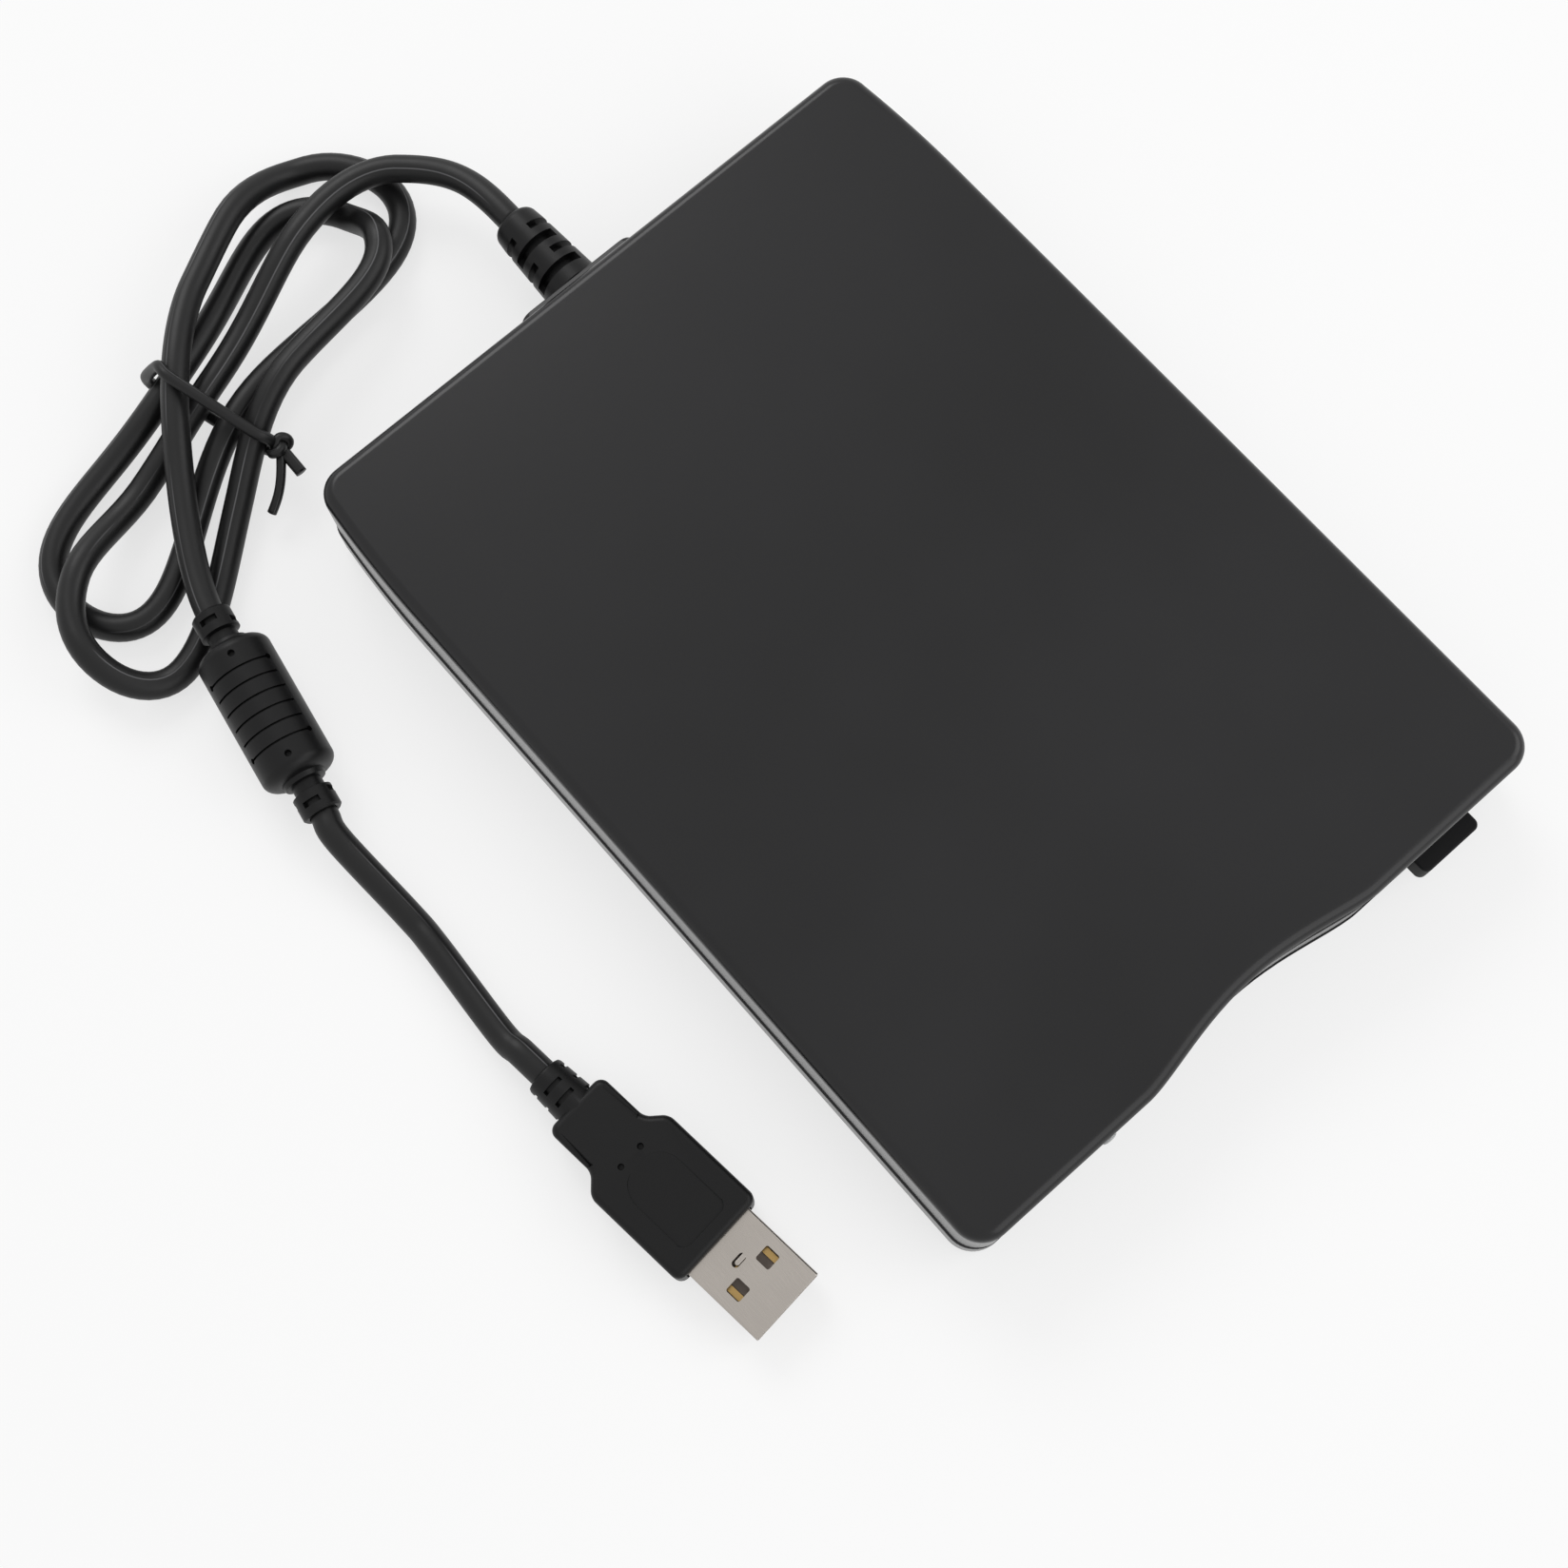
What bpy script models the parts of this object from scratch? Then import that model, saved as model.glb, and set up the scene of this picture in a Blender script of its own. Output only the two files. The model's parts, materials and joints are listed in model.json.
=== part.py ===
"""An external floppy disk drive with its own bundled lead, in metres, +Z up, -Y to the front.

The origin is under the middle of the drive, on the surface that its feet stand on.
"""

import math

import bmesh
import bpy
from mathutils import Matrix, Vector

# Clearances and steps that many pieces share
CLEAR = 0.0003
OVERRUN = 0.001
CIRCLE = 24
SMALL_CIRCLE = 12
COIL_STEPS = 8

# The disk, and the metal that stands round it from the bay outwards
DISK_WIDTH = 0.090
DISK_DEPTH = 0.094
HUB_OFF_CENTRE = 0.0020
HUB_TO_LEADING_EDGE = DISK_DEPTH / 2 - HUB_OFF_CENTRE
DISK_SIDE_PLAY = 0.0004
HOLDER_SHEET = 0.0006
HOLDER_SIDE_GAP = 0.0005
SLIDER_SHEET = 0.0006
SLIDER_SIDE_GAP = 0.0004
CHASSIS_SIDE = 0.0008
CHASSIS_SIDE_GAP = 0.0010
HOLDER_HALF_WIDTH = DISK_WIDTH / 2 + DISK_SIDE_PLAY + HOLDER_SHEET
SLIDER_HALF_WIDTH = HOLDER_HALF_WIDTH + HOLDER_SIDE_GAP + SLIDER_SHEET
CHASSIS_HALF_WIDTH = SLIDER_HALF_WIDTH + SLIDER_SIDE_GAP + CHASSIS_SIDE

# Walls of the casing, and its size round the mechanism
COVER_WALL = 0.0016
ROOF = 0.0016
CASE_FLOOR = 0.0016
LIP_THICKNESS = 0.0008
BASE_WALL = COVER_WALL + CLEAR + LIP_THICKNESS
CASE_WIDTH = 2 * (CHASSIS_HALF_WIDTH + CHASSIS_SIDE_GAP + BASE_WALL)
DISK_SET_BACK = 0.0034
GEAR_DEPTH = 0.0310
REAR_SPACE = 0.0136
CASE_DEPTH = DISK_SET_BACK + DISK_DEPTH + GEAR_DEPTH + REAR_SPACE
CORNER_RADIUS = 0.0045
EDGE_ROUND = 0.0016
BASE_ROUND = 0.0010
REAR_DRAW_IN = 0.0010
DRAW_IN_RUN = 0.024
DRAW_IN_SHARES = (0.0, 0.35, 0.7)
SCOOP_DEPTH = 0.00285
SCOOP_HALF_WIDTH = 0.0200
SCOOP_FULLNESS = 1.25
SCOOP_STEPS = 20
CORNER_STEPS = 5

# What stands proud of the casing, front and rear, and where that puts its faces
BUTTON_PROUD = 0.0025
BUSHING_PROUD = 0.00125
CASE_Y = (BUTTON_PROUD - BUSHING_PROUD) / 2
FRONT_Y = CASE_Y - CASE_DEPTH / 2
REAR_Y = CASE_Y + CASE_DEPTH / 2
BAY_REAR_Y = FRONT_Y + DISK_SET_BACK + DISK_DEPTH
CHASSIS_REAR_Y = REAR_Y - REAR_SPACE
SPINDLE_Y = BAY_REAR_Y - HUB_TO_LEADING_EDGE

# Levels, from the floor up
CASE_BASE = 0.0008
UNDER_CHASSIS = 0.0010
CHASSIS_FLOOR = 0.0008
UNDER_HOLDER = 0.0046
BAY_HEIGHT = 0.0050
ABOVE_HOLDER = 0.0008
SHIELD_THICKNESS = 0.0004
ABOVE_SHIELD = 0.0004
INNER_FLOOR_Z = CASE_BASE + CASE_FLOOR
CHASSIS_FLOOR_Z = INNER_FLOOR_Z + UNDER_CHASSIS
CHASSIS_FLOOR_TOP = CHASSIS_FLOOR_Z + CHASSIS_FLOOR
HOLDER_BASE_Z = CHASSIS_FLOOR_TOP + UNDER_HOLDER
BAY_FLOOR_Z = HOLDER_BASE_Z + HOLDER_SHEET
HOLDER_TOP_Z = BAY_FLOOR_Z + BAY_HEIGHT + HOLDER_SHEET
CHASSIS_TOP_Z = HOLDER_TOP_Z + ABOVE_HOLDER
SHIELD_Z = CHASSIS_TOP_Z + CLEAR
INNER_ROOF_Z = SHIELD_Z + SHIELD_THICKNESS + ABOVE_SHIELD
CASE_TOP = INNER_ROOF_Z + ROOF

# Seam between the two halves of the casing
SEAM_RISE = 0.0062
SEAM_Z = CASE_BASE + SEAM_RISE
SEAM_GAP = 0.0004
LIP_RISE = 0.0014

# Case screws and their bosses
SCREW_RADIUS = 0.0011
SCREW_HEAD_RADIUS = 0.0021
SCREW_HEAD_THICKNESS = 0.0009
PILOT_RADIUS = SCREW_RADIUS + CLEAR
HEAD_WELL_RADIUS = SCREW_HEAD_RADIUS + CLEAR
HEAD_WELL_DEPTH = SCREW_HEAD_THICKNESS + CLEAR
BOSS_WALL = 0.0017
BOSS_RADIUS = PILOT_RADIUS + BOSS_WALL
BOSS_TO_WALL = 0.0012
REAR_SCREW_X = CASE_WIDTH / 2 - BASE_WALL - BOSS_TO_WALL - BOSS_RADIUS
REAR_SCREW_TO_REAR = 0.0076
REAR_SCREW_Y = REAR_Y - REAR_SCREW_TO_REAR
REAR_BOSS_SPLIT_Z = SEAM_Z + LIP_RISE - CLEAR
REAR_SCREW_BITE = 0.0043
REAR_SCREW_TOP = REAR_BOSS_SPLIT_Z + REAR_SCREW_BITE
FRONT_SCREW_BITE = 0.0042
FRONT_SCREW_TOP = INNER_FLOOR_Z + FRONT_SCREW_BITE

# Rubber feet
FOOT_RADIUS = 0.0050
FOOT_SINK = 0.0005
FOOT_WELL_DEPTH = FOOT_SINK + CLEAR
FOOT_INSET = 0.0110
FOOT_X = CASE_WIDTH / 2 - FOOT_INSET
FRONT_FOOT_TO_FRONT = 0.0160
REAR_FOOT_TO_REAR = 0.0200
FRONT_FOOT_Y = FRONT_Y + FRONT_FOOT_TO_FRONT
REAR_FOOT_Y = REAR_Y - REAR_FOOT_TO_REAR

# Front bezel and its disk slot
BEZEL_THICKNESS = 0.0018
BEZEL_SET_BACK = 0.00025
BEZEL_BESIDE_SLOT = 0.0025
SLOT_SIDE_PLAY = 0.0007
SLOT_HEIGHT = 0.0046
SLOT_HALF_WIDTH = DISK_WIDTH / 2 + SLOT_SIDE_PLAY
BEZEL_HALF_WIDTH = SLOT_HALF_WIDTH + BEZEL_BESIDE_SLOT
SLOT_BOTTOM = BAY_FLOOR_Z
SLOT_TOP = SLOT_BOTTOM + SLOT_HEIGHT

# LED lens, and the bezel's screw lugs beside it
LENS_FROM_SIDE = 0.0213
LENS_RADIUS = 0.0012
LENS_PROUD = 0.0004
LENS_ABOVE_CHASSIS = 0.0018
LENS_X = LENS_FROM_SIDE - BEZEL_HALF_WIDTH
LENS_Z = CHASSIS_FLOOR_TOP + LENS_ABOVE_CHASSIS
LED_SIZE = 0.0030
LUG_HALF_WIDTH = 0.0030
LUG_DEPTH = 0.0070
LUG_ROOF = 0.0018
LUG_TO_LENS = 0.0032
LUG_TOP = FRONT_SCREW_TOP + LUG_ROOF
FRONT_SCREW_X = -LENS_X - LENS_RADIUS - LUG_TO_LENS - LUG_HALF_WIDTH
FRONT_SCREW_Y = FRONT_Y + BEZEL_SET_BACK + BEZEL_THICKNESS / 2 + LUG_DEPTH - LUG_HALF_WIDTH

# Slot door, hung on a pin behind the slot
DOOR_BARREL_RADIUS = 0.0011
DOOR_ABOVE_SLOT = 0.0012
DOOR_THICKNESS = 0.0008
DOOR_LAP = 0.0001
DOOR_BEHIND_BEZEL = 0.0004
DOOR_WING_DROP = 0.0020
DOOR_PIN_RADIUS = 0.0005
EAR_THICKNESS = 0.0012
EAR_HALF_DEPTH = 0.0012
EAR_OUTSIDE_SLOT = 0.0001
DOOR_SPRING_RADIUS = 0.00095
DOOR_SPRING_WIRE = 0.0001
DOOR_SPRING_TURNS = 2
DOOR_SPRING_SPACE = 0.0020
DOOR_AXIS_Y = (
    FRONT_Y + BEZEL_SET_BACK + SCOOP_DEPTH + BEZEL_THICKNESS + DOOR_BEHIND_BEZEL + DOOR_BARREL_RADIUS
)
DOOR_AXIS_Z = SLOT_TOP + DOOR_ABOVE_SLOT
DOOR_DROP = DOOR_AXIS_Z - SLOT_BOTTOM + DOOR_LAP
EAR_X = SLOT_HALF_WIDTH + EAR_OUTSIDE_SLOT - EAR_THICKNESS / 2
DOOR_HALF_WIDTH = EAR_X - EAR_THICKNESS / 2 - DOOR_SPRING_SPACE
DOOR_PIN_OVERHANG = 0.0010
DOOR_PIN_HALF_LENGTH = EAR_X + EAR_THICKNESS / 2 + DOOR_PIN_OVERHANG

# Disk holder
DOOR_SWING_GAP = 0.0006
HOLDER_BEHIND_DISK = 0.0016
HOLDER_FLANGE = 0.0035
HOLDER_TAB_X = 0.0200
HEAD_SLOT_HALF_WIDTH = 0.0070
HEAD_SLOT_DEPTH = 0.0270
HOLDER_FRONT_Y = DOOR_AXIS_Y + DOOR_DROP + DOOR_SWING_GAP
HOLDER_REAR_Y = BAY_REAR_Y + HOLDER_BEHIND_DISK

# Chassis of the mechanism, and the shield over it
BEZEL_TO_CHASSIS = 0.0012
CHASSIS_FRONT_Y = FRONT_SCREW_Y + LUG_HALF_WIDTH + BEZEL_TO_CHASSIS
CHASSIS_SCREW_INSET = 0.0043
CHASSIS_SCREW_X = CHASSIS_HALF_WIDTH - CHASSIS_SCREW_INSET
CHASSIS_SCREW_Y = CHASSIS_REAR_Y - CHASSIS_SCREW_INSET
PAD_RADIUS = 0.0030
SHIELD_FRONT_INSET = 0.0046
SHIELD_REAR_INSET = 0.0060
SHIELD_FRONT_Y = CHASSIS_FRONT_Y + SHIELD_FRONT_INSET
SHIELD_REAR_Y = CHASSIS_REAR_Y - SHIELD_REAR_INSET
LED_Y = CHASSIS_FRONT_Y + LED_SIZE / 2

# Eject slider, its button and spring
SLIDER_ABOVE_CHASSIS = 0.0007
SLIDER_SOLE = 0.0005
SLIDER_BELOW_HOLDER_TOP = 0.0020
SLIDER_BEHIND_CHASSIS = 0.0090
SLIDER_BAR = 0.0060
SLIDER_SHORT_OF_HOLDER = 0.0086
CAM_SLOT_LENGTH = 0.0080
CAM_SLOT_HEIGHT = 0.0020
CAM_SLOT_DROP = 0.0025
CAM_SLOT_SHARES = (0.22, 0.78)
SLIDER_Z = CHASSIS_FLOOR_TOP + SLIDER_ABOVE_CHASSIS
SLIDER_TOP = HOLDER_TOP_Z - SLIDER_BELOW_HOLDER_TOP
SLIDER_FRONT_Y = CHASSIS_FRONT_Y + SLIDER_BEHIND_CHASSIS
SLIDER_REAR_Y = HOLDER_REAR_Y - SLIDER_SHORT_OF_HOLDER
CAM_SLOT_Z = SLIDER_TOP - CAM_SLOT_DROP
BUTTON_FROM_SIDE = 0.0119
BUTTON_WIDTH = 0.0108
BUTTON_HEIGHT = 0.0044
BUTTON_RISE = 0.0005
BUTTON_DEPTH = 0.0110
BUTTON_ROUND = 0.0011
BUTTON_X = BEZEL_HALF_WIDTH - BUTTON_FROM_SIDE
BUTTON_BOTTOM = CHASSIS_FLOOR_Z + BUTTON_RISE
BUTTON_TOP = BUTTON_BOTTOM + BUTTON_HEIGHT
STEM_HALF_WIDTH = 0.0025
STEM_HEIGHT = 0.0010
SPRING_INSET = 0.0063
SPRING_RADIUS = 0.00055
SPRING_WIRE = 0.00015
SPRING_TURNS = 12
SPRING_LENGTH = 0.0220
SPRING_X = SPRING_INSET - CHASSIS_HALF_WIDTH
HOOK_SIZE = 0.0016

# Latch lever and the post that it turns on
LATCH_LENGTH = 0.0160
LATCH_HALF_WIDTH = 0.0020
LATCH_THICKNESS = 0.0010
LATCH_POST_RADIUS = 0.0011
LATCH_HEAD_RADIUS = 0.0017
LATCH_HEAD = 0.0006
LATCH_INSET = 0.0103
LATCH_BEHIND_SLIDER = 0.0040
LATCH_X = LATCH_INSET - CHASSIS_HALF_WIDTH
LATCH_Y = SLIDER_REAR_Y + LATCH_BEHIND_SLIDER + LATCH_LENGTH

# Spindle
STATOR_RADIUS = 0.0160
STATOR_THICKNESS = 0.0007
ROTOR_RADIUS = 0.0180
ROTOR_THICKNESS = 0.0006
HUB_RADIUS = 0.0125
HUB_BELOW_BAY = 0.0008
HUB_TOP = BAY_FLOOR_Z - HUB_BELOW_BAY
SHAFT_RADIUS = 0.0015
STATOR_BORE = SHAFT_RADIUS + CLEAR
DRIVE_PIN_RADIUS = 0.0010
DRIVE_PIN_REACH = 0.0070
DRIVE_PIN_RISE = 0.0003

# Head carriage with its two heads
HEAD_REACH = 0.0395
HEAD_SIZE = 0.0060
LOWER_HEAD_THICKNESS = 0.0004
UPPER_HEAD_THICKNESS = 0.0007
CARRIAGE_ABOVE_CHASSIS = 0.0008
CARRIAGE_THICKNESS = 0.0032
CARRIAGE_BEFORE_HEAD = 0.0036
CARRIAGE_TO_CHASSIS_REAR = 0.0085
CARRIAGE_LEFT_X = -0.0090
CARRIAGE_BESIDE_ROD = 0.0040
HEAD_Y = SPINDLE_Y + HEAD_REACH
CARRIAGE_Z = CHASSIS_FLOOR_TOP + CARRIAGE_ABOVE_CHASSIS
CARRIAGE_TOP = CARRIAGE_Z + CARRIAGE_THICKNESS
CARRIAGE_FRONT_Y = HEAD_Y - CARRIAGE_BEFORE_HEAD
CARRIAGE_REAR_Y = CHASSIS_REAR_Y - CARRIAGE_TO_CHASSIS_REAR
TOWER_HALF_WIDTH = 0.0060
TOWER_DEPTH = 0.0016
TOWER_BELOW_HOLDER_TOP = 0.0001
TOWER_TOP = HOLDER_TOP_Z - TOWER_BELOW_HOLDER_TOP
ARM_HALF_WIDTH = 0.0045
ARM_THICKNESS = 0.0006

# Guide rod, lead screw with its nut, and the motor
ROD_X = 0.0120
ROD_RADIUS = 0.0010
ROD_BEHIND_ROTOR = 0.0015
ROD_TO_CHASSIS_REAR = 0.0050
ROD_Z = CARRIAGE_Z + CARRIAGE_THICKNESS / 2
ROD_FRONT_Y = SPINDLE_Y + ROTOR_RADIUS + ROD_BEHIND_ROTOR
ROD_REAR_Y = CHASSIS_REAR_Y - ROD_TO_CHASSIS_REAR
TAB_THICKNESS = 0.0012
TAB_HALF_WIDTH = 0.0020
TAB_ABOVE_ROD = 0.0004
CARRIAGE_RIGHT_X = ROD_X + CARRIAGE_BESIDE_ROD
LEAD_SCREW_X = -0.0130
LEAD_SCREW_RADIUS = 0.0013
LEAD_SCREW_BEHIND_HOLDER = 0.0014
THREAD_DEPTH = 0.00025
THREAD_RINGS = 8
LEAD_SCREW_FRONT_Y = HOLDER_REAR_Y + LEAD_SCREW_BEHIND_HOLDER
NUT_WALL = 0.0006
NUT_BESIDE_SCREW = 0.0030
NUT_DEPTH = 0.0040
NUT_LEFT_X = LEAD_SCREW_X - NUT_BESIDE_SCREW
MOTOR_RADIUS = 0.0052
MOTOR_LENGTH = 0.0060
MOTOR_TO_CHASSIS_REAR = 0.0010
MOTOR_ABOVE_CHASSIS = 0.0009
MOTOR_COLLAR_RADIUS = 0.0030
MOTOR_COLLAR = 0.0006
SADDLE_HALF_WIDTH = 0.0030
MOTOR_FRONT_Y = CHASSIS_REAR_Y - MOTOR_TO_CHASSIS_REAR - MOTOR_LENGTH
LEAD_SCREW_Z = CHASSIS_FLOOR_TOP + MOTOR_ABOVE_CHASSIS + MOTOR_RADIUS
NUT_BOTTOM = LEAD_SCREW_Z - LEAD_SCREW_RADIUS - NUT_WALL
NUT_TOP = LEAD_SCREW_Z + LEAD_SCREW_RADIUS + NUT_WALL

# Sensor and switches
SENSOR_WIDTH = 0.0040
SENSOR_HEIGHT = 0.0036
SENSOR_BESIDE_CARRIAGE = 0.0015
SENSOR_X = CARRIAGE_RIGHT_X + SENSOR_BESIDE_CARRIAGE + SENSOR_WIDTH / 2
SENSOR_Y = CARRIAGE_REAR_Y - SENSOR_WIDTH
SWITCH_INSET = 0.0090
SWITCH_BEHIND_HOLDER_FRONT = 0.0176
SWITCH_SIZE = 0.0050
SWITCH_BODY = 0.0018
SWITCH_BUTTON_RADIUS = 0.0008
SWITCH_BUTTON_RISE = 0.0004
SWITCH_X = HOLDER_HALF_WIDTH - SWITCH_INSET
SWITCH_Y = HOLDER_FRONT_Y + SWITCH_BEHIND_HOLDER_FRONT

# Boards and what stands on them
BOARD_THICKNESS = 0.0012
BOARD_Z = CHASSIS_FLOOR_TOP + CLEAR
PART_Z = BOARD_Z + BOARD_THICKNESS + CLEAR
BOARD_TO_SENSOR = 0.0025
BOARD_TO_CHASSIS_SIDE = 0.0015
BOARD_BEHIND_HOLDER = 0.0024
BOARD_TO_SCREW = 0.0006
MAIN_BOARD_X = (
    SENSOR_X + SENSOR_WIDTH / 2 + BOARD_TO_SENSOR,
    CHASSIS_HALF_WIDTH - CHASSIS_SIDE - BOARD_TO_CHASSIS_SIDE,
)
MAIN_BOARD_FRONT_Y = HOLDER_REAR_Y + BOARD_BEHIND_HOLDER
MAIN_BOARD_REAR_Y = CHASSIS_SCREW_Y - SCREW_HEAD_RADIUS - BOARD_TO_SCREW
CHIP_THICKNESS = 0.0014
FLEX_LANDING = 0.0086
DRIVER_SHORTER = 0.0020
CONTROLLER_SIZE = MAIN_BOARD_X[1] - MAIN_BOARD_X[0] - CHIP_THICKNESS - FLEX_LANDING
DRIVER_LENGTH = CONTROLLER_SIZE - DRIVER_SHORTER
DRIVER_WIDTH = 0.0050
REAR_BOARD_PAST_MAIN = 0.0060
REAR_BOARD_HALF_WIDTH = MAIN_BOARD_X[0] + REAR_BOARD_PAST_MAIN
REAR_BOARD_GAP = 0.0010
REAR_BOARD_DEPTH = 0.0065
REAR_BOARD_Y = CHASSIS_REAR_Y + REAR_BOARD_GAP + REAR_BOARD_DEPTH / 2
BOARD_RIB = 0.0016
RIB_SINK = 0.0005
RIBBON_WIDTH = 0.0037
RIBBON_THICKNESS = 0.0003
CRYSTAL_LENGTH = 0.0100
CRYSTAL_WIDTH = 0.0035
CONNECTOR_WIDTH = 0.0100
CONNECTOR_DEPTH = 0.0034
CONNECTOR_HEIGHT = 0.0040
BRIDGE_SIZE = 0.0052
CRYSTAL_TO_CONNECTOR = 0.0074
BRIDGE_TO_CONNECTOR = 0.0060
FLEX_WIDTH = 0.0060
FLEX_THICKNESS = 0.0002
FLEX_INSET = 0.0020
FLEX_RISE = 0.0030
FLEX_STEPS = 10
FLEX_Y = MAIN_BOARD_FRONT_Y + FLEX_INSET

# Rear bushing and strain relief
LEAD_X = -0.0006
LEAD_RISE = 0.0082
LEAD_Z = CASE_BASE + LEAD_RISE
BUSHING_HALF_WIDTH = 0.0113
BUSHING_BELOW_LEAD = 0.0051
BUSHING_ABOVE_LEAD = 0.0055
BUSHING_TAPER = 0.0010
BUSHING_NECK_HALF_WIDTH = 0.0084
BUSHING_NECK_HALF_HEIGHT = 0.0041
BUSHING_NECK_DEPTH = BASE_WALL + CLEAR * 2
RELIEF_ROOT_RADIUS = 0.0036
RELIEF_BASE_RADIUS = 0.0047
RELIEF_END_RADIUS = 0.0034
RELIEF_LENGTH = 0.0168
RELIEF_COLLARS = 3
RELIEF_GROOVE = 0.0009
COLLAR_SHARE = 0.55
RELIEF_FLANGE_RADIUS = 0.0046
RELIEF_FLANGE = 0.0012

# Lead: where it is bundled, and the two folds at each end of the bundle
CORD_DIAMETER = 0.0042
CORD_RADIUS = CORD_DIAMETER / 2
CORD_REST = CORD_RADIUS + 0.00005
BUNDLE_X = -0.0510
BUNDLE_Y = 0.0970
BUNDLE_TURN = math.radians(19.6)
# Each value is for one fold, in the order that the cord meets them, top and bottom by turns
FOLD_REACH = (0.0460, 0.0440, 0.0360, 0.0382, 0.0438, 0.0400)
FOLD_MIDDLE = (-0.0080, -0.0094, 0.0002, 0.0002, 0.0015, -0.0160)
FOLD_HALF_WIDTH = (0.0112, 0.0132, 0.0128, 0.0130, 0.0146, 0.0120)
WAIST_MIDDLE = (-0.0015, -0.0026, 0.0036, 0.0023, 0.0046)
PINCH_SHARE = 0.62
STACK = CORD_DIAMETER + 0.0009
# The cord climbs over itself from one half turn to the next: start, full height, end of it, down again
CLIMBS = (
    (-9.0, -8.0, 0.28, 0.48),
    (0.62, 0.78, 0.90, 1.16),
    (1.40, 1.58, 1.86, 2.02),
    (4.14, 4.31, 9.0, 10.0),
)
WAIST_LIFT = 0.0027
WAIST_LIFT_REACH = 0.0140
FIRST_HALF_TURN = 0.06
LAST_HALF_TURN = 4.40
POINTS_PER_LOOP = 24
RUN_OUT_POINTS = 8
RUN_OUT_PULL = 0.0120
LEAD_POINTS = 12
LEAD_PULL_SHARE = 0.42
TAIL_POINTS = 14
TAIL_LANDING_SHARE = 0.75
TAIL_RISE_SHARE = 0.6

# Tie round the waist of the bundle
TIE_RADIUS = 0.0009
TIE_SLACK = 0.0005
TIE_STEPS = 36
TIE_SIDES = 8
KNOT_RADIUS = 0.0019
KNOT_STEPS = 6
# How far each tail reaches along the bundle, across it and up
TIE_TAILS = ((0.0010, -0.0052, -0.0012), (-0.0095, -0.0046, -0.0030))

# Ferrite with a relief at each end
FERRITE_RADIUS = 0.0056
FERRITE_LENGTH = 0.0224
FERRITE_RELIEF_LENGTH = 0.0060
FERRITE_RELIEF_RADIUS = 0.0030
FERRITE_RELIEF_GROOVE = 0.0006
FERRITE_END_ROUND = 0.0012
FERRITE_START = (-0.0730, 0.0706, 0.0072)
FERRITE_HEADING = (-0.178, -0.984, -0.048)
FERRITE_GROOVES = 6
FERRITE_GROOVE_DEPTH = 0.0004
FERRITE_GROOVE_SHARE = 0.35

# Plug
PLUG_START = (-0.0793, -0.0122, 0.0041)
PLUG_HEADING = (0.0995, -0.9950, 0.0)
PLUG_RELIEF_LENGTH = 0.0070
PLUG_RELIEF_RADIUS = 0.0034
PLUG_NECK_LENGTH = 0.0075
PLUG_NECK_HALF_WIDTH = 0.0052
PLUG_BODY_LENGTH = 0.0190
PLUG_HALF_WIDTH = 0.0077
PLUG_HALF_THICKNESS = 0.0040
PLUG_SHOULDER = 0.0020
SHELL_WIDTH = 0.0120
SHELL_HEIGHT = 0.0045
SHELL_LENGTH = 0.0128
SHELL_SHEET = 0.0003
SHELL_WINDOW = 0.0025
SHELL_WINDOW_X = 0.0029
SHELL_WINDOW_BACK = 0.0062
SHELL_TAIL = 0.0040
INSULATOR_THICKNESS = 0.0018
INSULATOR_GAP = 0.0002
CONTACT_WIDTH = 0.0010
CONTACT_THICKNESS = 0.0002
CONTACT_LENGTH = 0.0080
CONTACT_X = (-0.0035, -0.0010, 0.0010, 0.0035)



def clear_scene():
    for item in list(bpy.data.objects):
        bpy.data.objects.remove(item, do_unlink=True)


def material(name, colour, roughness, metallic=0.0):
    made = bpy.data.materials.get(name)
    if made is None:
        made = bpy.data.materials.new(name)
        made.use_nodes = True
        shader = made.node_tree.nodes["Principled BSDF"]
        shader.inputs["Base Color"].default_value = (*colour, 1.0)
        shader.inputs["Roughness"].default_value = roughness
        shader.inputs["Metallic"].default_value = metallic
    return made


def black_plastic():
    return material("black_plastic", (0.030, 0.030, 0.033), 0.45)


def soft_black():
    return material("soft_black", (0.022, 0.022, 0.023), 0.5)


def rubber():
    return material("rubber", (0.02, 0.02, 0.02), 0.85)


def steel():
    return material("steel", (0.55, 0.56, 0.57), 0.35, 1.0)


def sheet_steel():
    return material("sheet_steel", (0.62, 0.63, 0.65), 0.3, 1.0)


def nickel():
    return material("nickel", (0.60, 0.57, 0.53), 0.28, 1.0)


def brass():
    return material("brass", (0.75, 0.55, 0.25), 0.3, 1.0)


def green_board():
    return material("green_board", (0.02, 0.14, 0.06), 0.5)


def chip_black():
    return material("chip_black", (0.02, 0.02, 0.022), 0.5)


def white_plastic():
    return material("white_plastic", (0.75, 0.74, 0.70), 0.5)


def clear_plastic():
    return material("clear_plastic", (0.75, 0.80, 0.80), 0.15)


def amber_film():
    return material("amber_film", (0.55, 0.28, 0.06), 0.4)


def object_of(name, bm, finish, origin=None):
    """One object from a mesh in world places, with its origin moved to the point given."""
    bmesh.ops.recalc_face_normals(bm, faces=bm.faces)
    if origin is None:
        low = Vector(min(v.co[i] for v in bm.verts) for i in range(3))
        high = Vector(max(v.co[i] for v in bm.verts) for i in range(3))
        origin = (low + high) / 2
    origin = Vector(origin)
    bmesh.ops.translate(bm, verts=bm.verts, vec=-origin)
    mesh = bpy.data.meshes.new(name)
    bm.to_mesh(mesh)
    bm.free()
    mesh.shade_smooth()
    mesh.set_sharp_from_angle(angle=math.radians(35))
    mesh.materials.append(finish)
    made = bpy.data.objects.new(name, mesh)
    made.location = origin
    bpy.context.scene.collection.objects.link(made)
    return made


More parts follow.
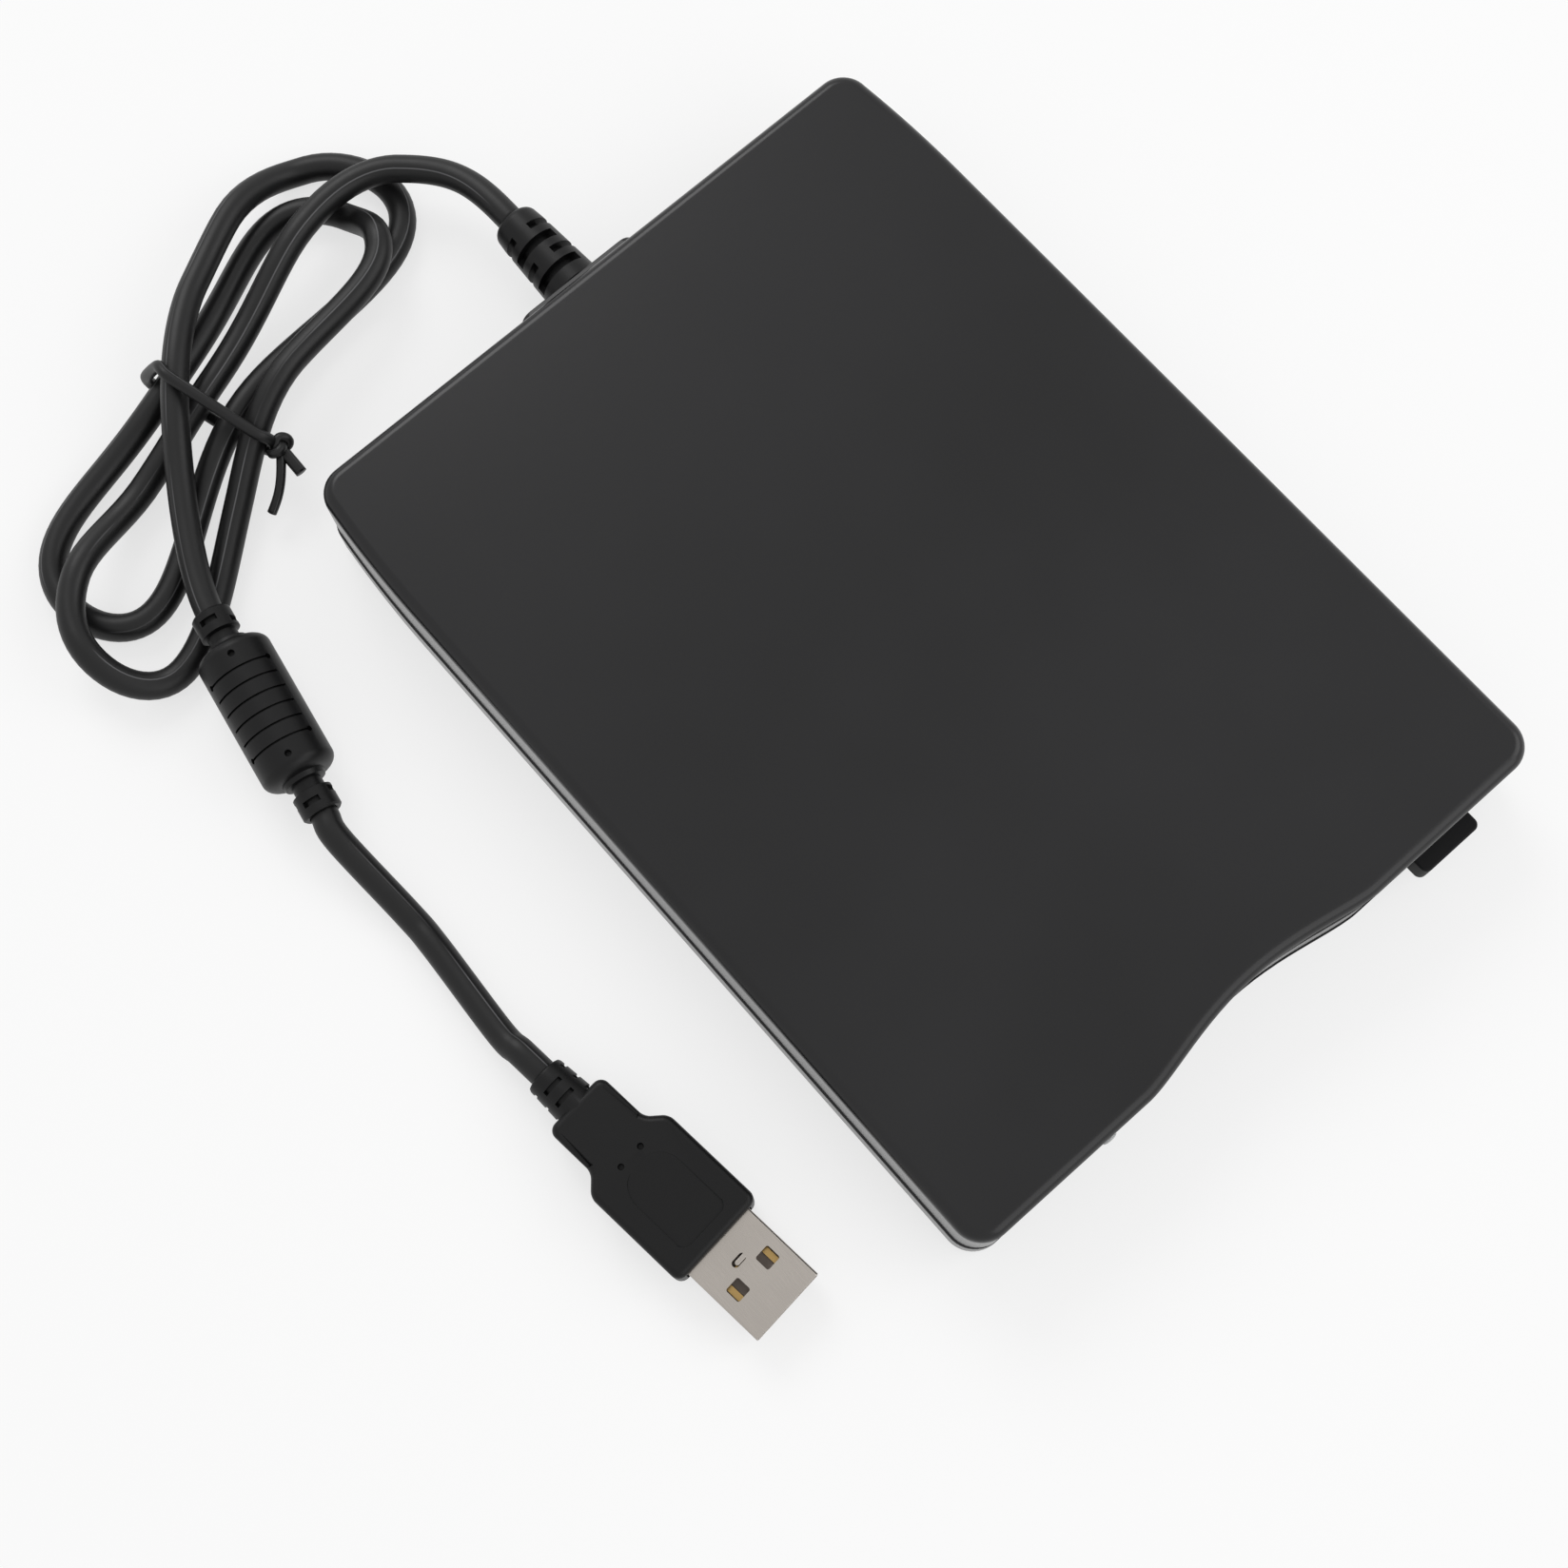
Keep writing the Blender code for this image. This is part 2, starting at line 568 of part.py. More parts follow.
def helper(made):
    made.hide_render = True
    made.display_type = "WIRE"
    return made


def loft(name, rings, finish, origin=None):
    """A closed body through rings of as many points each, capped at both ends."""
    bm = bmesh.new()
    rows = [[bm.verts.new(point) for point in ring] for ring in rings]
    for low, high in zip(rows, rows[1:]):
        for i in range(len(low)):
            j = (i + 1) % len(low)
            bm.faces.new((low[i], low[j], high[j], high[i]))
    bm.faces.new(rows[0])
    bm.faces.new(rows[-1])
    return object_of(name, bm, finish, origin)


def block(name, low, high, finish, origin=None):
    x = (low[0], high[0])
    y = (low[1], high[1])
    corners = ((x[0], y[0]), (x[1], y[0]), (x[1], y[1]), (x[0], y[1]))
    return loft(name, [[(*c, z) for c in corners] for z in (low[2], high[2])], finish, origin)


def prism(name, outline, bottom, top, finish, origin=None):
    return loft(name, [[(x, y, z) for x, y in outline] for z in (bottom, top)], finish, origin)


def turned(name, profile, centre, axis, finish, steps=CIRCLE, origin=None):
    """A body turned about an axis from (radius, distance along the axis) points."""
    way = Vector(axis).normalized()
    turn = Vector((0, 0, 1)).rotation_difference(way).to_matrix()
    rings = []
    for radius, along in profile:
        ring = []
        for i in range(steps):
            angle = 2 * math.pi * i / steps
            local = Vector((radius * math.cos(angle), radius * math.sin(angle), along))
            ring.append(Vector(centre) + turn @ local)
        rings.append(ring)
    return loft(name, rings, finish, origin)


def rod(name, start, end, radius, finish, steps=SMALL_CIRCLE, origin=None):
    way = Vector(end) - Vector(start)
    return turned(name, [(radius, 0), (radius, way.length)], start, way, finish, steps, origin)


def apply_boolean(made, other, operation):
    helper(other)
    change = made.modifiers.new(operation.title(), "BOOLEAN")
    change.object = other
    change.operation = operation
    change.solver = "EXACT"


def cut(made, *cutters):
    for cutter in cutters:
        apply_boolean(made, cutter, "DIFFERENCE")


def join(made, *others):
    for other in others:
        apply_boolean(made, other, "UNION")


def round_edges(made, width, segments=2):
    change = made.modifiers.new("Rounding", "BEVEL")
    change.width = width
    change.segments = segments
    change.limit_method = "ANGLE"
    change.angle_limit = math.radians(40)


def tube(name, points, radius, finish, sides=2):
    """A cord: one POLY spline with a round bevel and filled caps."""
    curve = bpy.data.curves.new(name, "CURVE")
    curve.dimensions = "3D"
    curve.bevel_depth = radius
    curve.bevel_resolution = sides
    curve.use_fill_caps = True
    spline = curve.splines.new("POLY")
    spline.points.add(len(points) - 1)
    for spot, point in zip(spline.points, points):
        spot.co = (*point, 1.0)
    curve.materials.append(finish)
    made = bpy.data.objects.new(name, curve)
    bpy.context.scene.collection.objects.link(made)
    return made


def coil(name, start, end, radius, wire, turns):
    """A spring of round wire along the line from start to end."""
    way = Vector(end) - Vector(start)
    turn = Vector((0, 0, 1)).rotation_difference(way).to_matrix()
    steps = turns * COIL_STEPS
    points = []
    for i in range(steps + 1):
        angle = 2 * math.pi * i / COIL_STEPS
        local = Vector((radius * math.cos(angle), radius * math.sin(angle), way.length * i / steps))
        points.append(Vector(start) + turn @ local)
    return tube(name, points, wire, steel(), 0)


def bent(start, start_pull, end_pull, end, count):
    """Points of a bend that leaves start towards its pull and comes to end from its pull."""
    points = []
    for i in range(1, count + 1):
        t = i / count
        place = start * (1 - t) ** 3 + start_pull * (3 * t * (1 - t) ** 2)
        points.append(place + end_pull * (3 * t * t * (1 - t)) + end * t**3)
    return points


def ease(share):
    share = max(0.0, min(1.0, share))
    return share * share * (3 - 2 * share)


def smooth_route(points, count):
    """As many points as asked, evenly spread on a smooth curve through the ones given."""
    ends = [2 * Vector(points[0]) - Vector(points[1])]
    ends += [Vector(p) for p in points]
    ends.append(2 * Vector(points[-1]) - Vector(points[-2]))
    fine = []
    for i in range(1, len(ends) - 2):
        before, start, end, after = ends[i - 1 : i + 3]
        for step in range(20):
            t = step / 20
            fine.append(
                start
                + (end - before) * (t / 2)
                + (2 * before - 5 * start + 4 * end - after) * (t * t / 2)
                + (3 * start - before - 3 * end + after) * (t**3 / 2)
            )
    fine.append(ends[-2])
    spans = [(b - a).length for a, b in zip(fine, fine[1:])]
    total = sum(spans)
    route = [fine[0]]
    gone = 0.0
    for a, b, span in zip(fine, fine[1:], spans):
        while len(route) < count - 1 and gone + span >= total * len(route) / (count - 1):
            route.append(a.lerp(b, (total * len(route) / (count - 1) - gone) / span))
        gone += span
    route.append(fine[-1])
    return route


def arc(centre_x, centre_y, radius, start, end, steps):
    turns = [start + (end - start) * i / steps for i in range(steps + 1)]
    return [(centre_x + radius * math.cos(a), centre_y + radius * math.sin(a)) for a in turns]


def scoop(x):
    share = abs(x) / SCOOP_HALF_WIDTH
    return SCOOP_DEPTH * (1 - share * share) ** SCOOP_FULLNESS if share < 1 else 0.0


def front_line(inset, half_width):
    """The front edge from left to right, set back by its scoop."""
    xs = [-half_width]
    xs += [SCOOP_HALF_WIDTH * (2 * i / SCOOP_STEPS - 1) for i in range(SCOOP_STEPS + 1)]
    xs.append(half_width)
    return [(x, FRONT_Y + inset + scoop(x)) for x in xs]


def case_outline(inset):
    """The plan of the casing, drawn in all round by inset."""
    half = CASE_WIDTH / 2 - inset
    radius = max(CORNER_RADIUS - inset, CORNER_RADIUS / 4)
    side = half - radius
    front = FRONT_Y + inset + radius
    rear = REAR_Y - inset - radius
    rear_side = side - REAR_DRAW_IN
    draw_in = REAR_Y - DRAW_IN_RUN
    run = rear - draw_in
    quarter = math.pi / 2
    outline = front_line(inset, side)[1:-1]
    outline += arc(side, front, radius, -quarter, 0, CORNER_STEPS)
    outline += [(half - REAR_DRAW_IN * share * share, draw_in + run * share) for share in DRAW_IN_SHARES]
    outline += arc(rear_side, rear, radius, 0, quarter, CORNER_STEPS)
    outline += arc(-rear_side, rear, radius, quarter, 2 * quarter, CORNER_STEPS)
    outline += [
        (REAR_DRAW_IN * share * share - half, draw_in + run * share) for share in DRAW_IN_SHARES[::-1]
    ]
    outline += arc(-side, front, radius, 2 * quarter, 3 * quarter, CORNER_STEPS)
    return outline


def case_ring(inset, z):
    return [(x, y, z) for x, y in case_outline(inset)]


def rounding(inset, z, radius, up):
    """Rings that round an edge over from the wall to the flat."""
    rings = []
    for step in range(4):
        angle = math.pi / 2 * step / 3
        rings.append(
            case_ring(inset + radius * (1 - math.cos(angle)), z + up * radius * math.sin(angle))
        )
    return rings


def case_windows(name):
    """What is cut from the casing for the bezel and for the cable bushing."""
    half = BEZEL_HALF_WIDTH + CLEAR
    front = block(
        name + "_front_window",
        (-half, FRONT_Y - OVERRUN, INNER_FLOOR_Z),
        (half, FRONT_Y + SCOOP_DEPTH + BASE_WALL + OVERRUN, INNER_ROOF_Z),
        black_plastic(),
    )
    neck = BUSHING_NECK_HALF_WIDTH + CLEAR
    rear = block(
        name + "_rear_window",
        (LEAD_X - neck, REAR_Y - BASE_WALL - OVERRUN, LEAD_Z - BUSHING_NECK_HALF_HEIGHT - CLEAR),
        (LEAD_X + neck, REAR_Y + OVERRUN, LEAD_Z + BUSHING_NECK_HALF_HEIGHT + CLEAR),
        black_plastic(),
    )
    return front, rear


def build_top_cover():
    bottom = SEAM_Z + SEAM_GAP / 2
    rings = [case_ring(COVER_WALL, INNER_ROOF_Z), case_ring(COVER_WALL, bottom), case_ring(0, bottom)]
    rings += rounding(0, CASE_TOP - EDGE_ROUND, EDGE_ROUND, 1)
    cover = loft("top_cover", rings, black_plastic())
    for i, side in enumerate((-1, 1)):
        place = (side * REAR_SCREW_X, REAR_SCREW_Y)
        low = (*place, REAR_BOSS_SPLIT_Z + CLEAR)
        high = (*place, INNER_ROOF_Z + ROOF / 2)
        join(cover, rod(f"cover_boss_{i}", low, high, BOSS_RADIUS, black_plastic()))
        pilot_top = (*place, REAR_SCREW_TOP + CLEAR)
        low = (*place, REAR_BOSS_SPLIT_Z - OVERRUN)
        cut(cover, rod(f"cover_pilot_{i}", low, pilot_top, PILOT_RADIUS, black_plastic()))
    cut(cover, *case_windows("cover"))


def screw_places():
    return (
        (-REAR_SCREW_X, REAR_SCREW_Y, REAR_SCREW_TOP),
        (REAR_SCREW_X, REAR_SCREW_Y, REAR_SCREW_TOP),
        (-FRONT_SCREW_X, FRONT_SCREW_Y, FRONT_SCREW_TOP),
        (FRONT_SCREW_X, FRONT_SCREW_Y, FRONT_SCREW_TOP),
    )


def foot_places():
    ys = (FRONT_FOOT_Y, REAR_FOOT_Y)
    return [(side * FOOT_X, y) for y in ys for side in (-1, 1)]


def build_bottom_case():
    wall_top = SEAM_Z - SEAM_GAP / 2
    lip_top = SEAM_Z + LIP_RISE
    rings = [
        case_ring(BASE_WALL, INNER_FLOOR_Z),
        case_ring(BASE_WALL, lip_top),
        case_ring(COVER_WALL + CLEAR, lip_top),
        case_ring(COVER_WALL + CLEAR, wall_top),
    ]
    rings += rounding(0, CASE_BASE + BASE_ROUND, BASE_ROUND, -1)
    rings.insert(4, case_ring(0, wall_top))
    case = loft("bottom_case", rings, black_plastic())
    finish = black_plastic()
    root = INNER_FLOOR_Z - RIB_SINK
    cut(case, *case_windows("case"))
    for i, side in enumerate((-1, 1)):
        place = (side * REAR_SCREW_X, REAR_SCREW_Y)
        join(case, rod(f"case_boss_{i}", (*place, root), (*place, REAR_BOSS_SPLIT_Z), BOSS_RADIUS, finish))
        place = (side * CHASSIS_SCREW_X, CHASSIS_SCREW_Y)
        top = (*place, CHASSIS_FLOOR_Z - CLEAR)
        join(case, rod(f"case_pad_{i}", (*place, root), top, PAD_RADIUS, finish))
        cut(case, rod(f"pad_pilot_{i}", (*place, root), (*place, SEAM_Z), PILOT_RADIUS, finish))
        x = side * (REAR_BOARD_HALF_WIDTH - BOARD_RIB)
        low = (x - BOARD_RIB / 2, REAR_BOARD_Y - REAR_BOARD_DEPTH / 2, root)
        high = (x + BOARD_RIB / 2, REAR_BOARD_Y + REAR_BOARD_DEPTH / 2, BOARD_Z - CLEAR)
        join(case, block(f"board_rib_{i}", low, high, finish))
        x = side * (CHASSIS_SCREW_X - BOARD_RIB)
        low = (x - BOARD_RIB / 2, CHASSIS_FRONT_Y + CLEAR, root)
        high = (x + BOARD_RIB / 2, CHASSIS_FRONT_Y + DRAW_IN_RUN, CHASSIS_FLOOR_Z - CLEAR)
        join(case, block(f"chassis_rib_{i}", low, high, finish))
    for i, (x, y, top) in enumerate(screw_places()):
        start = (x, y, CASE_BASE - OVERRUN)
        cut(case, rod(f"case_pilot_{i}", start, (x, y, top), PILOT_RADIUS, finish))
        well = (x, y, CASE_BASE + HEAD_WELL_DEPTH)
        cut(case, rod(f"case_well_{i}", start, well, HEAD_WELL_RADIUS, finish))
    for i, (x, y) in enumerate(foot_places()):
        start = (x, y, CASE_BASE - OVERRUN)
        end = (x, y, CASE_BASE + FOOT_WELL_DEPTH)
        cut(case, rod(f"foot_well_{i}", start, end, FOOT_RADIUS + CLEAR, finish, CIRCLE))


def build_feet_and_screws():
    for i, (x, y) in enumerate(foot_places()):
        edge = FOOT_SINK / 2
        profile = [(FOOT_RADIUS - edge, 0), (FOOT_RADIUS, edge), (FOOT_RADIUS, CASE_BASE + FOOT_SINK)]
        turned(f"foot_{i + 1}", profile, (x, y, 0), (0, 0, 1), rubber())
    for i, (x, y, top) in enumerate(screw_places()):
        profile = [
            (SCREW_HEAD_RADIUS, CASE_BASE),
            (SCREW_HEAD_RADIUS, CASE_BASE + SCREW_HEAD_THICKNESS),
            (SCREW_RADIUS, CASE_BASE + SCREW_HEAD_THICKNESS),
            (SCREW_RADIUS, top - SCREW_RADIUS),
            (SCREW_RADIUS / 2, top - CLEAR),
        ]
        turned(f"case_screw_{i + 1}", profile, (x, y, 0), (0, 0, 1), steel(), SMALL_CIRCLE)


def build_front_bezel():
    finish = black_plastic()
    front = front_line(BEZEL_SET_BACK, BEZEL_HALF_WIDTH)
    back = front_line(BEZEL_SET_BACK + BEZEL_THICKNESS, BEZEL_HALF_WIDTH)
    bottom = INNER_FLOOR_Z + CLEAR
    top = INNER_ROOF_Z - CLEAR
    bezel = prism("front_bezel", front + back[::-1], bottom, top, finish)
    inner_y = FRONT_Y + BEZEL_SET_BACK + BEZEL_THICKNESS / 2
    for i, side in enumerate((-1, 1)):
        x = side * FRONT_SCREW_X
        low = (x - LUG_HALF_WIDTH, inner_y, bottom)
        high = (x + LUG_HALF_WIDTH, inner_y + LUG_DEPTH, LUG_TOP)
        join(bezel, block(f"bezel_lug_{i}", low, high, finish))
        pilot = ((x, FRONT_SCREW_Y, 0), (x, FRONT_SCREW_Y, FRONT_SCREW_TOP + CLEAR))
        cut(bezel, rod(f"bezel_pilot_{i}", *pilot, PILOT_RADIUS, finish))
        x = side * EAR_X
        low = (x - EAR_THICKNESS / 2, inner_y, DOOR_AXIS_Z - EAR_HALF_DEPTH)
        high = (x + EAR_THICKNESS / 2, DOOR_AXIS_Y + EAR_HALF_DEPTH, top)
        join(bezel, block(f"bezel_ear_{i}", low, high, finish))
    far = FRONT_Y + SCOOP_DEPTH + BEZEL_THICKNESS + OVERRUN
    near = FRONT_Y - OVERRUN
    low = (-SLOT_HALF_WIDTH, near, SLOT_BOTTOM)
    cut(bezel, block("bezel_slot", low, (SLOT_HALF_WIDTH, far, SLOT_TOP), finish))
    half = BUTTON_WIDTH / 2 + CLEAR
    low = (BUTTON_X - half, near, BUTTON_BOTTOM - CLEAR)
    cut(bezel, block("bezel_button_hole", low, (BUTTON_X + half, far, BUTTON_TOP + CLEAR), finish))
    start = (LENS_X, near, LENS_Z)
    cut(bezel, rod("bezel_lens_hole", start, (LENS_X, far, LENS_Z), LENS_RADIUS + CLEAR, finish))
    half = DOOR_PIN_HALF_LENGTH + OVERRUN
    ends = [(x, DOOR_AXIS_Y, DOOR_AXIS_Z) for x in (-half, half)]
    cut(bezel, rod("bezel_pin_hole", *ends, DOOR_PIN_RADIUS + CLEAR / 2, finish))


def build_slot_door():
    axis = (0, DOOR_AXIS_Y, DOOR_AXIS_Z)
    ends = [(x, DOOR_AXIS_Y, DOOR_AXIS_Z) for x in (-DOOR_HALF_WIDTH, DOOR_HALF_WIDTH)]
    door = rod("slot_door", *ends, DOOR_BARREL_RADIUS, soft_black(), origin=axis)
    plate = block(
        "door_plate",
        (-DOOR_HALF_WIDTH, DOOR_AXIS_Y - DOOR_THICKNESS / 2, DOOR_AXIS_Z - DOOR_DROP),
        (DOOR_HALF_WIDTH, DOOR_AXIS_Y + DOOR_THICKNESS / 2, DOOR_AXIS_Z - DOOR_BARREL_RADIUS / 2),
        soft_black(),
    )
    join(door, plate)
    half = SLOT_HALF_WIDTH - CLEAR
    wing = block(
        "door_wings",
        (-half, DOOR_AXIS_Y - DOOR_THICKNESS / 2, DOOR_AXIS_Z - DOOR_DROP),
        (half, DOOR_AXIS_Y + DOOR_THICKNESS / 2, DOOR_AXIS_Z - DOOR_WING_DROP),
        soft_black(),
    )
    join(door, wing)
    long_ends = [(x, DOOR_AXIS_Y, DOOR_AXIS_Z) for x in (-CASE_WIDTH, CASE_WIDTH)]
    cut(door, rod("door_bore", *long_ends, DOOR_PIN_RADIUS + CLEAR / 2, soft_black()))
    ends = [(x, DOOR_AXIS_Y, DOOR_AXIS_Z) for x in (-DOOR_PIN_HALF_LENGTH, DOOR_PIN_HALF_LENGTH)]
    rod("door_pin", *ends, DOOR_PIN_RADIUS, steel())
    start = EAR_THICKNESS / 2 + CLEAR + DOOR_SPRING_WIRE - EAR_X
    end = -DOOR_HALF_WIDTH - CLEAR - DOOR_SPRING_WIRE
    ends = [(x, DOOR_AXIS_Y, DOOR_AXIS_Z) for x in (start, end)]
    coil("door_spring", *ends, DOOR_SPRING_RADIUS, DOOR_SPRING_WIRE, DOOR_SPRING_TURNS)


def build_chassis():
    finish = sheet_steel()
    half = CHASSIS_HALF_WIDTH
    low = (-half, CHASSIS_FRONT_Y, CHASSIS_FLOOR_Z)
    chassis = block("chassis", low, (half, CHASSIS_REAR_Y, CHASSIS_FLOOR_TOP), finish)
    middle = CHASSIS_FLOOR_Z + CHASSIS_FLOOR / 2
    for i, side in enumerate((-1, 1)):
        xs = sorted((side * half, side * (half - CHASSIS_SIDE)))
        low = (xs[0], CHASSIS_FRONT_Y, middle)
        high = (xs[1], CHASSIS_REAR_Y, CHASSIS_TOP_Z)
        join(chassis, block(f"chassis_side_{i}", low, high, finish))
        place = (side * CHASSIS_SCREW_X, CHASSIS_SCREW_Y)
        hole = ((*place, CHASSIS_FLOOR_Z - OVERRUN), (*place, CHASSIS_FLOOR_TOP + OVERRUN))
        cut(chassis, rod(f"chassis_hole_{i}", *hole, PILOT_RADIUS, finish))
    rod_tab_top = ROD_Z + ROD_RADIUS + TAB_ABOVE_ROD
    screw_tab_top = LEAD_SCREW_Z + LEAD_SCREW_RADIUS
    tabs = (
        ("rod_front_tab", ROD_X, ROD_FRONT_Y - CLEAR - TAB_THICKNESS, rod_tab_top),
        ("rod_rear_tab", ROD_X, ROD_REAR_Y + CLEAR, rod_tab_top),
        ("screw_tab", LEAD_SCREW_X, LEAD_SCREW_FRONT_Y - CLEAR - TAB_THICKNESS, screw_tab_top),
    )
    for name, x, y, top in tabs:
        low = (x - TAB_HALF_WIDTH, y, middle)
        join(chassis, block(name, low, (x + TAB_HALF_WIDTH, y + TAB_THICKNESS, top), finish))
    low = (LEAD_SCREW_X - SADDLE_HALF_WIDTH, MOTOR_FRONT_Y, middle)
    top = LEAD_SCREW_Z - MOTOR_RADIUS - CLEAR
    high = (LEAD_SCREW_X + SADDLE_HALF_WIDTH, MOTOR_FRONT_Y + MOTOR_LENGTH, top)
    join(chassis, block("motor_saddle", low, high, finish))
    hook_y = spring_front_y() + SPRING_LENGTH + CLEAR
    low = (SPRING_X - HOOK_SIZE / 2, hook_y, middle)
    high = (SPRING_X + HOOK_SIZE / 2, hook_y + HOOK_SIZE, spring_z() + SPRING_RADIUS)
    join(chassis, block("spring_hook", low, high, finish))
    neck_top = latch_z() + LATCH_THICKNESS + CLEAR
    profile = [
        (LATCH_POST_RADIUS, middle),
        (LATCH_POST_RADIUS, neck_top),
        (LATCH_HEAD_RADIUS, neck_top),
        (LATCH_HEAD_RADIUS, neck_top + LATCH_HEAD),
    ]
    join(chassis, turned("latch_post", profile, (LATCH_X, LATCH_Y, 0), (0, 0, 1), finish, SMALL_CIRCLE))
    low = (-half, SHIELD_FRONT_Y, SHIELD_Z)
    high = (half, SHIELD_REAR_Y, SHIELD_Z + SHIELD_THICKNESS)
    block("top_shield", low, high, finish)
    for i, side in enumerate((-1, 1)):
        profile = [
            (SCREW_RADIUS, INNER_FLOOR_Z + CLEAR),
            (SCREW_RADIUS, CHASSIS_FLOOR_TOP + CLEAR),
            (SCREW_HEAD_RADIUS, CHASSIS_FLOOR_TOP + CLEAR),
            (SCREW_HEAD_RADIUS, CHASSIS_FLOOR_TOP + CLEAR + SCREW_HEAD_THICKNESS),
        ]
        centre = (side * CHASSIS_SCREW_X, CHASSIS_SCREW_Y, 0)
        turned(f"chassis_screw_{i + 1}", profile, centre, (0, 0, 1), steel(), SMALL_CIRCLE)


def build_disk_holder():
    finish = sheet_steel()
    half = HOLDER_HALF_WIDTH
    sheet = HOLDER_SHEET
    low = (-half, HOLDER_FRONT_Y, HOLDER_TOP_Z - sheet)
    holder = block("disk_holder", low, (half, HOLDER_REAR_Y, HOLDER_TOP_Z), finish)
    for i, side in enumerate((-1, 1)):
        xs = sorted((side * half, side * (half - sheet)))
        low = (xs[0], HOLDER_FRONT_Y, HOLDER_BASE_Z)
        join(holder, block(f"holder_side_{i}", low, (xs[1], HOLDER_REAR_Y, HOLDER_TOP_Z - sheet / 2), finish))
        xs = sorted((side * (half - sheet / 2), side * (half - HOLDER_FLANGE)))
        low = (xs[0], HOLDER_FRONT_Y, HOLDER_BASE_Z)
        join(holder, block(f"holder_flange_{i}", low, (xs[1], HOLDER_REAR_Y, HOLDER_BASE_Z + sheet), finish))
        xs = sorted((side * (half - sheet / 2), side * HOLDER_TAB_X))
        low = (xs[0], HOLDER_REAR_Y - sheet, HOLDER_BASE_Z + sheet / 2)
        join(holder, block(f"holder_tab_{i}", low, (xs[1], HOLDER_REAR_Y, HOLDER_TOP_Z - sheet / 2), finish))
    low = (-HEAD_SLOT_HALF_WIDTH, HOLDER_REAR_Y - HEAD_SLOT_DEPTH, HOLDER_TOP_Z - OVERRUN)
    high = (HEAD_SLOT_HALF_WIDTH, HOLDER_REAR_Y + OVERRUN, HOLDER_TOP_Z + OVERRUN)
    cut(holder, block("holder_head_slot", low, high, finish))


def latch_z():
    return CHASSIS_FLOOR_TOP + CLEAR


def spring_z():
    return CHASSIS_FLOOR_TOP + CLEAR + SPRING_RADIUS


def spring_front_y():
    return SLIDER_FRONT_Y + SLIDER_BAR + CLEAR


def build_eject_parts():
    finish = sheet_steel()
    half = SLIDER_HALF_WIDTH
    low = (-half, SLIDER_FRONT_Y, SLIDER_Z)
    high = (half, SLIDER_FRONT_Y + SLIDER_BAR, SLIDER_Z + SLIDER_SOLE)
    slider = block("eject_slider", low, high, finish)
    length = SLIDER_REAR_Y - SLIDER_FRONT_Y
    for i, side in enumerate((-1, 1)):
        xs = sorted((side * half, side * (half - SLIDER_SHEET)))
        low = (xs[0], SLIDER_FRONT_Y, SLIDER_Z)
        join(slider, block(f"slider_side_{i}", low, (xs[1], SLIDER_REAR_Y, SLIDER_TOP), finish))
    for i, share in enumerate(CAM_SLOT_SHARES):
        y = SLIDER_FRONT_Y + length * share
        low = (-half - OVERRUN, y, CAM_SLOT_Z)
        high = (half + OVERRUN, y + CAM_SLOT_LENGTH, CAM_SLOT_Z + CAM_SLOT_HEIGHT)
        cut(slider, block(f"slider_cam_slot_{i}", low, high, finish))
    front = FRONT_Y - BUTTON_PROUD
    half = BUTTON_WIDTH / 2
    low = (BUTTON_X - half, front, BUTTON_BOTTOM)
    high = (BUTTON_X + half, front + BUTTON_DEPTH, BUTTON_TOP)
    button = block("eject_button", low, high, black_plastic())
    round_edges(button, BUTTON_ROUND)
    stem_z = SLIDER_Z + SLIDER_SOLE + CLEAR
    low = (BUTTON_X - STEM_HALF_WIDTH, front + BUTTON_DEPTH / 2, stem_z)
    high = (BUTTON_X + STEM_HALF_WIDTH, SLIDER_FRONT_Y + SLIDER_BAR / 2, stem_z + STEM_HEIGHT)
    join(button, block("button_stem", low, high, black_plastic()))
    start = (SPRING_X, spring_front_y() + SPRING_WIRE, spring_z())
    end = (SPRING_X, spring_front_y() + SPRING_LENGTH - SPRING_WIRE, spring_z())
    coil("eject_spring", start, end, SPRING_RADIUS - SPRING_WIRE, SPRING_WIRE, SPRING_TURNS)
    lever_z = latch_z()
    low = (LATCH_X - LATCH_HALF_WIDTH, LATCH_Y - LATCH_LENGTH, lever_z)
    high = (LATCH_X + LATCH_HALF_WIDTH, LATCH_Y + LATCH_HALF_WIDTH, lever_z + LATCH_THICKNESS)
    pivot = (LATCH_X, LATCH_Y, lever_z)
    lever = block("latch_lever", low, high, sheet_steel(), pivot)
    post_base = (LATCH_X, LATCH_Y, lever_z - OVERRUN)
    bore = rod("latch_bore", post_base, (LATCH_X, LATCH_Y, CASE_TOP), LATCH_POST_RADIUS + CLEAR, steel())
    cut(lever, bore)


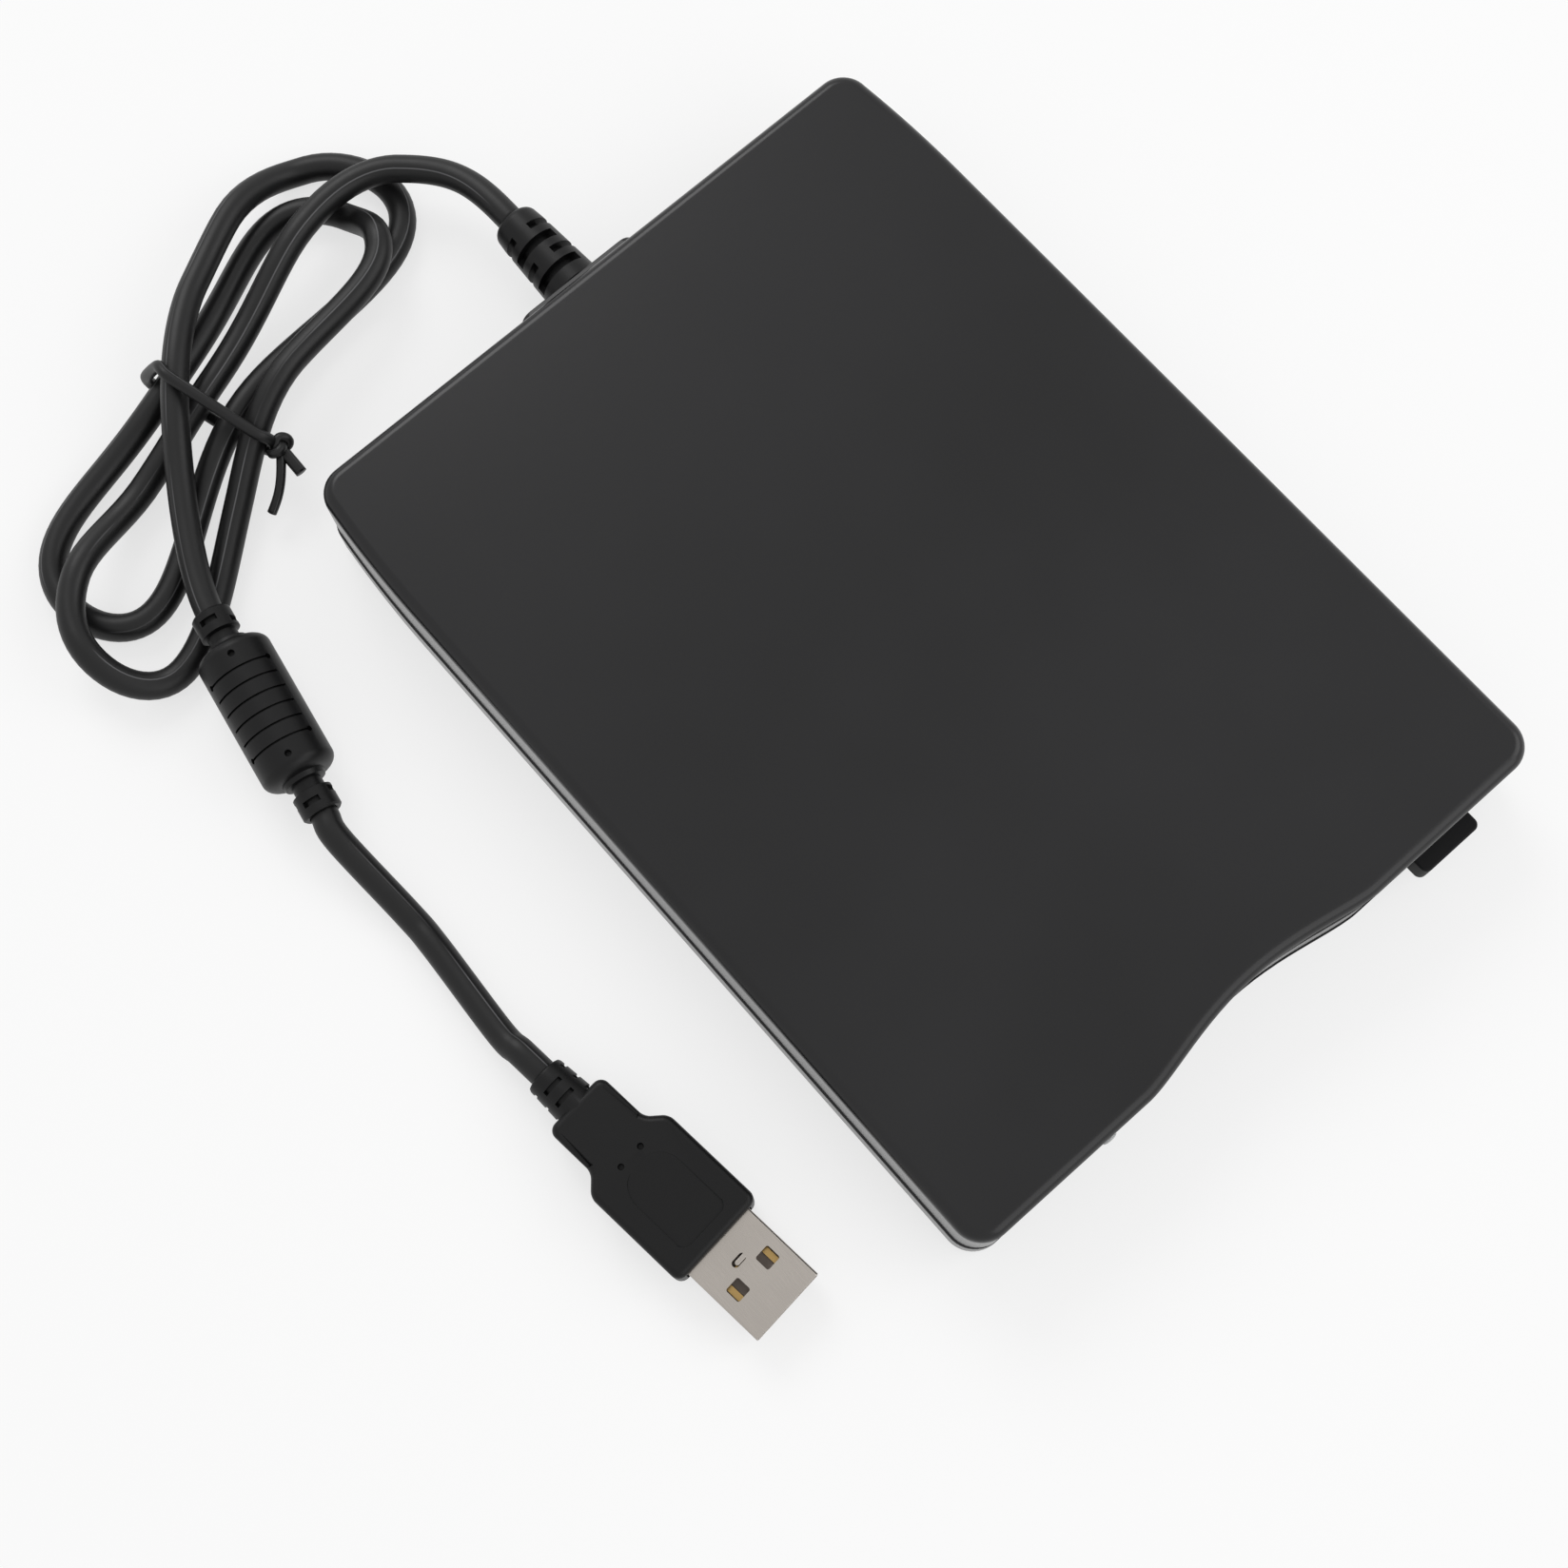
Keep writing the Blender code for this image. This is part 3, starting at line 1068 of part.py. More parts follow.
def build_spindle():
    base = CHASSIS_FLOOR_TOP + CLEAR
    centre = (0, SPINDLE_Y, 0)
    profile = [(STATOR_RADIUS, base), (STATOR_RADIUS, base + STATOR_THICKNESS)]
    stator = turned("spindle_stator", profile, centre, (0, 0, 1), green_board())
    bore = ((0, SPINDLE_Y, 0), (0, SPINDLE_Y, CASE_TOP))
    cut(stator, rod("stator_bore", *bore, STATOR_BORE, steel()))
    low = base + STATOR_THICKNESS + CLEAR
    profile = [
        (SHAFT_RADIUS, base),
        (SHAFT_RADIUS, low),
        (ROTOR_RADIUS, low),
        (ROTOR_RADIUS, low + ROTOR_THICKNESS),
        (HUB_RADIUS, low + ROTOR_THICKNESS),
        (HUB_RADIUS, HUB_TOP),
    ]
    rotor = turned("spindle_rotor", profile, centre, (0, 0, 1), steel(), origin=(0, SPINDLE_Y, low))
    start = (DRIVE_PIN_REACH, SPINDLE_Y, low)
    end = (DRIVE_PIN_REACH, SPINDLE_Y, HUB_TOP + DRIVE_PIN_RISE)
    join(rotor, rod("drive_pin", start, end, DRIVE_PIN_RADIUS, steel()))


def build_carriage():
    finish = white_plastic()
    low = (CARRIAGE_LEFT_X, CARRIAGE_FRONT_Y, CARRIAGE_Z)
    carriage = block("head_carriage", low, (CARRIAGE_RIGHT_X, CARRIAGE_REAR_Y, CARRIAGE_TOP), finish)
    half = TOWER_HALF_WIDTH
    low = (-half, CARRIAGE_REAR_Y - CLEAR - TOWER_DEPTH, CARRIAGE_Z + OVERRUN)
    join(carriage, block("carriage_tower", low, (half, CARRIAGE_REAR_Y - CLEAR, TOWER_TOP), finish))
    nut_front = CARRIAGE_REAR_Y - 2 * CLEAR - NUT_DEPTH
    low = (NUT_LEFT_X, nut_front, NUT_BOTTOM)
    join(carriage, block("carriage_nut", low, (-half / 2, nut_front + NUT_DEPTH, NUT_TOP), finish))
    ends = ((LEAD_SCREW_X, 0, LEAD_SCREW_Z), (LEAD_SCREW_X, CASE_DEPTH / 2, LEAD_SCREW_Z))
    cut(carriage, rod("nut_bore", *ends, LEAD_SCREW_RADIUS + CLEAR, finish))
    ends = ((ROD_X, -OVERRUN, ROD_Z), (ROD_X, CASE_DEPTH / 2, ROD_Z))
    cut(carriage, rod("rod_bore", *ends, ROD_RADIUS + CLEAR, finish))
    rod("guide_rod", (ROD_X, ROD_FRONT_Y, ROD_Z), (ROD_X, ROD_REAR_Y, ROD_Z), ROD_RADIUS, steel())
    half = HEAD_SIZE / 2
    low = (-half, HEAD_Y - half, CARRIAGE_TOP + CLEAR)
    block("lower_head", low, (half, HEAD_Y + half, CARRIAGE_TOP + CLEAR + LOWER_HEAD_THICKNESS), chip_black())
    arm_z = TOWER_TOP + CLEAR
    low = (-half, HEAD_Y - half, arm_z - CLEAR - UPPER_HEAD_THICKNESS)
    block("upper_head", low, (half, HEAD_Y + half, arm_z - CLEAR), chip_black())
    low = (-ARM_HALF_WIDTH, HEAD_Y - half, arm_z)
    high = (ARM_HALF_WIDTH, CARRIAGE_REAR_Y - CLEAR, arm_z + ARM_THICKNESS)
    block("upper_head_arm", low, high, finish, (0, CARRIAGE_REAR_Y - CLEAR, arm_z))


def build_lead_screw():
    root = LEAD_SCREW_RADIUS - THREAD_DEPTH
    end = MOTOR_FRONT_Y - MOTOR_COLLAR - CLEAR
    length = end - LEAD_SCREW_FRONT_Y
    profile = [(root, 0)]
    for i in range(THREAD_RINGS):
        start = length * (i + 0.25) / THREAD_RINGS
        close = start + length / THREAD_RINGS / 2
        profile += [(root, start), (LEAD_SCREW_RADIUS, start), (LEAD_SCREW_RADIUS, close), (root, close)]
    profile.append((root, length))
    centre = (LEAD_SCREW_X, LEAD_SCREW_FRONT_Y, LEAD_SCREW_Z)
    turned("lead_screw", profile, centre, (0, 1, 0), steel(), 10, centre)
    profile = [
        (MOTOR_COLLAR_RADIUS, -MOTOR_COLLAR),
        (MOTOR_COLLAR_RADIUS, 0),
        (MOTOR_RADIUS, 0),
        (MOTOR_RADIUS, MOTOR_LENGTH),
    ]
    turned("stepper_motor", profile, (LEAD_SCREW_X, MOTOR_FRONT_Y, LEAD_SCREW_Z), (0, 1, 0), steel())


def standing(name, x, y, length, width, height, finish, z=PART_Z):
    low = (x - length / 2, y - width / 2, z)
    return block(name, low, (x + length / 2, y + width / 2, z + height), finish)


def build_boards():
    left, right = MAIN_BOARD_X
    low = (left, MAIN_BOARD_FRONT_Y, BOARD_Z)
    block("main_board", low, (right, MAIN_BOARD_REAR_Y, BOARD_Z + BOARD_THICKNESS), green_board())
    width = 2 * REAR_BOARD_HALF_WIDTH
    rear = REAR_BOARD_Y
    standing("bridge_board", 0, rear, width, REAR_BOARD_DEPTH, BOARD_THICKNESS, green_board(), BOARD_Z)
    x = right - CHIP_THICKNESS - CONTROLLER_SIZE / 2
    y = MAIN_BOARD_FRONT_Y + CHIP_THICKNESS + CONTROLLER_SIZE / 2
    standing("controller_chip", x, y, CONTROLLER_SIZE, CONTROLLER_SIZE, CHIP_THICKNESS, chip_black())
    y += CONTROLLER_SIZE / 2 + CLEAR + DRIVER_WIDTH / 2
    x = right - CHIP_THICKNESS - DRIVER_LENGTH / 2
    standing("driver_chip", x, y, DRIVER_LENGTH, DRIVER_WIDTH, CHIP_THICKNESS, chip_black())
    x = LEAD_X + CONNECTOR_WIDTH / 2 + BRIDGE_TO_CONNECTOR + BRIDGE_SIZE / 2
    standing("bridge_chip", x, rear, BRIDGE_SIZE, BRIDGE_SIZE, CHIP_THICKNESS, chip_black())
    x = LEAD_X - CONNECTOR_WIDTH / 2 - CRYSTAL_TO_CONNECTOR - CRYSTAL_LENGTH / 2
    crystal = standing("crystal", x, rear, CRYSTAL_LENGTH, CRYSTAL_WIDTH, CRYSTAL_WIDTH, sheet_steel())
    round_edges(crystal, CRYSTAL_WIDTH / 3, 1)
    size = (CONNECTOR_WIDTH, CONNECTOR_DEPTH, CONNECTOR_HEIGHT)
    standing("cable_connector", LEAD_X, rear, *size, white_plastic())
    low = (left + FLEX_INSET, MAIN_BOARD_REAR_Y - RIBBON_WIDTH, PART_Z)
    high = (left + FLEX_INSET + RIBBON_WIDTH, rear, PART_Z + RIBBON_THICKNESS)
    block("ribbon_cable", low, high, amber_film())
    for name, x in (("write_protect_switch", -SWITCH_X), ("density_switch", SWITCH_X)):
        switch = standing(name, x, SWITCH_Y, SWITCH_SIZE, SWITCH_SIZE, SWITCH_BODY, chip_black(), BOARD_Z)
        start = (x, SWITCH_Y, BOARD_Z + SWITCH_BODY / 2)
        end = (x, SWITCH_Y, BOARD_Z + SWITCH_BODY + SWITCH_BUTTON_RISE)
        join(switch, rod(name + "_button", start, end, SWITCH_BUTTON_RADIUS, chip_black()))
    size = (SENSOR_WIDTH, SENSOR_WIDTH, SENSOR_HEIGHT)
    standing("track_zero_sensor", SENSOR_X, SENSOR_Y, *size, chip_black(), BOARD_Z)
    standing("status_led", LENS_X, LED_Y, LED_SIZE, LED_SIZE, LED_SIZE, clear_plastic(), BOARD_Z)
    start = (LENS_X, FRONT_Y - LENS_PROUD, LENS_Z)
    end = (LENS_X, LED_Y - LED_SIZE / 2 - CLEAR, LENS_Z)
    rod("led_lens", start, end, LENS_RADIUS, clear_plastic())


def build_head_flex():
    """A thin film from the main board up and over to the side of the carriage."""
    start_x = MAIN_BOARD_X[0] + FLEX_RISE
    end_x = CARRIAGE_RIGHT_X - FLEX_RISE / 2
    start_z = PART_Z
    end_z = CARRIAGE_TOP + CLEAR
    outer = []
    inner = []
    for i in range(FLEX_STEPS + 1):
        share = i / FLEX_STEPS
        x = start_x + (end_x - start_x) * share
        z = start_z + (end_z - start_z) * share + FLEX_RISE * math.sin(math.pi * share)
        outer.append((x, z + FLEX_THICKNESS))
        inner.append((x, z))
    profile = outer + inner[::-1]
    rings = [[(x, y, z) for x, z in profile] for y in (FLEX_Y, FLEX_Y + FLEX_WIDTH)]
    loft("head_flex", rings, amber_film())


def build_rear_bushing():
    finish = black_plastic()
    near = REAR_Y + CLEAR / 2
    far = REAR_Y + BUSHING_PROUD
    rings = []
    for y, draw in ((near, 0), (far, BUSHING_TAPER)):
        half = BUSHING_HALF_WIDTH - draw
        low = LEAD_Z - BUSHING_BELOW_LEAD + draw / 2
        high = LEAD_Z + BUSHING_ABOVE_LEAD - draw / 2
        corners = ((-half, low), (half, low), (half, high), (-half, high))
        rings.append([(LEAD_X + x, y, z) for x, z in corners])
    bushing = loft("rear_bushing", rings, finish)
    half = BUSHING_NECK_HALF_WIDTH
    low = (LEAD_X - half, near - BUSHING_NECK_DEPTH, LEAD_Z - BUSHING_NECK_HALF_HEIGHT)
    high = (LEAD_X + half, near + BUSHING_PROUD / 2, LEAD_Z + BUSHING_NECK_HALF_HEIGHT)
    join(bushing, block("bushing_neck", low, high, finish))
    ends = ((LEAD_X, near - BUSHING_NECK_DEPTH - OVERRUN, LEAD_Z), (LEAD_X, far + OVERRUN, LEAD_Z))
    cut(bushing, rod("bushing_bore", *ends, RELIEF_ROOT_RADIUS + CLEAR, finish))


def collared(base, end, length, collars, groove):
    """Profile of a relief that tapers, with collars and a groove after each."""
    profile = []
    pitch = length / collars
    for i in range(collars):
        start = pitch * i
        radius = base + (end - base) * i / max(collars - 1, 1)
        profile += [(radius, start), (radius, start + pitch * COLLAR_SHARE)]
        profile += [(radius - groove, start + pitch * COLLAR_SHARE), (radius - groove, start + pitch)]
    profile += [(end, length), (end, length + pitch * COLLAR_SHARE / 2)]
    return profile


def build_strain_relief():
    neck = REAR_Y + CLEAR / 2 - BUSHING_NECK_DEPTH
    outside = REAR_Y + BUSHING_PROUD + CLEAR
    flange_start = neck - CLEAR - RELIEF_FLANGE
    profile = [
        (RELIEF_FLANGE_RADIUS, flange_start - outside),
        (RELIEF_FLANGE_RADIUS, neck - CLEAR - outside),
        (RELIEF_ROOT_RADIUS, neck - CLEAR - outside),
        (RELIEF_ROOT_RADIUS, 0),
    ]
    pitch = RELIEF_LENGTH / (RELIEF_COLLARS + COLLAR_SHARE / 2)
    length = pitch * RELIEF_COLLARS
    profile += collared(RELIEF_BASE_RADIUS, RELIEF_END_RADIUS, length, RELIEF_COLLARS, RELIEF_GROOVE)
    centre = (LEAD_X, outside, LEAD_Z)
    turned("strain_relief", profile, centre, (0, 1, 0), soft_black(), 16, centre)
    return outside + RELIEF_LENGTH


def bundle_place(along, across, z):
    turn = Matrix.Rotation(BUNDLE_TURN, 3, "Z")
    return Vector((BUNDLE_X, BUNDLE_Y, 0)) + turn @ Vector((along, across, z))


def bundle_height(half_turns, along):
    climb = 0.0
    for start, full, full_end, end in CLIMBS:
        up = ease((half_turns - start) / (full - start))
        down = ease((end - half_turns) / (end - full_end))
        climb = max(climb, STACK * min(up, down))
    return CORD_REST + climb + WAIST_LIFT * math.exp(-((along / WAIST_LIFT_REACH) ** 2))


def bundle_point(half_turns):
    """Where the cord is after so many half turns, along and across the bundle."""
    fold = min(int(half_turns), len(WAIST_MIDDLE) - 1)
    share = half_turns - fold
    blend = ease(share)
    waist = math.sin(math.pi * share) ** 2

    def between(values):
        return values[fold] + (values[fold + 1] - values[fold]) * blend

    middle = between(FOLD_MIDDLE)
    middle += (WAIST_MIDDLE[fold] - (FOLD_MIDDLE[fold] + FOLD_MIDDLE[fold + 1]) / 2) * waist
    angle = math.pi * half_turns
    along = between(FOLD_REACH) * math.cos(angle)
    across = middle + between(FOLD_HALF_WIDTH) * math.sin(angle) * (1 + PINCH_SHARE * math.cos(2 * angle))
    return along, across


def bundle_route():
    steps = round((LAST_HALF_TURN - FIRST_HALF_TURN) * POINTS_PER_LOOP / 2)
    flat = []
    for i in range(steps + 1):
        half_turns = FIRST_HALF_TURN + (LAST_HALF_TURN - FIRST_HALF_TURN) * i / steps
        along, across = bundle_point(half_turns)
        flat.append((along, across, bundle_height(half_turns, along)))
    route = [bundle_place(*point) for point in flat]
    heading = (route[-1] - route[-2]).normalized()
    start = route[-1]
    end = Vector(FERRITE_START) - Vector(FERRITE_HEADING).normalized() * CLEAR
    pull = Vector(FERRITE_HEADING).normalized() * RUN_OUT_PULL
    first = start + heading * RUN_OUT_PULL
    for i, place in enumerate(bent(start, first, end - pull, end, RUN_OUT_POINTS), 1):
        t = i / RUN_OUT_POINTS
        away = place - Vector((BUNDLE_X, BUNDLE_Y, 0))
        along = away.x * math.cos(BUNDLE_TURN) + away.y * math.sin(BUNDLE_TURN)
        lift = CORD_REST + STACK + WAIST_LIFT * math.exp(-((along / WAIST_LIFT_REACH) ** 2))
        place.z = lift + (end.z - lift) * ease(t * t)
        route.append(place)
    return route


def least_gap(route):
    """The smallest gap that the bundled cord leaves to itself."""
    fine = []
    for a, b in zip(route, route[1:]):
        fine += [a.lerp(b, i / 8) for i in range(8)]
    spans = [0.0]
    for a, b in zip(fine, fine[1:]):
        spans.append(spans[-1] + (b - a).length)
    gaps = [
        (fine[i] - fine[j]).length - CORD_DIAMETER
        for i in range(len(fine))
        for j in range(i + 1, len(fine))
        if spans[j] - spans[i] > 4 * CORD_DIAMETER
    ]
    return min(gaps)


def build_lead(relief_end):
    route = bundle_route()
    print("least gap of the bundled cord to itself, mm:", round(least_gap(route) * 1000, 2))
    tube("cable_hank", route, CORD_RADIUS, soft_black(), 1)
    start = Vector((LEAD_X, relief_end + CLEAR, LEAD_Z))
    heading = (route[1] - route[0]).normalized()
    end = route[0] - heading * CLEAR
    pull = (end - start).length * LEAD_PULL_SHARE
    points = bent(start, start + Vector((0, pull, 0)), end - heading * pull, end, LEAD_POINTS)
    tube("cable_lead", [start, *points], CORD_RADIUS, soft_black())
    return route


def build_ferrite():
    heading = Vector(FERRITE_HEADING).normalized()
    relief = FERRITE_RELIEF_LENGTH
    thin = FERRITE_RELIEF_RADIUS
    deep = thin - FERRITE_RELIEF_GROOVE
    profile = []
    for i in range(2):
        start = relief * i / 2
        quarter = start + relief / 4
        profile += [(thin, start), (thin, quarter), (deep, quarter), (deep, start + relief / 2)]
    start = relief
    end = relief + FERRITE_LENGTH
    edge = FERRITE_END_ROUND
    profile += [(FERRITE_RADIUS - edge, start), (FERRITE_RADIUS, start + edge)]
    run = FERRITE_LENGTH - 4 * edge
    pitch = run / FERRITE_GROOVES
    sunk = FERRITE_RADIUS - FERRITE_GROOVE_DEPTH
    for i in range(FERRITE_GROOVES):
        groove = start + 2 * edge + pitch * (i + (1 - FERRITE_GROOVE_SHARE) / 2)
        close = groove + pitch * FERRITE_GROOVE_SHARE
        profile += [(FERRITE_RADIUS, groove), (sunk, groove), (sunk, close), (FERRITE_RADIUS, close)]
    profile += [(FERRITE_RADIUS, end - edge), (FERRITE_RADIUS - edge, end)]
    for i in range(2):
        start = end + relief * i / 2
        quarter = start + relief / 4
        profile += [(deep, start), (deep, quarter), (thin, quarter), (thin, start + relief / 2)]
    start = Vector(FERRITE_START)
    turned("ferrite_core", profile, start, heading, soft_black(), 16, start)
    return start + heading * (end + relief)


def build_tail(start):
    heading = Vector(FERRITE_HEADING).normalized()
    start = start + heading * CLEAR
    plug = Vector(PLUG_START)
    inward = Vector(PLUG_HEADING).normalized()
    end = plug - inward * CLEAR
    middle = (start + end) / 2
    middle.z = CORD_REST + CLEAR / 2
    points = [
        start,
        start + heading * CORD_DIAMETER,
        Vector((middle.x, start.y + (middle.y - start.y) * TAIL_LANDING_SHARE, middle.z)),
        middle,
        end - inward * 2 * CORD_DIAMETER - Vector((0, 0, (end.z - middle.z) * TAIL_RISE_SHARE)),
        end - inward * CORD_DIAMETER,
        end,
    ]
    tube("cable_tail", smooth_route(points, TAIL_POINTS), CORD_RADIUS, soft_black())


def tie_line(route):
    """The line of a tie drawn tight round the strands where they cross the middle of the bundle."""
    turn = Matrix.Rotation(-BUNDLE_TURN, 3, "Z")
    strands = []
    for a, b in zip(route, route[1:]):
        a, b = (turn @ (point - Vector((BUNDLE_X, BUNDLE_Y, 0))) for point in (a, b))
        if a.x * b.x < 0:
            strands.append(a.lerp(b, a.x / (a.x - b.x)))
    reach = CORD_RADIUS + TIE_SLACK + TIE_RADIUS
    line = []
    for i in range(TIE_STEPS):
        angle = 2 * math.pi * i / TIE_STEPS
        way = Vector((0, math.cos(angle), math.sin(angle)))
        outer = max(strands, key=way.dot)
        line.append((outer.y + way.y * reach, outer.z + way.z * reach))
    return line


def build_tie(route):
    """A round tie under, round and over the bundle, with a knot at one side and two tails."""
    line = tie_line(route)
    bm = bmesh.new()
    rows = []
    for i in range(len(line)):
        before, here, after = line[i - 1], line[i], line[(i + 1) % len(line)]
        way = Vector((after[0] - before[0], after[1] - before[1])).normalized()
        row = []
        for side in range(TIE_SIDES):
            angle = 2 * math.pi * side / TIE_SIDES
            out = TIE_RADIUS * math.cos(angle)
            along = TIE_RADIUS * math.sin(angle)
            place = bundle_place(along, here[0] + way.y * out, here[1] - way.x * out)
            row.append(bm.verts.new(place))
        rows.append(row)
    for i, row in enumerate(rows):
        after = rows[(i + 1) % len(rows)]
        for side in range(TIE_SIDES):
            far = (side + 1) % TIE_SIDES
            bm.faces.new((row[side], row[far], after[far], after[side]))
    tie = object_of("cable_tie", bm, soft_black())
    edge = min(line)
    knot = bundle_place(0, edge[0] + TIE_RADIUS - KNOT_RADIUS, edge[1])
    profile = []
    for i in range(KNOT_STEPS + 1):
        angle = math.pi * (i / KNOT_STEPS - 0.5)
        profile.append((max(KNOT_RADIUS * math.cos(angle), KNOT_RADIUS / 6), KNOT_RADIUS * math.sin(angle)))
    join(tie, turned("tie_knot", profile, knot, (1, 0, 0), soft_black(), SMALL_CIRCLE))
    turn = Matrix.Rotation(BUNDLE_TURN, 3, "Z")
    for i, tail in enumerate(TIE_TAILS):
        end = knot + turn @ Vector(tail)
        join(tie, rod(f"tie_tail_{i}", knot, end, TIE_RADIUS * (1 - i / 4), soft_black(), TIE_SIDES))


def plug_ring(along, half_width, half_thickness, share=0.35):
    """A rectangle with its corners cut, square to the plug."""
    way = Vector(PLUG_HEADING).normalized()
    side = Vector((-way.y, way.x, 0))
    up = Vector((0, 0, 1))
    corner = half_thickness * share
    outline = (
        (-half_width + corner, -half_thickness),
        (half_width - corner, -half_thickness),
        (half_width, -half_thickness + corner),
        (half_width, half_thickness - corner),
        (half_width - corner, half_thickness),
        (-half_width + corner, half_thickness),
        (-half_width, half_thickness - corner),
        (-half_width, -half_thickness + corner),
    )
    centre = Vector(PLUG_START) + way * along
    return [centre + side * x + up * z for x, z in outline]


def plug_block(name, start, end, half_width, bottom, top, finish, x=0.0):
    """A block in the plug's own directions, with bottom and top measured from its middle."""
    way = Vector(PLUG_HEADING).normalized()
    side = Vector((-way.y, way.x, 0))
    rings = []
    for along in (start, end):
        centre = Vector(PLUG_START) + way * along + side * x
        rings.append(
            [
                centre + side * (sign * half_width) + Vector((0, 0, z))
                for sign, z in ((-1, bottom), (1, bottom), (1, top), (-1, top))
            ]
        )
    return loft(name, rings, finish)


def build_plug():
    finish = soft_black()
    relief = PLUG_RELIEF_LENGTH
    neck = relief + PLUG_NECK_LENGTH
    face = neck + PLUG_BODY_LENGTH
    thin = PLUG_HALF_THICKNESS * 0.8
    groove = PLUG_RELIEF_RADIUS * 0.85
    rings = []
    for i in range(3):
        start = relief * i / 3
        rings += [
            plug_ring(start, PLUG_RELIEF_RADIUS, PLUG_RELIEF_RADIUS, 0.6),
            plug_ring(start + relief / 6, PLUG_RELIEF_RADIUS, PLUG_RELIEF_RADIUS, 0.6),
            plug_ring(start + relief / 6, groove, groove, 0.6),
            plug_ring(start + relief / 3, groove, groove, 0.6),
        ]
    rings += [
        plug_ring(relief, PLUG_NECK_HALF_WIDTH, thin),
        plug_ring(neck, PLUG_NECK_HALF_WIDTH, thin),
        plug_ring(neck + PLUG_SHOULDER, PLUG_HALF_WIDTH, PLUG_HALF_THICKNESS),
        plug_ring(face - PLUG_SHOULDER / 2, PLUG_HALF_WIDTH, PLUG_HALF_THICKNESS),
        plug_ring(face, PLUG_HALF_WIDTH - PLUG_SHOULDER / 4, PLUG_HALF_THICKNESS - PLUG_SHOULDER / 4),
    ]
    body = loft("plug_overmould", rings, finish)
    half = SHELL_WIDTH / 2
    height = SHELL_HEIGHT / 2
    tip = face + SHELL_LENGTH
    socket = (face - SHELL_TAIL - CLEAR, face + OVERRUN, half + CLEAR, -height - CLEAR, height + CLEAR)
    cut(body, plug_block("plug_socket", *socket, finish))
    back = face - SHELL_TAIL
    shell = plug_block("plug_shell", back, tip, half, -height, height, nickel())
    inner = half - SHELL_SHEET
    inside = (back - OVERRUN, tip + OVERRUN, inner, SHELL_SHEET - height, height - SHELL_SHEET)
    cut(shell, plug_block("shell_inside", *inside, nickel()))
    for i, x in enumerate((-SHELL_WINDOW_X, SHELL_WINDOW_X)):
        start = tip - SHELL_WINDOW_BACK
        window = (start, start + SHELL_WINDOW, SHELL_WINDOW / 2, -SHELL_HEIGHT, SHELL_HEIGHT)
        cut(shell, plug_block(f"shell_window_{i}", *window, nickel(), x))
    low = SHELL_SHEET - height + INSULATOR_GAP
    top = low + INSULATOR_THICKNESS
    edge = inner - INSULATOR_GAP
    plug_block("plug_insulator", back, tip - CLEAR, edge, low, top, white_plastic())
    for i, x in enumerate(CONTACT_X):
        end = tip - CLEAR * 3
        bottom = top + INSULATOR_GAP
        size = (end - CONTACT_LENGTH, end, CONTACT_WIDTH / 2, bottom, bottom + CONTACT_THICKNESS)
        plug_block(f"plug_contact_{i + 1}", *size, brass(), x)


def main():
    clear_scene()
    build_top_cover()
    build_bottom_case()
    build_feet_and_screws()
    build_front_bezel()
    build_slot_door()
    build_chassis()
    build_disk_holder()
    build_eject_parts()
    build_spindle()
    build_carriage()
    build_lead_screw()
    build_boards()
    build_head_flex()
    build_rear_bushing()
    relief_end = build_strain_relief()
    build_tie(build_lead(relief_end))
    build_tail(build_ferrite())
    build_plug()


main()
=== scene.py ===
"""The looks of a slim external floppy disk drive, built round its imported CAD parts.

Run as a script, it loads the frame, makes every piece, dresses the parts that stay and sets the stage. It is
laid out as an add-on: the panel lists the sizes, the colours and the steps.
"""

import json
import math

import bmesh
import bpy
from mathutils import Matrix, Vector

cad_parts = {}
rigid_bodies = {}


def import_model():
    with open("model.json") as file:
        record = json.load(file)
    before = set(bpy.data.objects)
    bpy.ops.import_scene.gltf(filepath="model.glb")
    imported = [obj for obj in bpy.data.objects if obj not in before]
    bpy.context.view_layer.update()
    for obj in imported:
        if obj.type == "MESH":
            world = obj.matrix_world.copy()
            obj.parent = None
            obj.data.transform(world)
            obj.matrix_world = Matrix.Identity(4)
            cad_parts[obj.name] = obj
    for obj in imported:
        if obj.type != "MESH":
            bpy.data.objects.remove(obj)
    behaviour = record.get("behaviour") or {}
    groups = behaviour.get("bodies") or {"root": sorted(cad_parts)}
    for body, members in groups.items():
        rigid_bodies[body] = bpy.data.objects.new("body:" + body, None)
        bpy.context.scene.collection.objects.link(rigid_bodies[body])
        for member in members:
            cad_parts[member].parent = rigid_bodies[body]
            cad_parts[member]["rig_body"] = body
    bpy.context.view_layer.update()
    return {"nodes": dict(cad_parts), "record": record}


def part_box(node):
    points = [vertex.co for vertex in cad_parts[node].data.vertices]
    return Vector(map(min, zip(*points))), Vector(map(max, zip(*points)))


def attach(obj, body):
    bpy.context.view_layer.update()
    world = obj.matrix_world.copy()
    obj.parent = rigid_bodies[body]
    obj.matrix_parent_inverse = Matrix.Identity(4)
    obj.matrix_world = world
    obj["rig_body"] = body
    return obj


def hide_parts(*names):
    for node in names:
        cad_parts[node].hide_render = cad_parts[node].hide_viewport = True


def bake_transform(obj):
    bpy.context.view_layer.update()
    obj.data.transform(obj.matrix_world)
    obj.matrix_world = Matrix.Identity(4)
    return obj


bl_info = {
    "name": "Floppy Drive Looks",
    "version": (1, 0, 0),
    "blender": (4, 5, 0),
    "location": "3D View > Sidebar > Drive",
    "description": "Models and finishes the casing, the lead and the plug of an external floppy disk drive",
    "category": "Object",
}

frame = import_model()

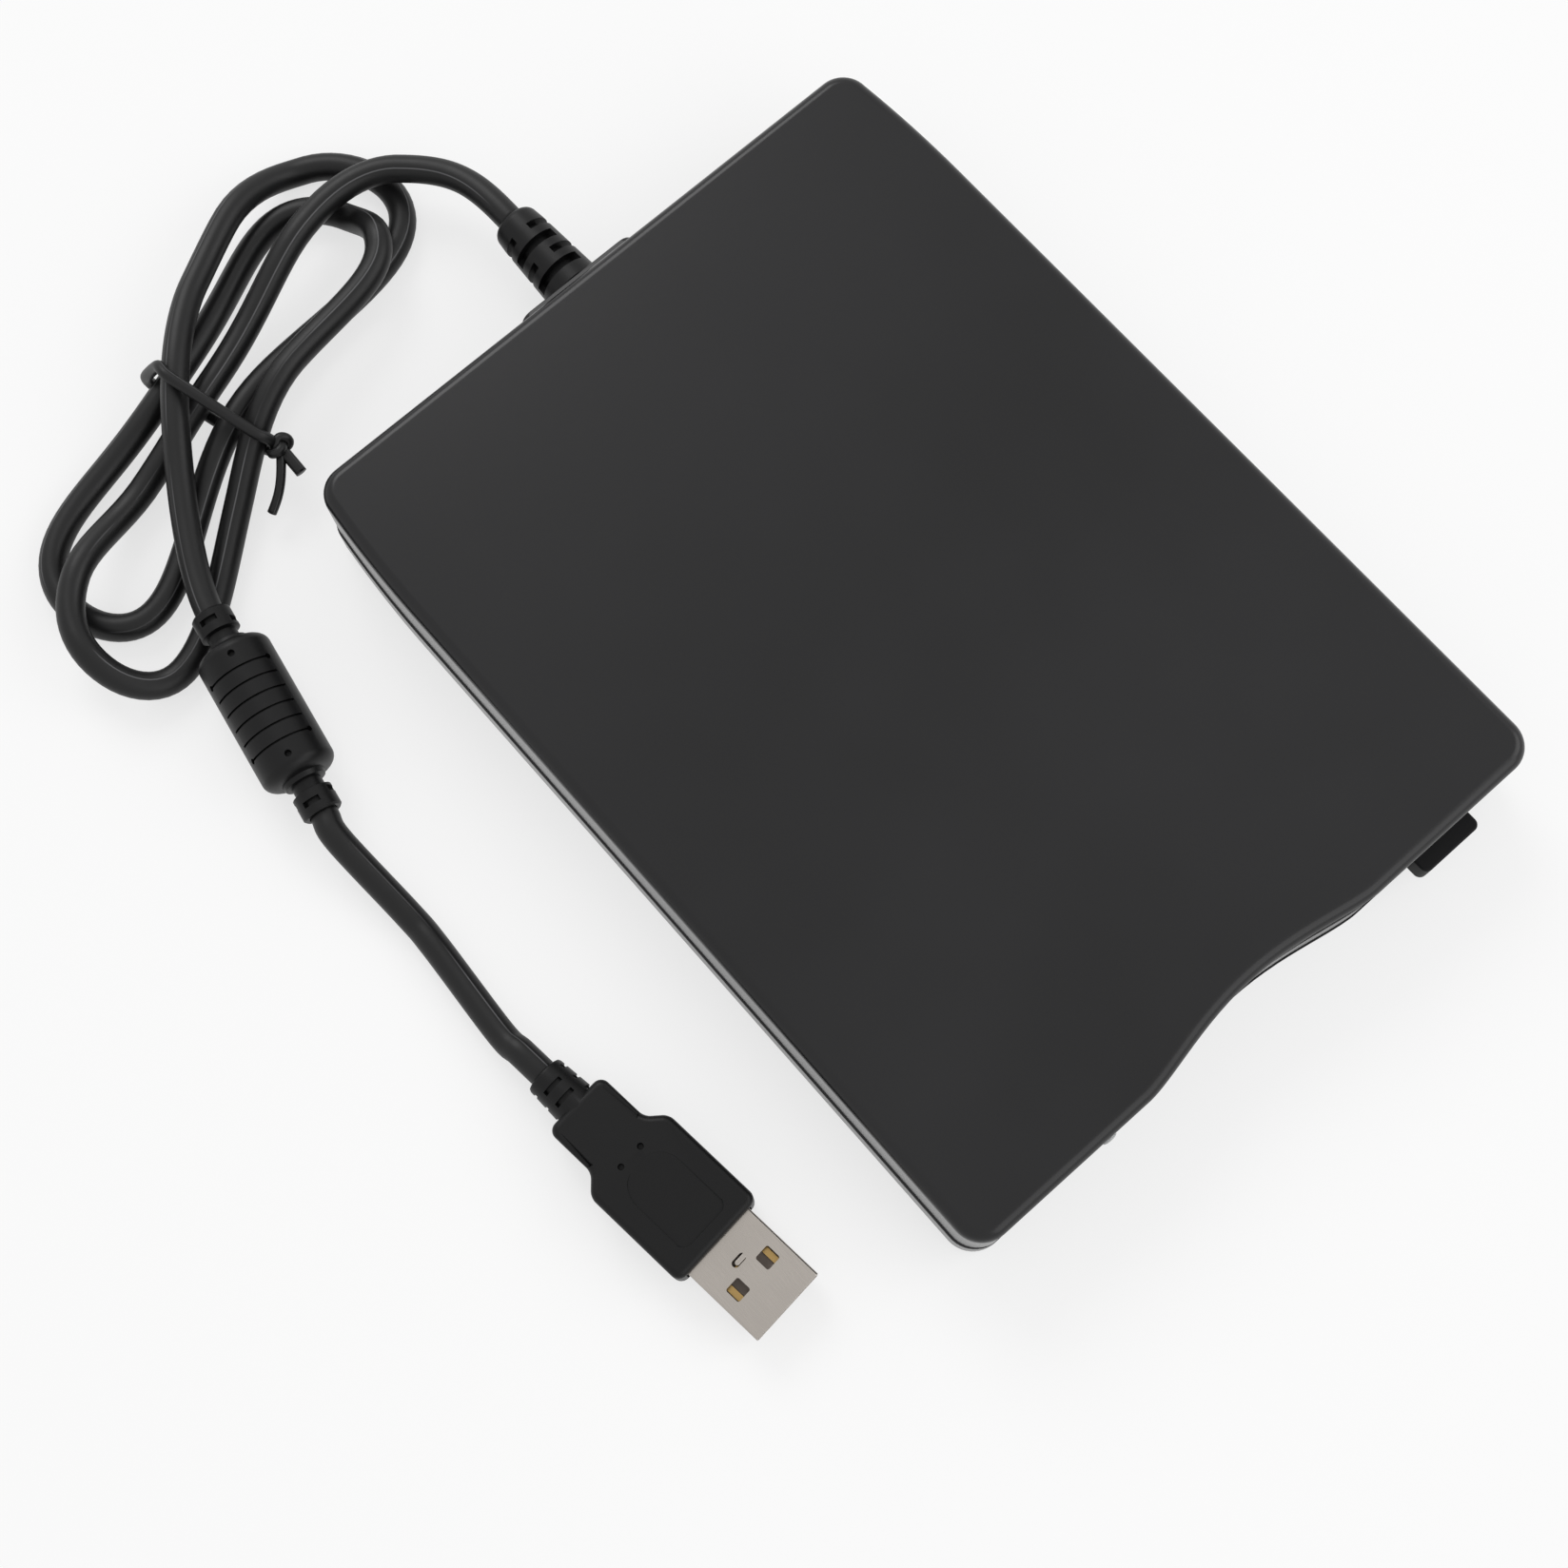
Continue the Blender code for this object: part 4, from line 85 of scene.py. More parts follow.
# Modelling: how far a cutter runs past its piece, how near counts as the same place, how square as square
X, Y, Z = range(3)
BEYOND = 0.001
TOUCHING = 1e-6
MERGED = 0.000002
NEAR = 0.0001
STRAIGHT = 0.99
SQUARE = 0.999
FACING = 0.9
STEEP = 0.5

# Nodes of the frame that sizes are read from
COVER_LOW, COVER_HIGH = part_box("top_cover")
BASE_LOW, BASE_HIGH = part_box("bottom_case")
BEZEL_LOW, BEZEL_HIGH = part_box("front_bezel")
BUTTON_LOW, BUTTON_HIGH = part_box("eject_button")
FLAP_LOW, FLAP_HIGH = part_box("slot_door")
LENS_LOW, LENS_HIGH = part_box("led_lens")
BUSHING_LOW, BUSHING_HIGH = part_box("rear_bushing")
RELIEF_LOW, RELIEF_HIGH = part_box("strain_relief")

# Casing, in metres
CLEAR = 0.0003
WALL = 0.0016
LIP_INSET = 0.0019
LIP_ROOT = 0.003
BASE_WALL = 0.0027
INNER_FLOOR = 0.0024
INNER_ROOF = 0.0169
CORNER_RADIUS = 0.0045
CORNER_STEPS = 12
REAR_DRAW_IN = 0.0010
DRAW_IN_RUN = 0.0240
DRAW_IN_CUTS = 8
SCOOP_DEPTH = 0.00285
SCOOP_HALF_WIDTH = 0.0212
SCOOP_FULLNESS = 1.6
SCOOP_CUTS = 32
SEAM_HEIGHT = 0.0004
SEAM_EDGE = 0.00016
SEAM_SHOULDER = 0.00030
BASE_PROUD = 0.00028
BASE_ROUND = 0.0010
FRONT_Y = COVER_LOW.y
REAR_Y = COVER_HIGH.y

# Bosses and wells in the casing
BOSS_RADIUS = 0.0031
BOSS_ROOT = 0.0005
PILOT_RADIUS = 0.0014
PAD_RADIUS = 0.0030
PAD_TOP = 0.0031
PAD_PILOT_TOP = 0.005
WELL_RADIUS = 0.0024
WELL_DEPTH = 0.0012
FOOT_WELL_RADIUS = 0.0053
RECESS_LOW = (-0.027, -0.021, 0)
RECESS_HIGH = (0.027, 0.019, BASE_LOW.z + 0.00025)
RECESS_CORNER = 0.002

# Feet and screws
FOOT_SIDES = 64
FOOT_RIM = 0.0013
FOOT_SLOPE = 0.0004
FOOT_DISH = 0.00025
FOOT_ROUND = 0.0002
HEAD_HIGH = 0.0009
HEAD_ROUND = ((0, 0.72), (0.00012, 0.9), (0.0003, 1.0))
SHANK_RADIUS = 0.0011
THREAD_START = 0.0002
THREAD_DEPTH = 0.0002
THREAD_PITCH = 0.0005
THREAD_CREST = (0.45, 0.55)
UNTHREADED = 0.0012
POINT_LENGTH = 0.0008
POINT_SHARE = 0.45
CROSS_REACH = 0.0013
CROSS_WIDTH = 0.00028
CROSS_DEEP = 0.0007
SCREW_NAMES = {f"case_screw_{i}": f"cover_screw_{i}" for i in range(1, 5)}
SCREW_NAMES |= {f"chassis_screw_{i}": f"floor_screw_{i}" for i in (1, 2)}

# Front plate, with lugs for two screws and ears for the hinge pin
PLATE_THICK = 0.0018
SLOT_HALF_WIDTH = 0.0457
SLOT_BOTTOM = 0.0094
SLOT_TOP = 0.0140
PLATE_CUT = 0.004
PLATE_RIM = 0.00005
KEY_HOLE_CORNER = 0.0008
LENS_HOLE_RADIUS = 0.0015
LUG_HALF_WIDTH = 0.003
LUG_DEPTH = 0.007
LUG_TOP = 0.0084
LUG_PILOT_TOP = 0.0069
EAR_PLACE = 0.0452
EAR_HALF_THICK = 0.0006
EAR_REACH = 0.0012

# Flap behind the slot, on its pin
HINGE_RADIUS = 0.0005
HINGE_BORE_RADIUS = 0.00065
BARREL_RADIUS = 0.0011
BARREL_HALF_LENGTH = 0.0422
FLAP_HALF_THICK = 0.0004
FLAP_JOIN = 0.0005
WING_DROP = 0.0020
RIB_INSET = 0.004
RIB_REACH = 0.0005
RIB_BOTTOM = 0.0112
RIB_TOP = 0.0118
RIB_ROUND = 0.00009
FLAP_ROUND = 0.00012

# Eject key and lens
KEY_DEPTH = 0.0110
KEY_CORNER = 0.0011
KEY_EDGE = 0.00035
STEM_HALF_WIDTH = 0.0025
STEM_BOTTOM = 0.0057
STEM_TOP = 0.0067
LENS_DOME = 0.0004
LENS_EDGE = 0.0002
DOME_STEPS = 8

# Relief and bushing at the rear
LEAD_X = (RELIEF_LOW.x + RELIEF_HIGH.x) / 2
LEAD_Z = 0.0090
NECK_HALF_LENGTH = 0.0084
NECK_HALF_RISE = 0.0041
NECK_JOIN = 0.0006
BUSHING_PROUD = 0.0007
BUSHING_TAPER = 0.0010
BUSHING_CORNER = 0.0016
BUSHING_EDGE = 0.0003
RELIEF_SHORT = 0.0011
RELIEF_ROOT_RADIUS = 0.0046
RELIEF_TIP_RADIUS = 0.0037
RELIEF_NECK_RADIUS = 0.0036
RELIEF_FLANGE = 0.0012
RELIEF_EDGE = 0.0002
RELIEF_SIDE_SHARE = 0.9
RELIEF_SIDE_STEPS = 12
RELIEF_NOSE = 0.0013
RELIEF_NOSE_STEPS = 6
RELIEF_HOLLOW = 0.0016
RELIEF_ROLL = 17.0
RELIEF_FIRST_SLOT = 0.0031
RELIEF_SLOT_PITCH = 0.0027
RELIEF_SLOT_COUNT = 4
RELIEF_SLOT_DEPTH = 0.0014
RELIEF_SLOT_KINDS = ((0, 62, 0.0015), (90, 68, 0.0012))
NOSE_SHARE = 0.8

# Lead: the values of the bundle's route, as in the part's source
CORD_RADIUS = 0.0021
CORD_SIDES = 24
CORD_REST = CORD_RADIUS + 0.00005
CORD_MOUTH = CORD_RADIUS + 0.0001
CORD_OVERLAP = 0.0010
TAIL_OVERLAP = 0.0012
RUN_SCALE = 100
BUNDLE = Vector((-0.0510, 0.0970, 0))
BUNDLE_TURN = math.radians(19.6)
FOLD_REACH = (0.0460, 0.0440, 0.0360, 0.0382, 0.0438, 0.0400)
FOLD_MIDDLE = (-0.0080, -0.0094, 0.0002, 0.0002, 0.0015, -0.0160)
FOLD_HALF_WIDTH = (0.0112, 0.0132, 0.0128, 0.0130, 0.0146, 0.0120)
WAIST_MIDDLE = (-0.0015, -0.0026, 0.0036, 0.0023, 0.0046)
PINCH_SHARE = 0.62
STACK = 0.0051
CLIMBS = ((-9.0, -8.0, 0.28, 0.48), (0.62, 0.78, 0.90, 1.16), (1.40, 1.58, 1.86, 2.02), (4.14, 4.31, 9.0, 10.0))
WAIST_LIFT = 0.0027
WAIST_LIFT_REACH = 0.0140
FIRST_HALF_TURN = 0.06
LAST_HALF_TURN = 4.40
STEPS_PER_HALF_TURN = 60
RUN_OUT_PULL = 0.0120
RUN_OUT_STEPS = 40
LEAD_PULL_SHARE = 0.42
LEAD_STEPS = 40
TAIL_STEPS = 84
TAIL_SWING = 0.75
TAIL_SLOPE = 0.6
SMOOTH_STEPS = 20
LINE_TURN = math.radians(58)

# Ferrite, along it from its start
FERRITE_START = Vector((-0.0730, 0.0706, 0.0072))
FERRITE_WAY = Vector((-0.178, -0.984, -0.048)).normalized()
FERRITE_RELIEF = 0.0060
FERRITE_LENGTH = 0.0224
FERRITE_RADIUS = 0.0056
FERRITE_REACH = FERRITE_LENGTH + 2 * FERRITE_RELIEF
FERRITE_HOLLOW = 0.0012
FERRITE_NOSE_RADIUS = 0.0030
FERRITE_NOSE_EASE = 0.0003
FERRITE_NECK_RADIUS = FERRITE_NOSE_RADIUS - 0.0007
FERRITE_NECK_SHARES = (0.58, 0.62, 0.86, 0.88)
FERRITE_ROUND = 0.0022
FERRITE_ROUND_STEPS = 7
GROOVE_COUNT = 6
GROOVE_START = 0.0050
GROOVE_HALF_WIDTH = 0.00016
GROOVE_FLOOR = 0.0051
GROOVE_REACH = 0.0066
GROOVE_TURNS = (-4, 176)
GROOVE_HALF_SPAN = 58
GROOVE_STEPS = 20
GROOVE_END_TURNS = (-60, 52)
GROOVE_END_FLOOR = 0.0048
GROOVE_END_RADIUS = 0.00045
HOLE_REACH = 0.0062
FERRITE_PIT_ALONG = 0.0027
FERRITE_PIT_TURN = 2
FERRITE_PIT_FLOOR = 0.0047
FERRITE_PIT_RADII = (0.0004, 0.00062)
FERRITE_SLOT_ALONG = 0.0017
FERRITE_SLOT_STEP = 0.0009
FERRITE_SLOT_TURNS = (-10, 80)
FERRITE_SLOT_HALF_SPAN = 26
FERRITE_SLOT_DEPTH = 0.0007
FERRITE_SLOT_WIDTH = 0.0009

# Grip of the plug, along it from its start
PLUG_START = Vector((-0.0793, -0.0122, 0.0041))
PLUG_WAY = Vector((0.0995, -0.9950, 0)).normalized()
PLUG_RELIEF = 0.0070
PLUG_JOIN = 0.0006
PLUG_SHOULDER = 0.0145
PLUG_FACE = 0.0335
SHOULDER_RUN = 0.0024
FIRST_STRIP = 0.0002
NECK_HALF_WIDTH = 0.0052
NECK_HALF_HEIGHT = 0.0034
GRIP_HALF_WIDTH = 0.0077
GRIP_HALF_HEIGHT = 0.0040
GRIP_CORNER = 0.0014
SHOULDER_CORNER = 0.0009
GRIP_ROUND = 0.0010
PANEL_START = 0.0208
PANEL_END = 0.0315
PANEL_HALF_WIDTH = 0.0044
PANEL_TAPER = 0.0024
PANEL_NOSE_SHARE = 0.56
PANEL_CORNER = 0.0014
PANEL_DEPTH = 0.00030
PANEL_FLOOR_SHARE = 0.965
PIT_ALONG = 0.0172
PIT_SIDE = 0.0019
PIT_RADIUS = 0.00046
PIT_FLOOR_SHARE = 0.8
PIT_MOUTH_SHARE = 1.2
PIT_SIDES = 20
CUFF_RADIUS = 0.0034
CUFF_NOSE_RADIUS = 0.0030
CUFF_NOSE_EASE = 0.0005
CUFF_SLOT_COUNT = 5
CUFF_FIRST_SLOT = 0.0014
CUFF_SLOT_PITCH = 0.00115
CUFF_SLOT_WIDTH = 0.0007
CUFF_SLOT_DEPTH = 0.0006
CUFF_SLOT_HALF_SPAN = 30
CUFF_ROLL = -8.0

# The plug's metal sleeve
SLEEVE_REACH = 0.0128
SLEEVE_TAIL = 0.0040
SLEEVE_HALF_WIDTH = 0.0060
SLEEVE_HALF_HEIGHT = 0.00225
SLEEVE_SHEET = 0.0003
SLEEVE_CORNER = 1.5 * SLEEVE_SHEET
SLEEVE_INNER_CORNER = 0.6 * SLEEVE_SHEET
SLEEVE_FOLD = 0.00005
WINDOW_SIZE = 0.0024
WINDOW_SIDE = 0.0029
WINDOW_BACK = 0.0064
DIMPLE_BACK = 0.0090
DIMPLE_LENGTH = 0.0023
DIMPLE_WIDTH = 0.0011
DIMPLE_TONGUE = 0.66
DIMPLE_SHIFT = 0.00008
DIMPLE_FULLNESS = 0.96
TONGUE_FULLNESS = 0.95

# Tie round the waist of the bundle
TIE_RADIUS = 0.0009
TIE_SIDES = 16
TIE_SLACK = 0.0005
TIE_STEPS = 96
TIE_SMOOTHINGS = 8
TIE_ALONG = -0.0024
TIE_SLANT = 0.045
TIE_SWAY = 0.0005
TIE_SWAY_RATE = 900
KNOT_RADIUS = 0.0019
KNOT_STEPS = 72
KNOT_SCALE = 0.29
KNOT_DEPTH = 1.1
KNOT_SHARE = 0.86
STUB_WAY = Vector((-0.0016, -0.0044, -0.0010))
STUB_STEPS = 12
TAIL_WAY = Vector((-0.0086, -0.0030, -0.0034))
TAIL_BOW = Vector((-0.0004, -0.0010, 0.0003))
TIE_TAIL_STEPS = 16
TIE_TAIL_SHARE = 0.80

# Inside
SOFT_PARTS = ("door_spring", "eject_spring")
OWN_FINISHES = {"status_led": "led_body"}
PINNED_CHIPS = ("controller_chip", "driver_chip", "bridge_chip")
PART_EASE = 0.00010
BLADE_EASE = 0.00004
FILM_EASE = 0.00004
FILM_RISE = 0.0030
FILM_BEND = 0.80
PIN_PITCH = 0.0008
PIN_WIDTH = 0.00030
PIN_THICK = 0.00013
PIN_REACH = 0.00045
PIN_ROOT = 0.00020

# Stage: each lamp's name, place and size, and the property that holds its power
FLOOR_DROP = 0.0002
LAMPS = (
    ("key_lamp", (0.25, 1.05, 1.00), 0.8, "key_power"),
    ("fill_lamp", (0.85, -0.50, 0.80), 0.8, "fill_power"),
    ("rim_lamp", (0.20, -0.95, 0.62), 0.9, "rim_power"),
)
LAMP_AIM = Vector((0, 0.02, 0))
CAMERA_PLACE = (-0.07914, -0.06905, 0.32288)
CAMERA_TURN = (14.78, 0.77, -41.25)
CAMERA_LENS = 52.92
CAMERA_SENSOR = 36.0
CAMERA_SIGHT = (0.01, 50.0)

NODE_SLOTS = {part["node"]: part["material_slot"] for part in frame["record"]["subparts"]}
FINISHES = {}


# Modelling steps


def object_mode():
    if bpy.context.mode != "OBJECT":
        bpy.ops.object.mode_set(mode="OBJECT")
    bpy.ops.object.select_all(action="DESELECT")


def hold(piece):
    """Makes the piece the active one, and the only one selected."""
    object_mode()
    piece.select_set(True)
    bpy.context.view_layer.objects.active = piece


def settle(name):
    """Names the primitive just added and moves its place and size into its mesh."""
    piece = bpy.context.object
    piece.name = name
    piece.data.name = name
    bpy.ops.object.transform_apply(location=True, rotation=True, scale=True)
    return piece


def block(name, low, high):
    object_mode()
    low, high = Vector(low), Vector(high)
    bpy.ops.mesh.primitive_cube_add(size=1, location=(low + high) / 2, scale=high - low)
    return settle(name)


def cylinder(name, start, end, radius, sides=32, end_radius=None):
    object_mode()
    start, end = Vector(start), Vector(end)
    way = end - start
    turn = Vector((0, 0, 1)).rotation_difference(way).to_euler()
    far = radius if end_radius is None else end_radius
    bpy.ops.mesh.primitive_cone_add(
        vertices=sides, radius1=radius, radius2=far, depth=way.length, location=(start + end) / 2, rotation=turn
    )
    return settle(name)


def mesh_piece(name, points, faces, edges=()):
    """A piece from points and faces that a formula gives, for cords and profiles."""
    mesh = bpy.data.meshes.new(name)
    mesh.from_pydata([tuple(point) for point in points], edges, faces)
    mesh.validate()
    piece = bpy.data.objects.new(name, mesh)
    bpy.context.scene.collection.objects.link(piece)
    return piece


def shape(piece):
    hold(piece)
    bpy.ops.object.mode_set(mode="EDIT")


def pick(piece, kind, test):
    """In edit mode, selects the points, edges or faces that pass the test."""
    bpy.ops.mesh.select_mode(type=kind)
    bpy.ops.mesh.select_all(action="DESELECT")
    mesh = bmesh.from_edit_mesh(piece.data)
    found = [part for part in {"VERT": mesh.verts, "EDGE": mesh.edges, "FACE": mesh.faces}[kind] if test(part)]
    for part in found:
        part.select_set(True)
    mesh.select_flush_mode()
    bmesh.update_edit_mesh(piece.data)
    if not found:
        raise RuntimeError(f"{piece.name}: no {kind.lower()} to shape there")


def round_off(piece, width, segments, test):
    """Bevels the edges that pass the test."""
    shape(piece)
    pick(piece, "EDGE", test)
    bpy.ops.mesh.bevel(offset=width, segments=segments, affect="EDGES", clamp_overlap=True)
    object_mode()


def turn_out():
    """In edit mode, makes every face look outwards."""
    bpy.ops.mesh.select_all(action="SELECT")
    bpy.ops.mesh.normals_make_consistent(inside=False)


def slice_faces(piece, test, axis, places):
    """Cuts the faces that pass the test at each place along an axis."""
    normal = Vector((0, 0, 0))
    normal[axis] = 1
    shape(piece)
    for place in places:
        pick(piece, "FACE", test)
        bpy.ops.mesh.bisect(plane_co=normal * place, plane_no=normal)
    object_mode()


def combine(piece, others, operation="DIFFERENCE"):
    """Cuts the other pieces out of the piece, or joins them to it as one body."""
    for other in others:
        change = piece.modifiers.new("combine", "BOOLEAN")
        change.object = other
        change.operation = operation
        change.solver = "EXACT"
        hold(piece)
        bpy.ops.object.modifier_apply(modifier=change.name)
        bpy.data.objects.remove(other)


def spun(name, profile, steps=48):
    """A closed body spun about the X axis from (distance along it, radius) points, ends on the axis."""
    points = [(along, 0, radius) for along, radius in profile]
    piece = mesh_piece(name, points, (), [(i, i + 1) for i in range(len(points) - 1)])
    shape(piece)
    bpy.ops.mesh.select_all(action="SELECT")
    bpy.ops.mesh.spin(steps=steps, angle=2 * math.pi, center=(0, 0, 0), axis=(1, 0, 0))
    bpy.ops.mesh.select_all(action="SELECT")
    bpy.ops.mesh.remove_doubles(threshold=MERGED)
    bpy.ops.mesh.normals_make_consistent(inside=False)
    object_mode()
    return piece


def ring_cutter(name, start, end, inner, outer, middle, half_span, steps=10):
    """A curved bar round the X axis, from start to end along it, that cuts a groove or a slot."""
    points = []
    for i in range(steps + 1):
        angle = math.radians(middle - half_span + 2 * half_span * i / steps)
        up = Vector((0, math.sin(angle), math.cos(angle)))
        for along, radius in ((start, inner), (end, inner), (end, outer), (start, outer)):
            points.append(Vector((along, 0, 0)) + up * radius)
    faces = [(3, 2, 1, 0), tuple(4 * steps + i for i in range(4))]
    for i in range(steps):
        for side in range(4):
            far = (side + 1) % 4
            faces.append((4 * i + side, 4 * i + far, 4 * i + 4 + far, 4 * i + 4 + side))
    cutter = mesh_piece(name, points, faces)
    shape(cutter)
    turn_out()
    object_mode()
    return cutter


def lay_along(piece, start, way):
    """Moves a piece modelled along the X axis, its top towards Z, to its place on the lead."""
    way = way.normalized()
    side = Vector((0, 0, 1)).cross(way).normalized()
    up = way.cross(side)
    turn = Matrix((way, side, up)).transposed().to_4x4()
    piece.data.transform(Matrix.Translation(start) @ turn)


def pillar(piece, name, place, bottom, top, radius, operation="DIFFERENCE", sides=32):
    """Bores an upright hole in the piece, or joins a boss to it, at a place on the plan."""
    x, y = place
    combine(piece, [cylinder(name, (x, y, bottom), (x, y, top), radius, sides)], operation)


def radial_hole(piece, name, along, turn, floor, radii, sides):
    """Bores towards the X axis from one side, down to a distance from it."""
    up = Vector((0, math.sin(math.radians(turn)), math.cos(math.radians(turn))))
    centre = Vector((along, 0, 0))
    combine(piece, [cylinder(name, centre + up * floor, centre + up * HOLE_REACH, radii[0], sides, radii[1])])


def slots(piece, along, turn, half_span, radius, depth, width):
    """Cuts a pair of slots across from each other, at a place along the X axis and turned round it."""
    start, end = along - width / 2, along + width / 2
    for middle in (turn, turn + 180):
        combine(piece, [ring_cutter("slot", start, end, radius - depth, radius + BEYOND, middle, half_span)])


def copied(piece, name, move=(0, 0, 0)):
    """A copy of a piece with its own mesh, moved in that mesh."""
    copy = piece.copy()
    copy.data = piece.data.copy()
    copy.name = name
    copy.data.name = name
    copy.data.transform(Matrix.Translation(move))
    bpy.context.scene.collection.objects.link(copy)
    return copy


def join(pieces):
    """Makes one object of the pieces, which keeps the name of the first."""
    hold(pieces[0])
    for piece in pieces[1:]:
        piece.select_set(True)
    bpy.ops.object.join()
    return pieces[0]


def dress(piece, finish, nodes, angle=30):
    """Shades the piece evenly, and gives it its finish and its place in the frame."""
    hold(piece)
    bpy.ops.object.shade_smooth_by_angle(angle=math.radians(angle))
    change = piece.modifiers.new("even_shading", "WEIGHTED_NORMAL")
    change.keep_sharp = True
    bpy.ops.object.modifier_apply(modifier=change.name)
    seat_piece(piece, finish, nodes)


def seat_piece(piece, finish, nodes):
    """Gives the piece its finish and its body, and hides the nodes that it stands for."""
    piece.data.materials.clear()
    piece.data.materials.append(FINISHES[finish])
    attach(piece, frame["nodes"][nodes[0]]["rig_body"])
    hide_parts(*nodes)


def place_of(node):
    """The place on the plan of a part that stands upright, and how high it reaches."""
    low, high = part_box(node)
    return ((low.x + high.x) / 2, (low.y + high.y) / 2), high.z


def runs_along(axis):
    """A test for the edges that run along an axis."""

    def test(edge):
        way = edge.verts[1].co - edge.verts[0].co
        return abs(way[axis]) > STRAIGHT * way.length

    return test


along_x, along_y, upright = (runs_along(axis) for axis in (X, Y, Z))


def turned_by(edge, least=1.0):
    """Whether the faces at an edge turn by more than the least angle, in radians."""
    return edge.calc_face_angle(0) > least


def facing(axis, way, least=FACING):
    """A test for the faces that look along an axis, forwards or backwards."""
    return lambda face: face.normal[axis] * way > least


def square_to(axis):
    """A test for the faces that lie square to an axis."""
    return lambda face: abs(face.normal[axis]) > SQUARE


def outline_at(height):
    """Edges of a flat face at that height where it meets a wall."""

    def test(edge):
        level = all(abs(point.co.z - height) < TOUCHING for point in edge.verts)
        return level and any(abs(face.normal.z) < STEEP for face in edge.link_faces)

    return test


# Finishes


class Board:
    """The nodes of one material, or of the room, all added through a single method."""

    def __init__(self, owner, name):
        owner.use_nodes = True
        self.owner = owner
        self.name = name
        self.tree = owner.node_tree
        self.tree.nodes.clear()

    def add(self, kind, settings=None, output=0, **inputs):
        """Adds a node, sets it up, and fills its sockets, by name with _ for a space or by number as s0."""
        node = self.tree.nodes.new("ShaderNode" + kind)
        for key, value in (settings or {}).items():
            setattr(node, key, value)
        for key, value in inputs.items():
            socket = node.inputs[int(key[1:])] if key[1:].isdigit() else node.inputs[key.replace("_", " ")]
            if isinstance(value, Signal):
                self.tree.links.new(value.socket, socket)
            else:
                socket.default_value = value
        return Signal(self, node.outputs[output]) if node.outputs else None


class Signal:
    """An output of a node, with the sums that the finishes are written in."""

    def __init__(self, board, socket):
        self.board = board
        self.socket = socket

    def sum(self, operation, first, second):
        return self.board.add("Math", {"operation": operation}, s0=first, s1=second)

    def beside(self, output):
        """Another output of the same node."""
        return Signal(self.board, self.socket.node.outputs[output])

    def __add__(self, other):
        return self.sum("ADD", self, other)

    def __sub__(self, other):
        return self.sum("SUBTRACT", self, other)

    def __rsub__(self, other):
        return self.sum("SUBTRACT", other, self)

    def __mul__(self, other):
        return self.sum("MULTIPLY", self, other)

    __radd__ = __add__
    __rmul__ = __mul__

    def between(self, low, high):
        """0 at low and 1 at high, held inside that."""
        return self.board.add("MapRange", {"clamp": True}, Value=self, From_Min=low, From_Max=high)


def shade(colour, share=1.0):
    return (*(part * share for part in colour), 1.0)


def new_finish(name):
    return Board(bpy.data.materials.new(name), name)


def mixed(board, factor, first, second):
    return board.add("Mix", {"data_type": "RGBA"}, 2, s0=factor, s6=first, s7=second)


def close(board, **inputs):
    """Ends a material in its surface, and keeps it under its name."""
    board.add("OutputMaterial", Surface=board.add("BsdfPrincipled", **inputs))
    FINISHES[board.name] = board.owner


def place_on(board):
    return board.add("TexCoord", None, "Object")


def noise(board, where, scale, detail=2.0, roughness=0.5):
    return board.add("TexNoise", Vector=where, Scale=scale, Detail=detail, Roughness=roughness)


def bumps(board, height, distance, strength):
    return board.add("Bump", Strength=strength, Distance=distance, Height=height)


def moulded(name, colour, rough, grain, depth, smudge, specular):
    """Moulded plastic: a fine sparked grain, with soft rubbed patches in its colour and gloss."""
    board = new_finish(name)
    where = place_on(board)
    pits = noise(board, where, grain)
    fine = noise(board, where, grain * 3.1, detail=1.0)
    patch = noise(board, where, 17.0, 3.0, 0.55).between(0.34, 0.68)
    tone = patch * (0.7 * smudge) + pits * 0.3
    close(
        board,
        Base_Color=mixed(board, tone, shade(colour, 0.70), shade(colour, 1.60)),
        Roughness=rough + 0.05 * fine - patch * (0.06 * smudge),
        Normal=bumps(board, pits * 0.7 + fine * 0.3, depth, 1.0),
        Specular_IOR_Level=specular,
    )


def metal(name, colour, rough, grain, stretch, streak):
    """Drawn or rolled metal: streaks along one axis in its gloss and colour."""
    board = new_finish(name)
    where = place_on(board)
    drawn = board.add("Mapping", Vector=where, Scale=stretch)
    lines = noise(board, drawn, grain, 3.0, 0.6)
    cloud = noise(board, where, 90.0)
    close(
        board,
        Base_Color=mixed(board, lines * 0.4 + cloud * 0.4, shade(colour, 0.80), shade(colour, 1.10)),
        Roughness=(rough - streak / 2) + streak * lines + 0.08 * cloud,
        Metallic=1.0,
        Normal=bumps(board, lines, 0.00002, 0.35),
    )


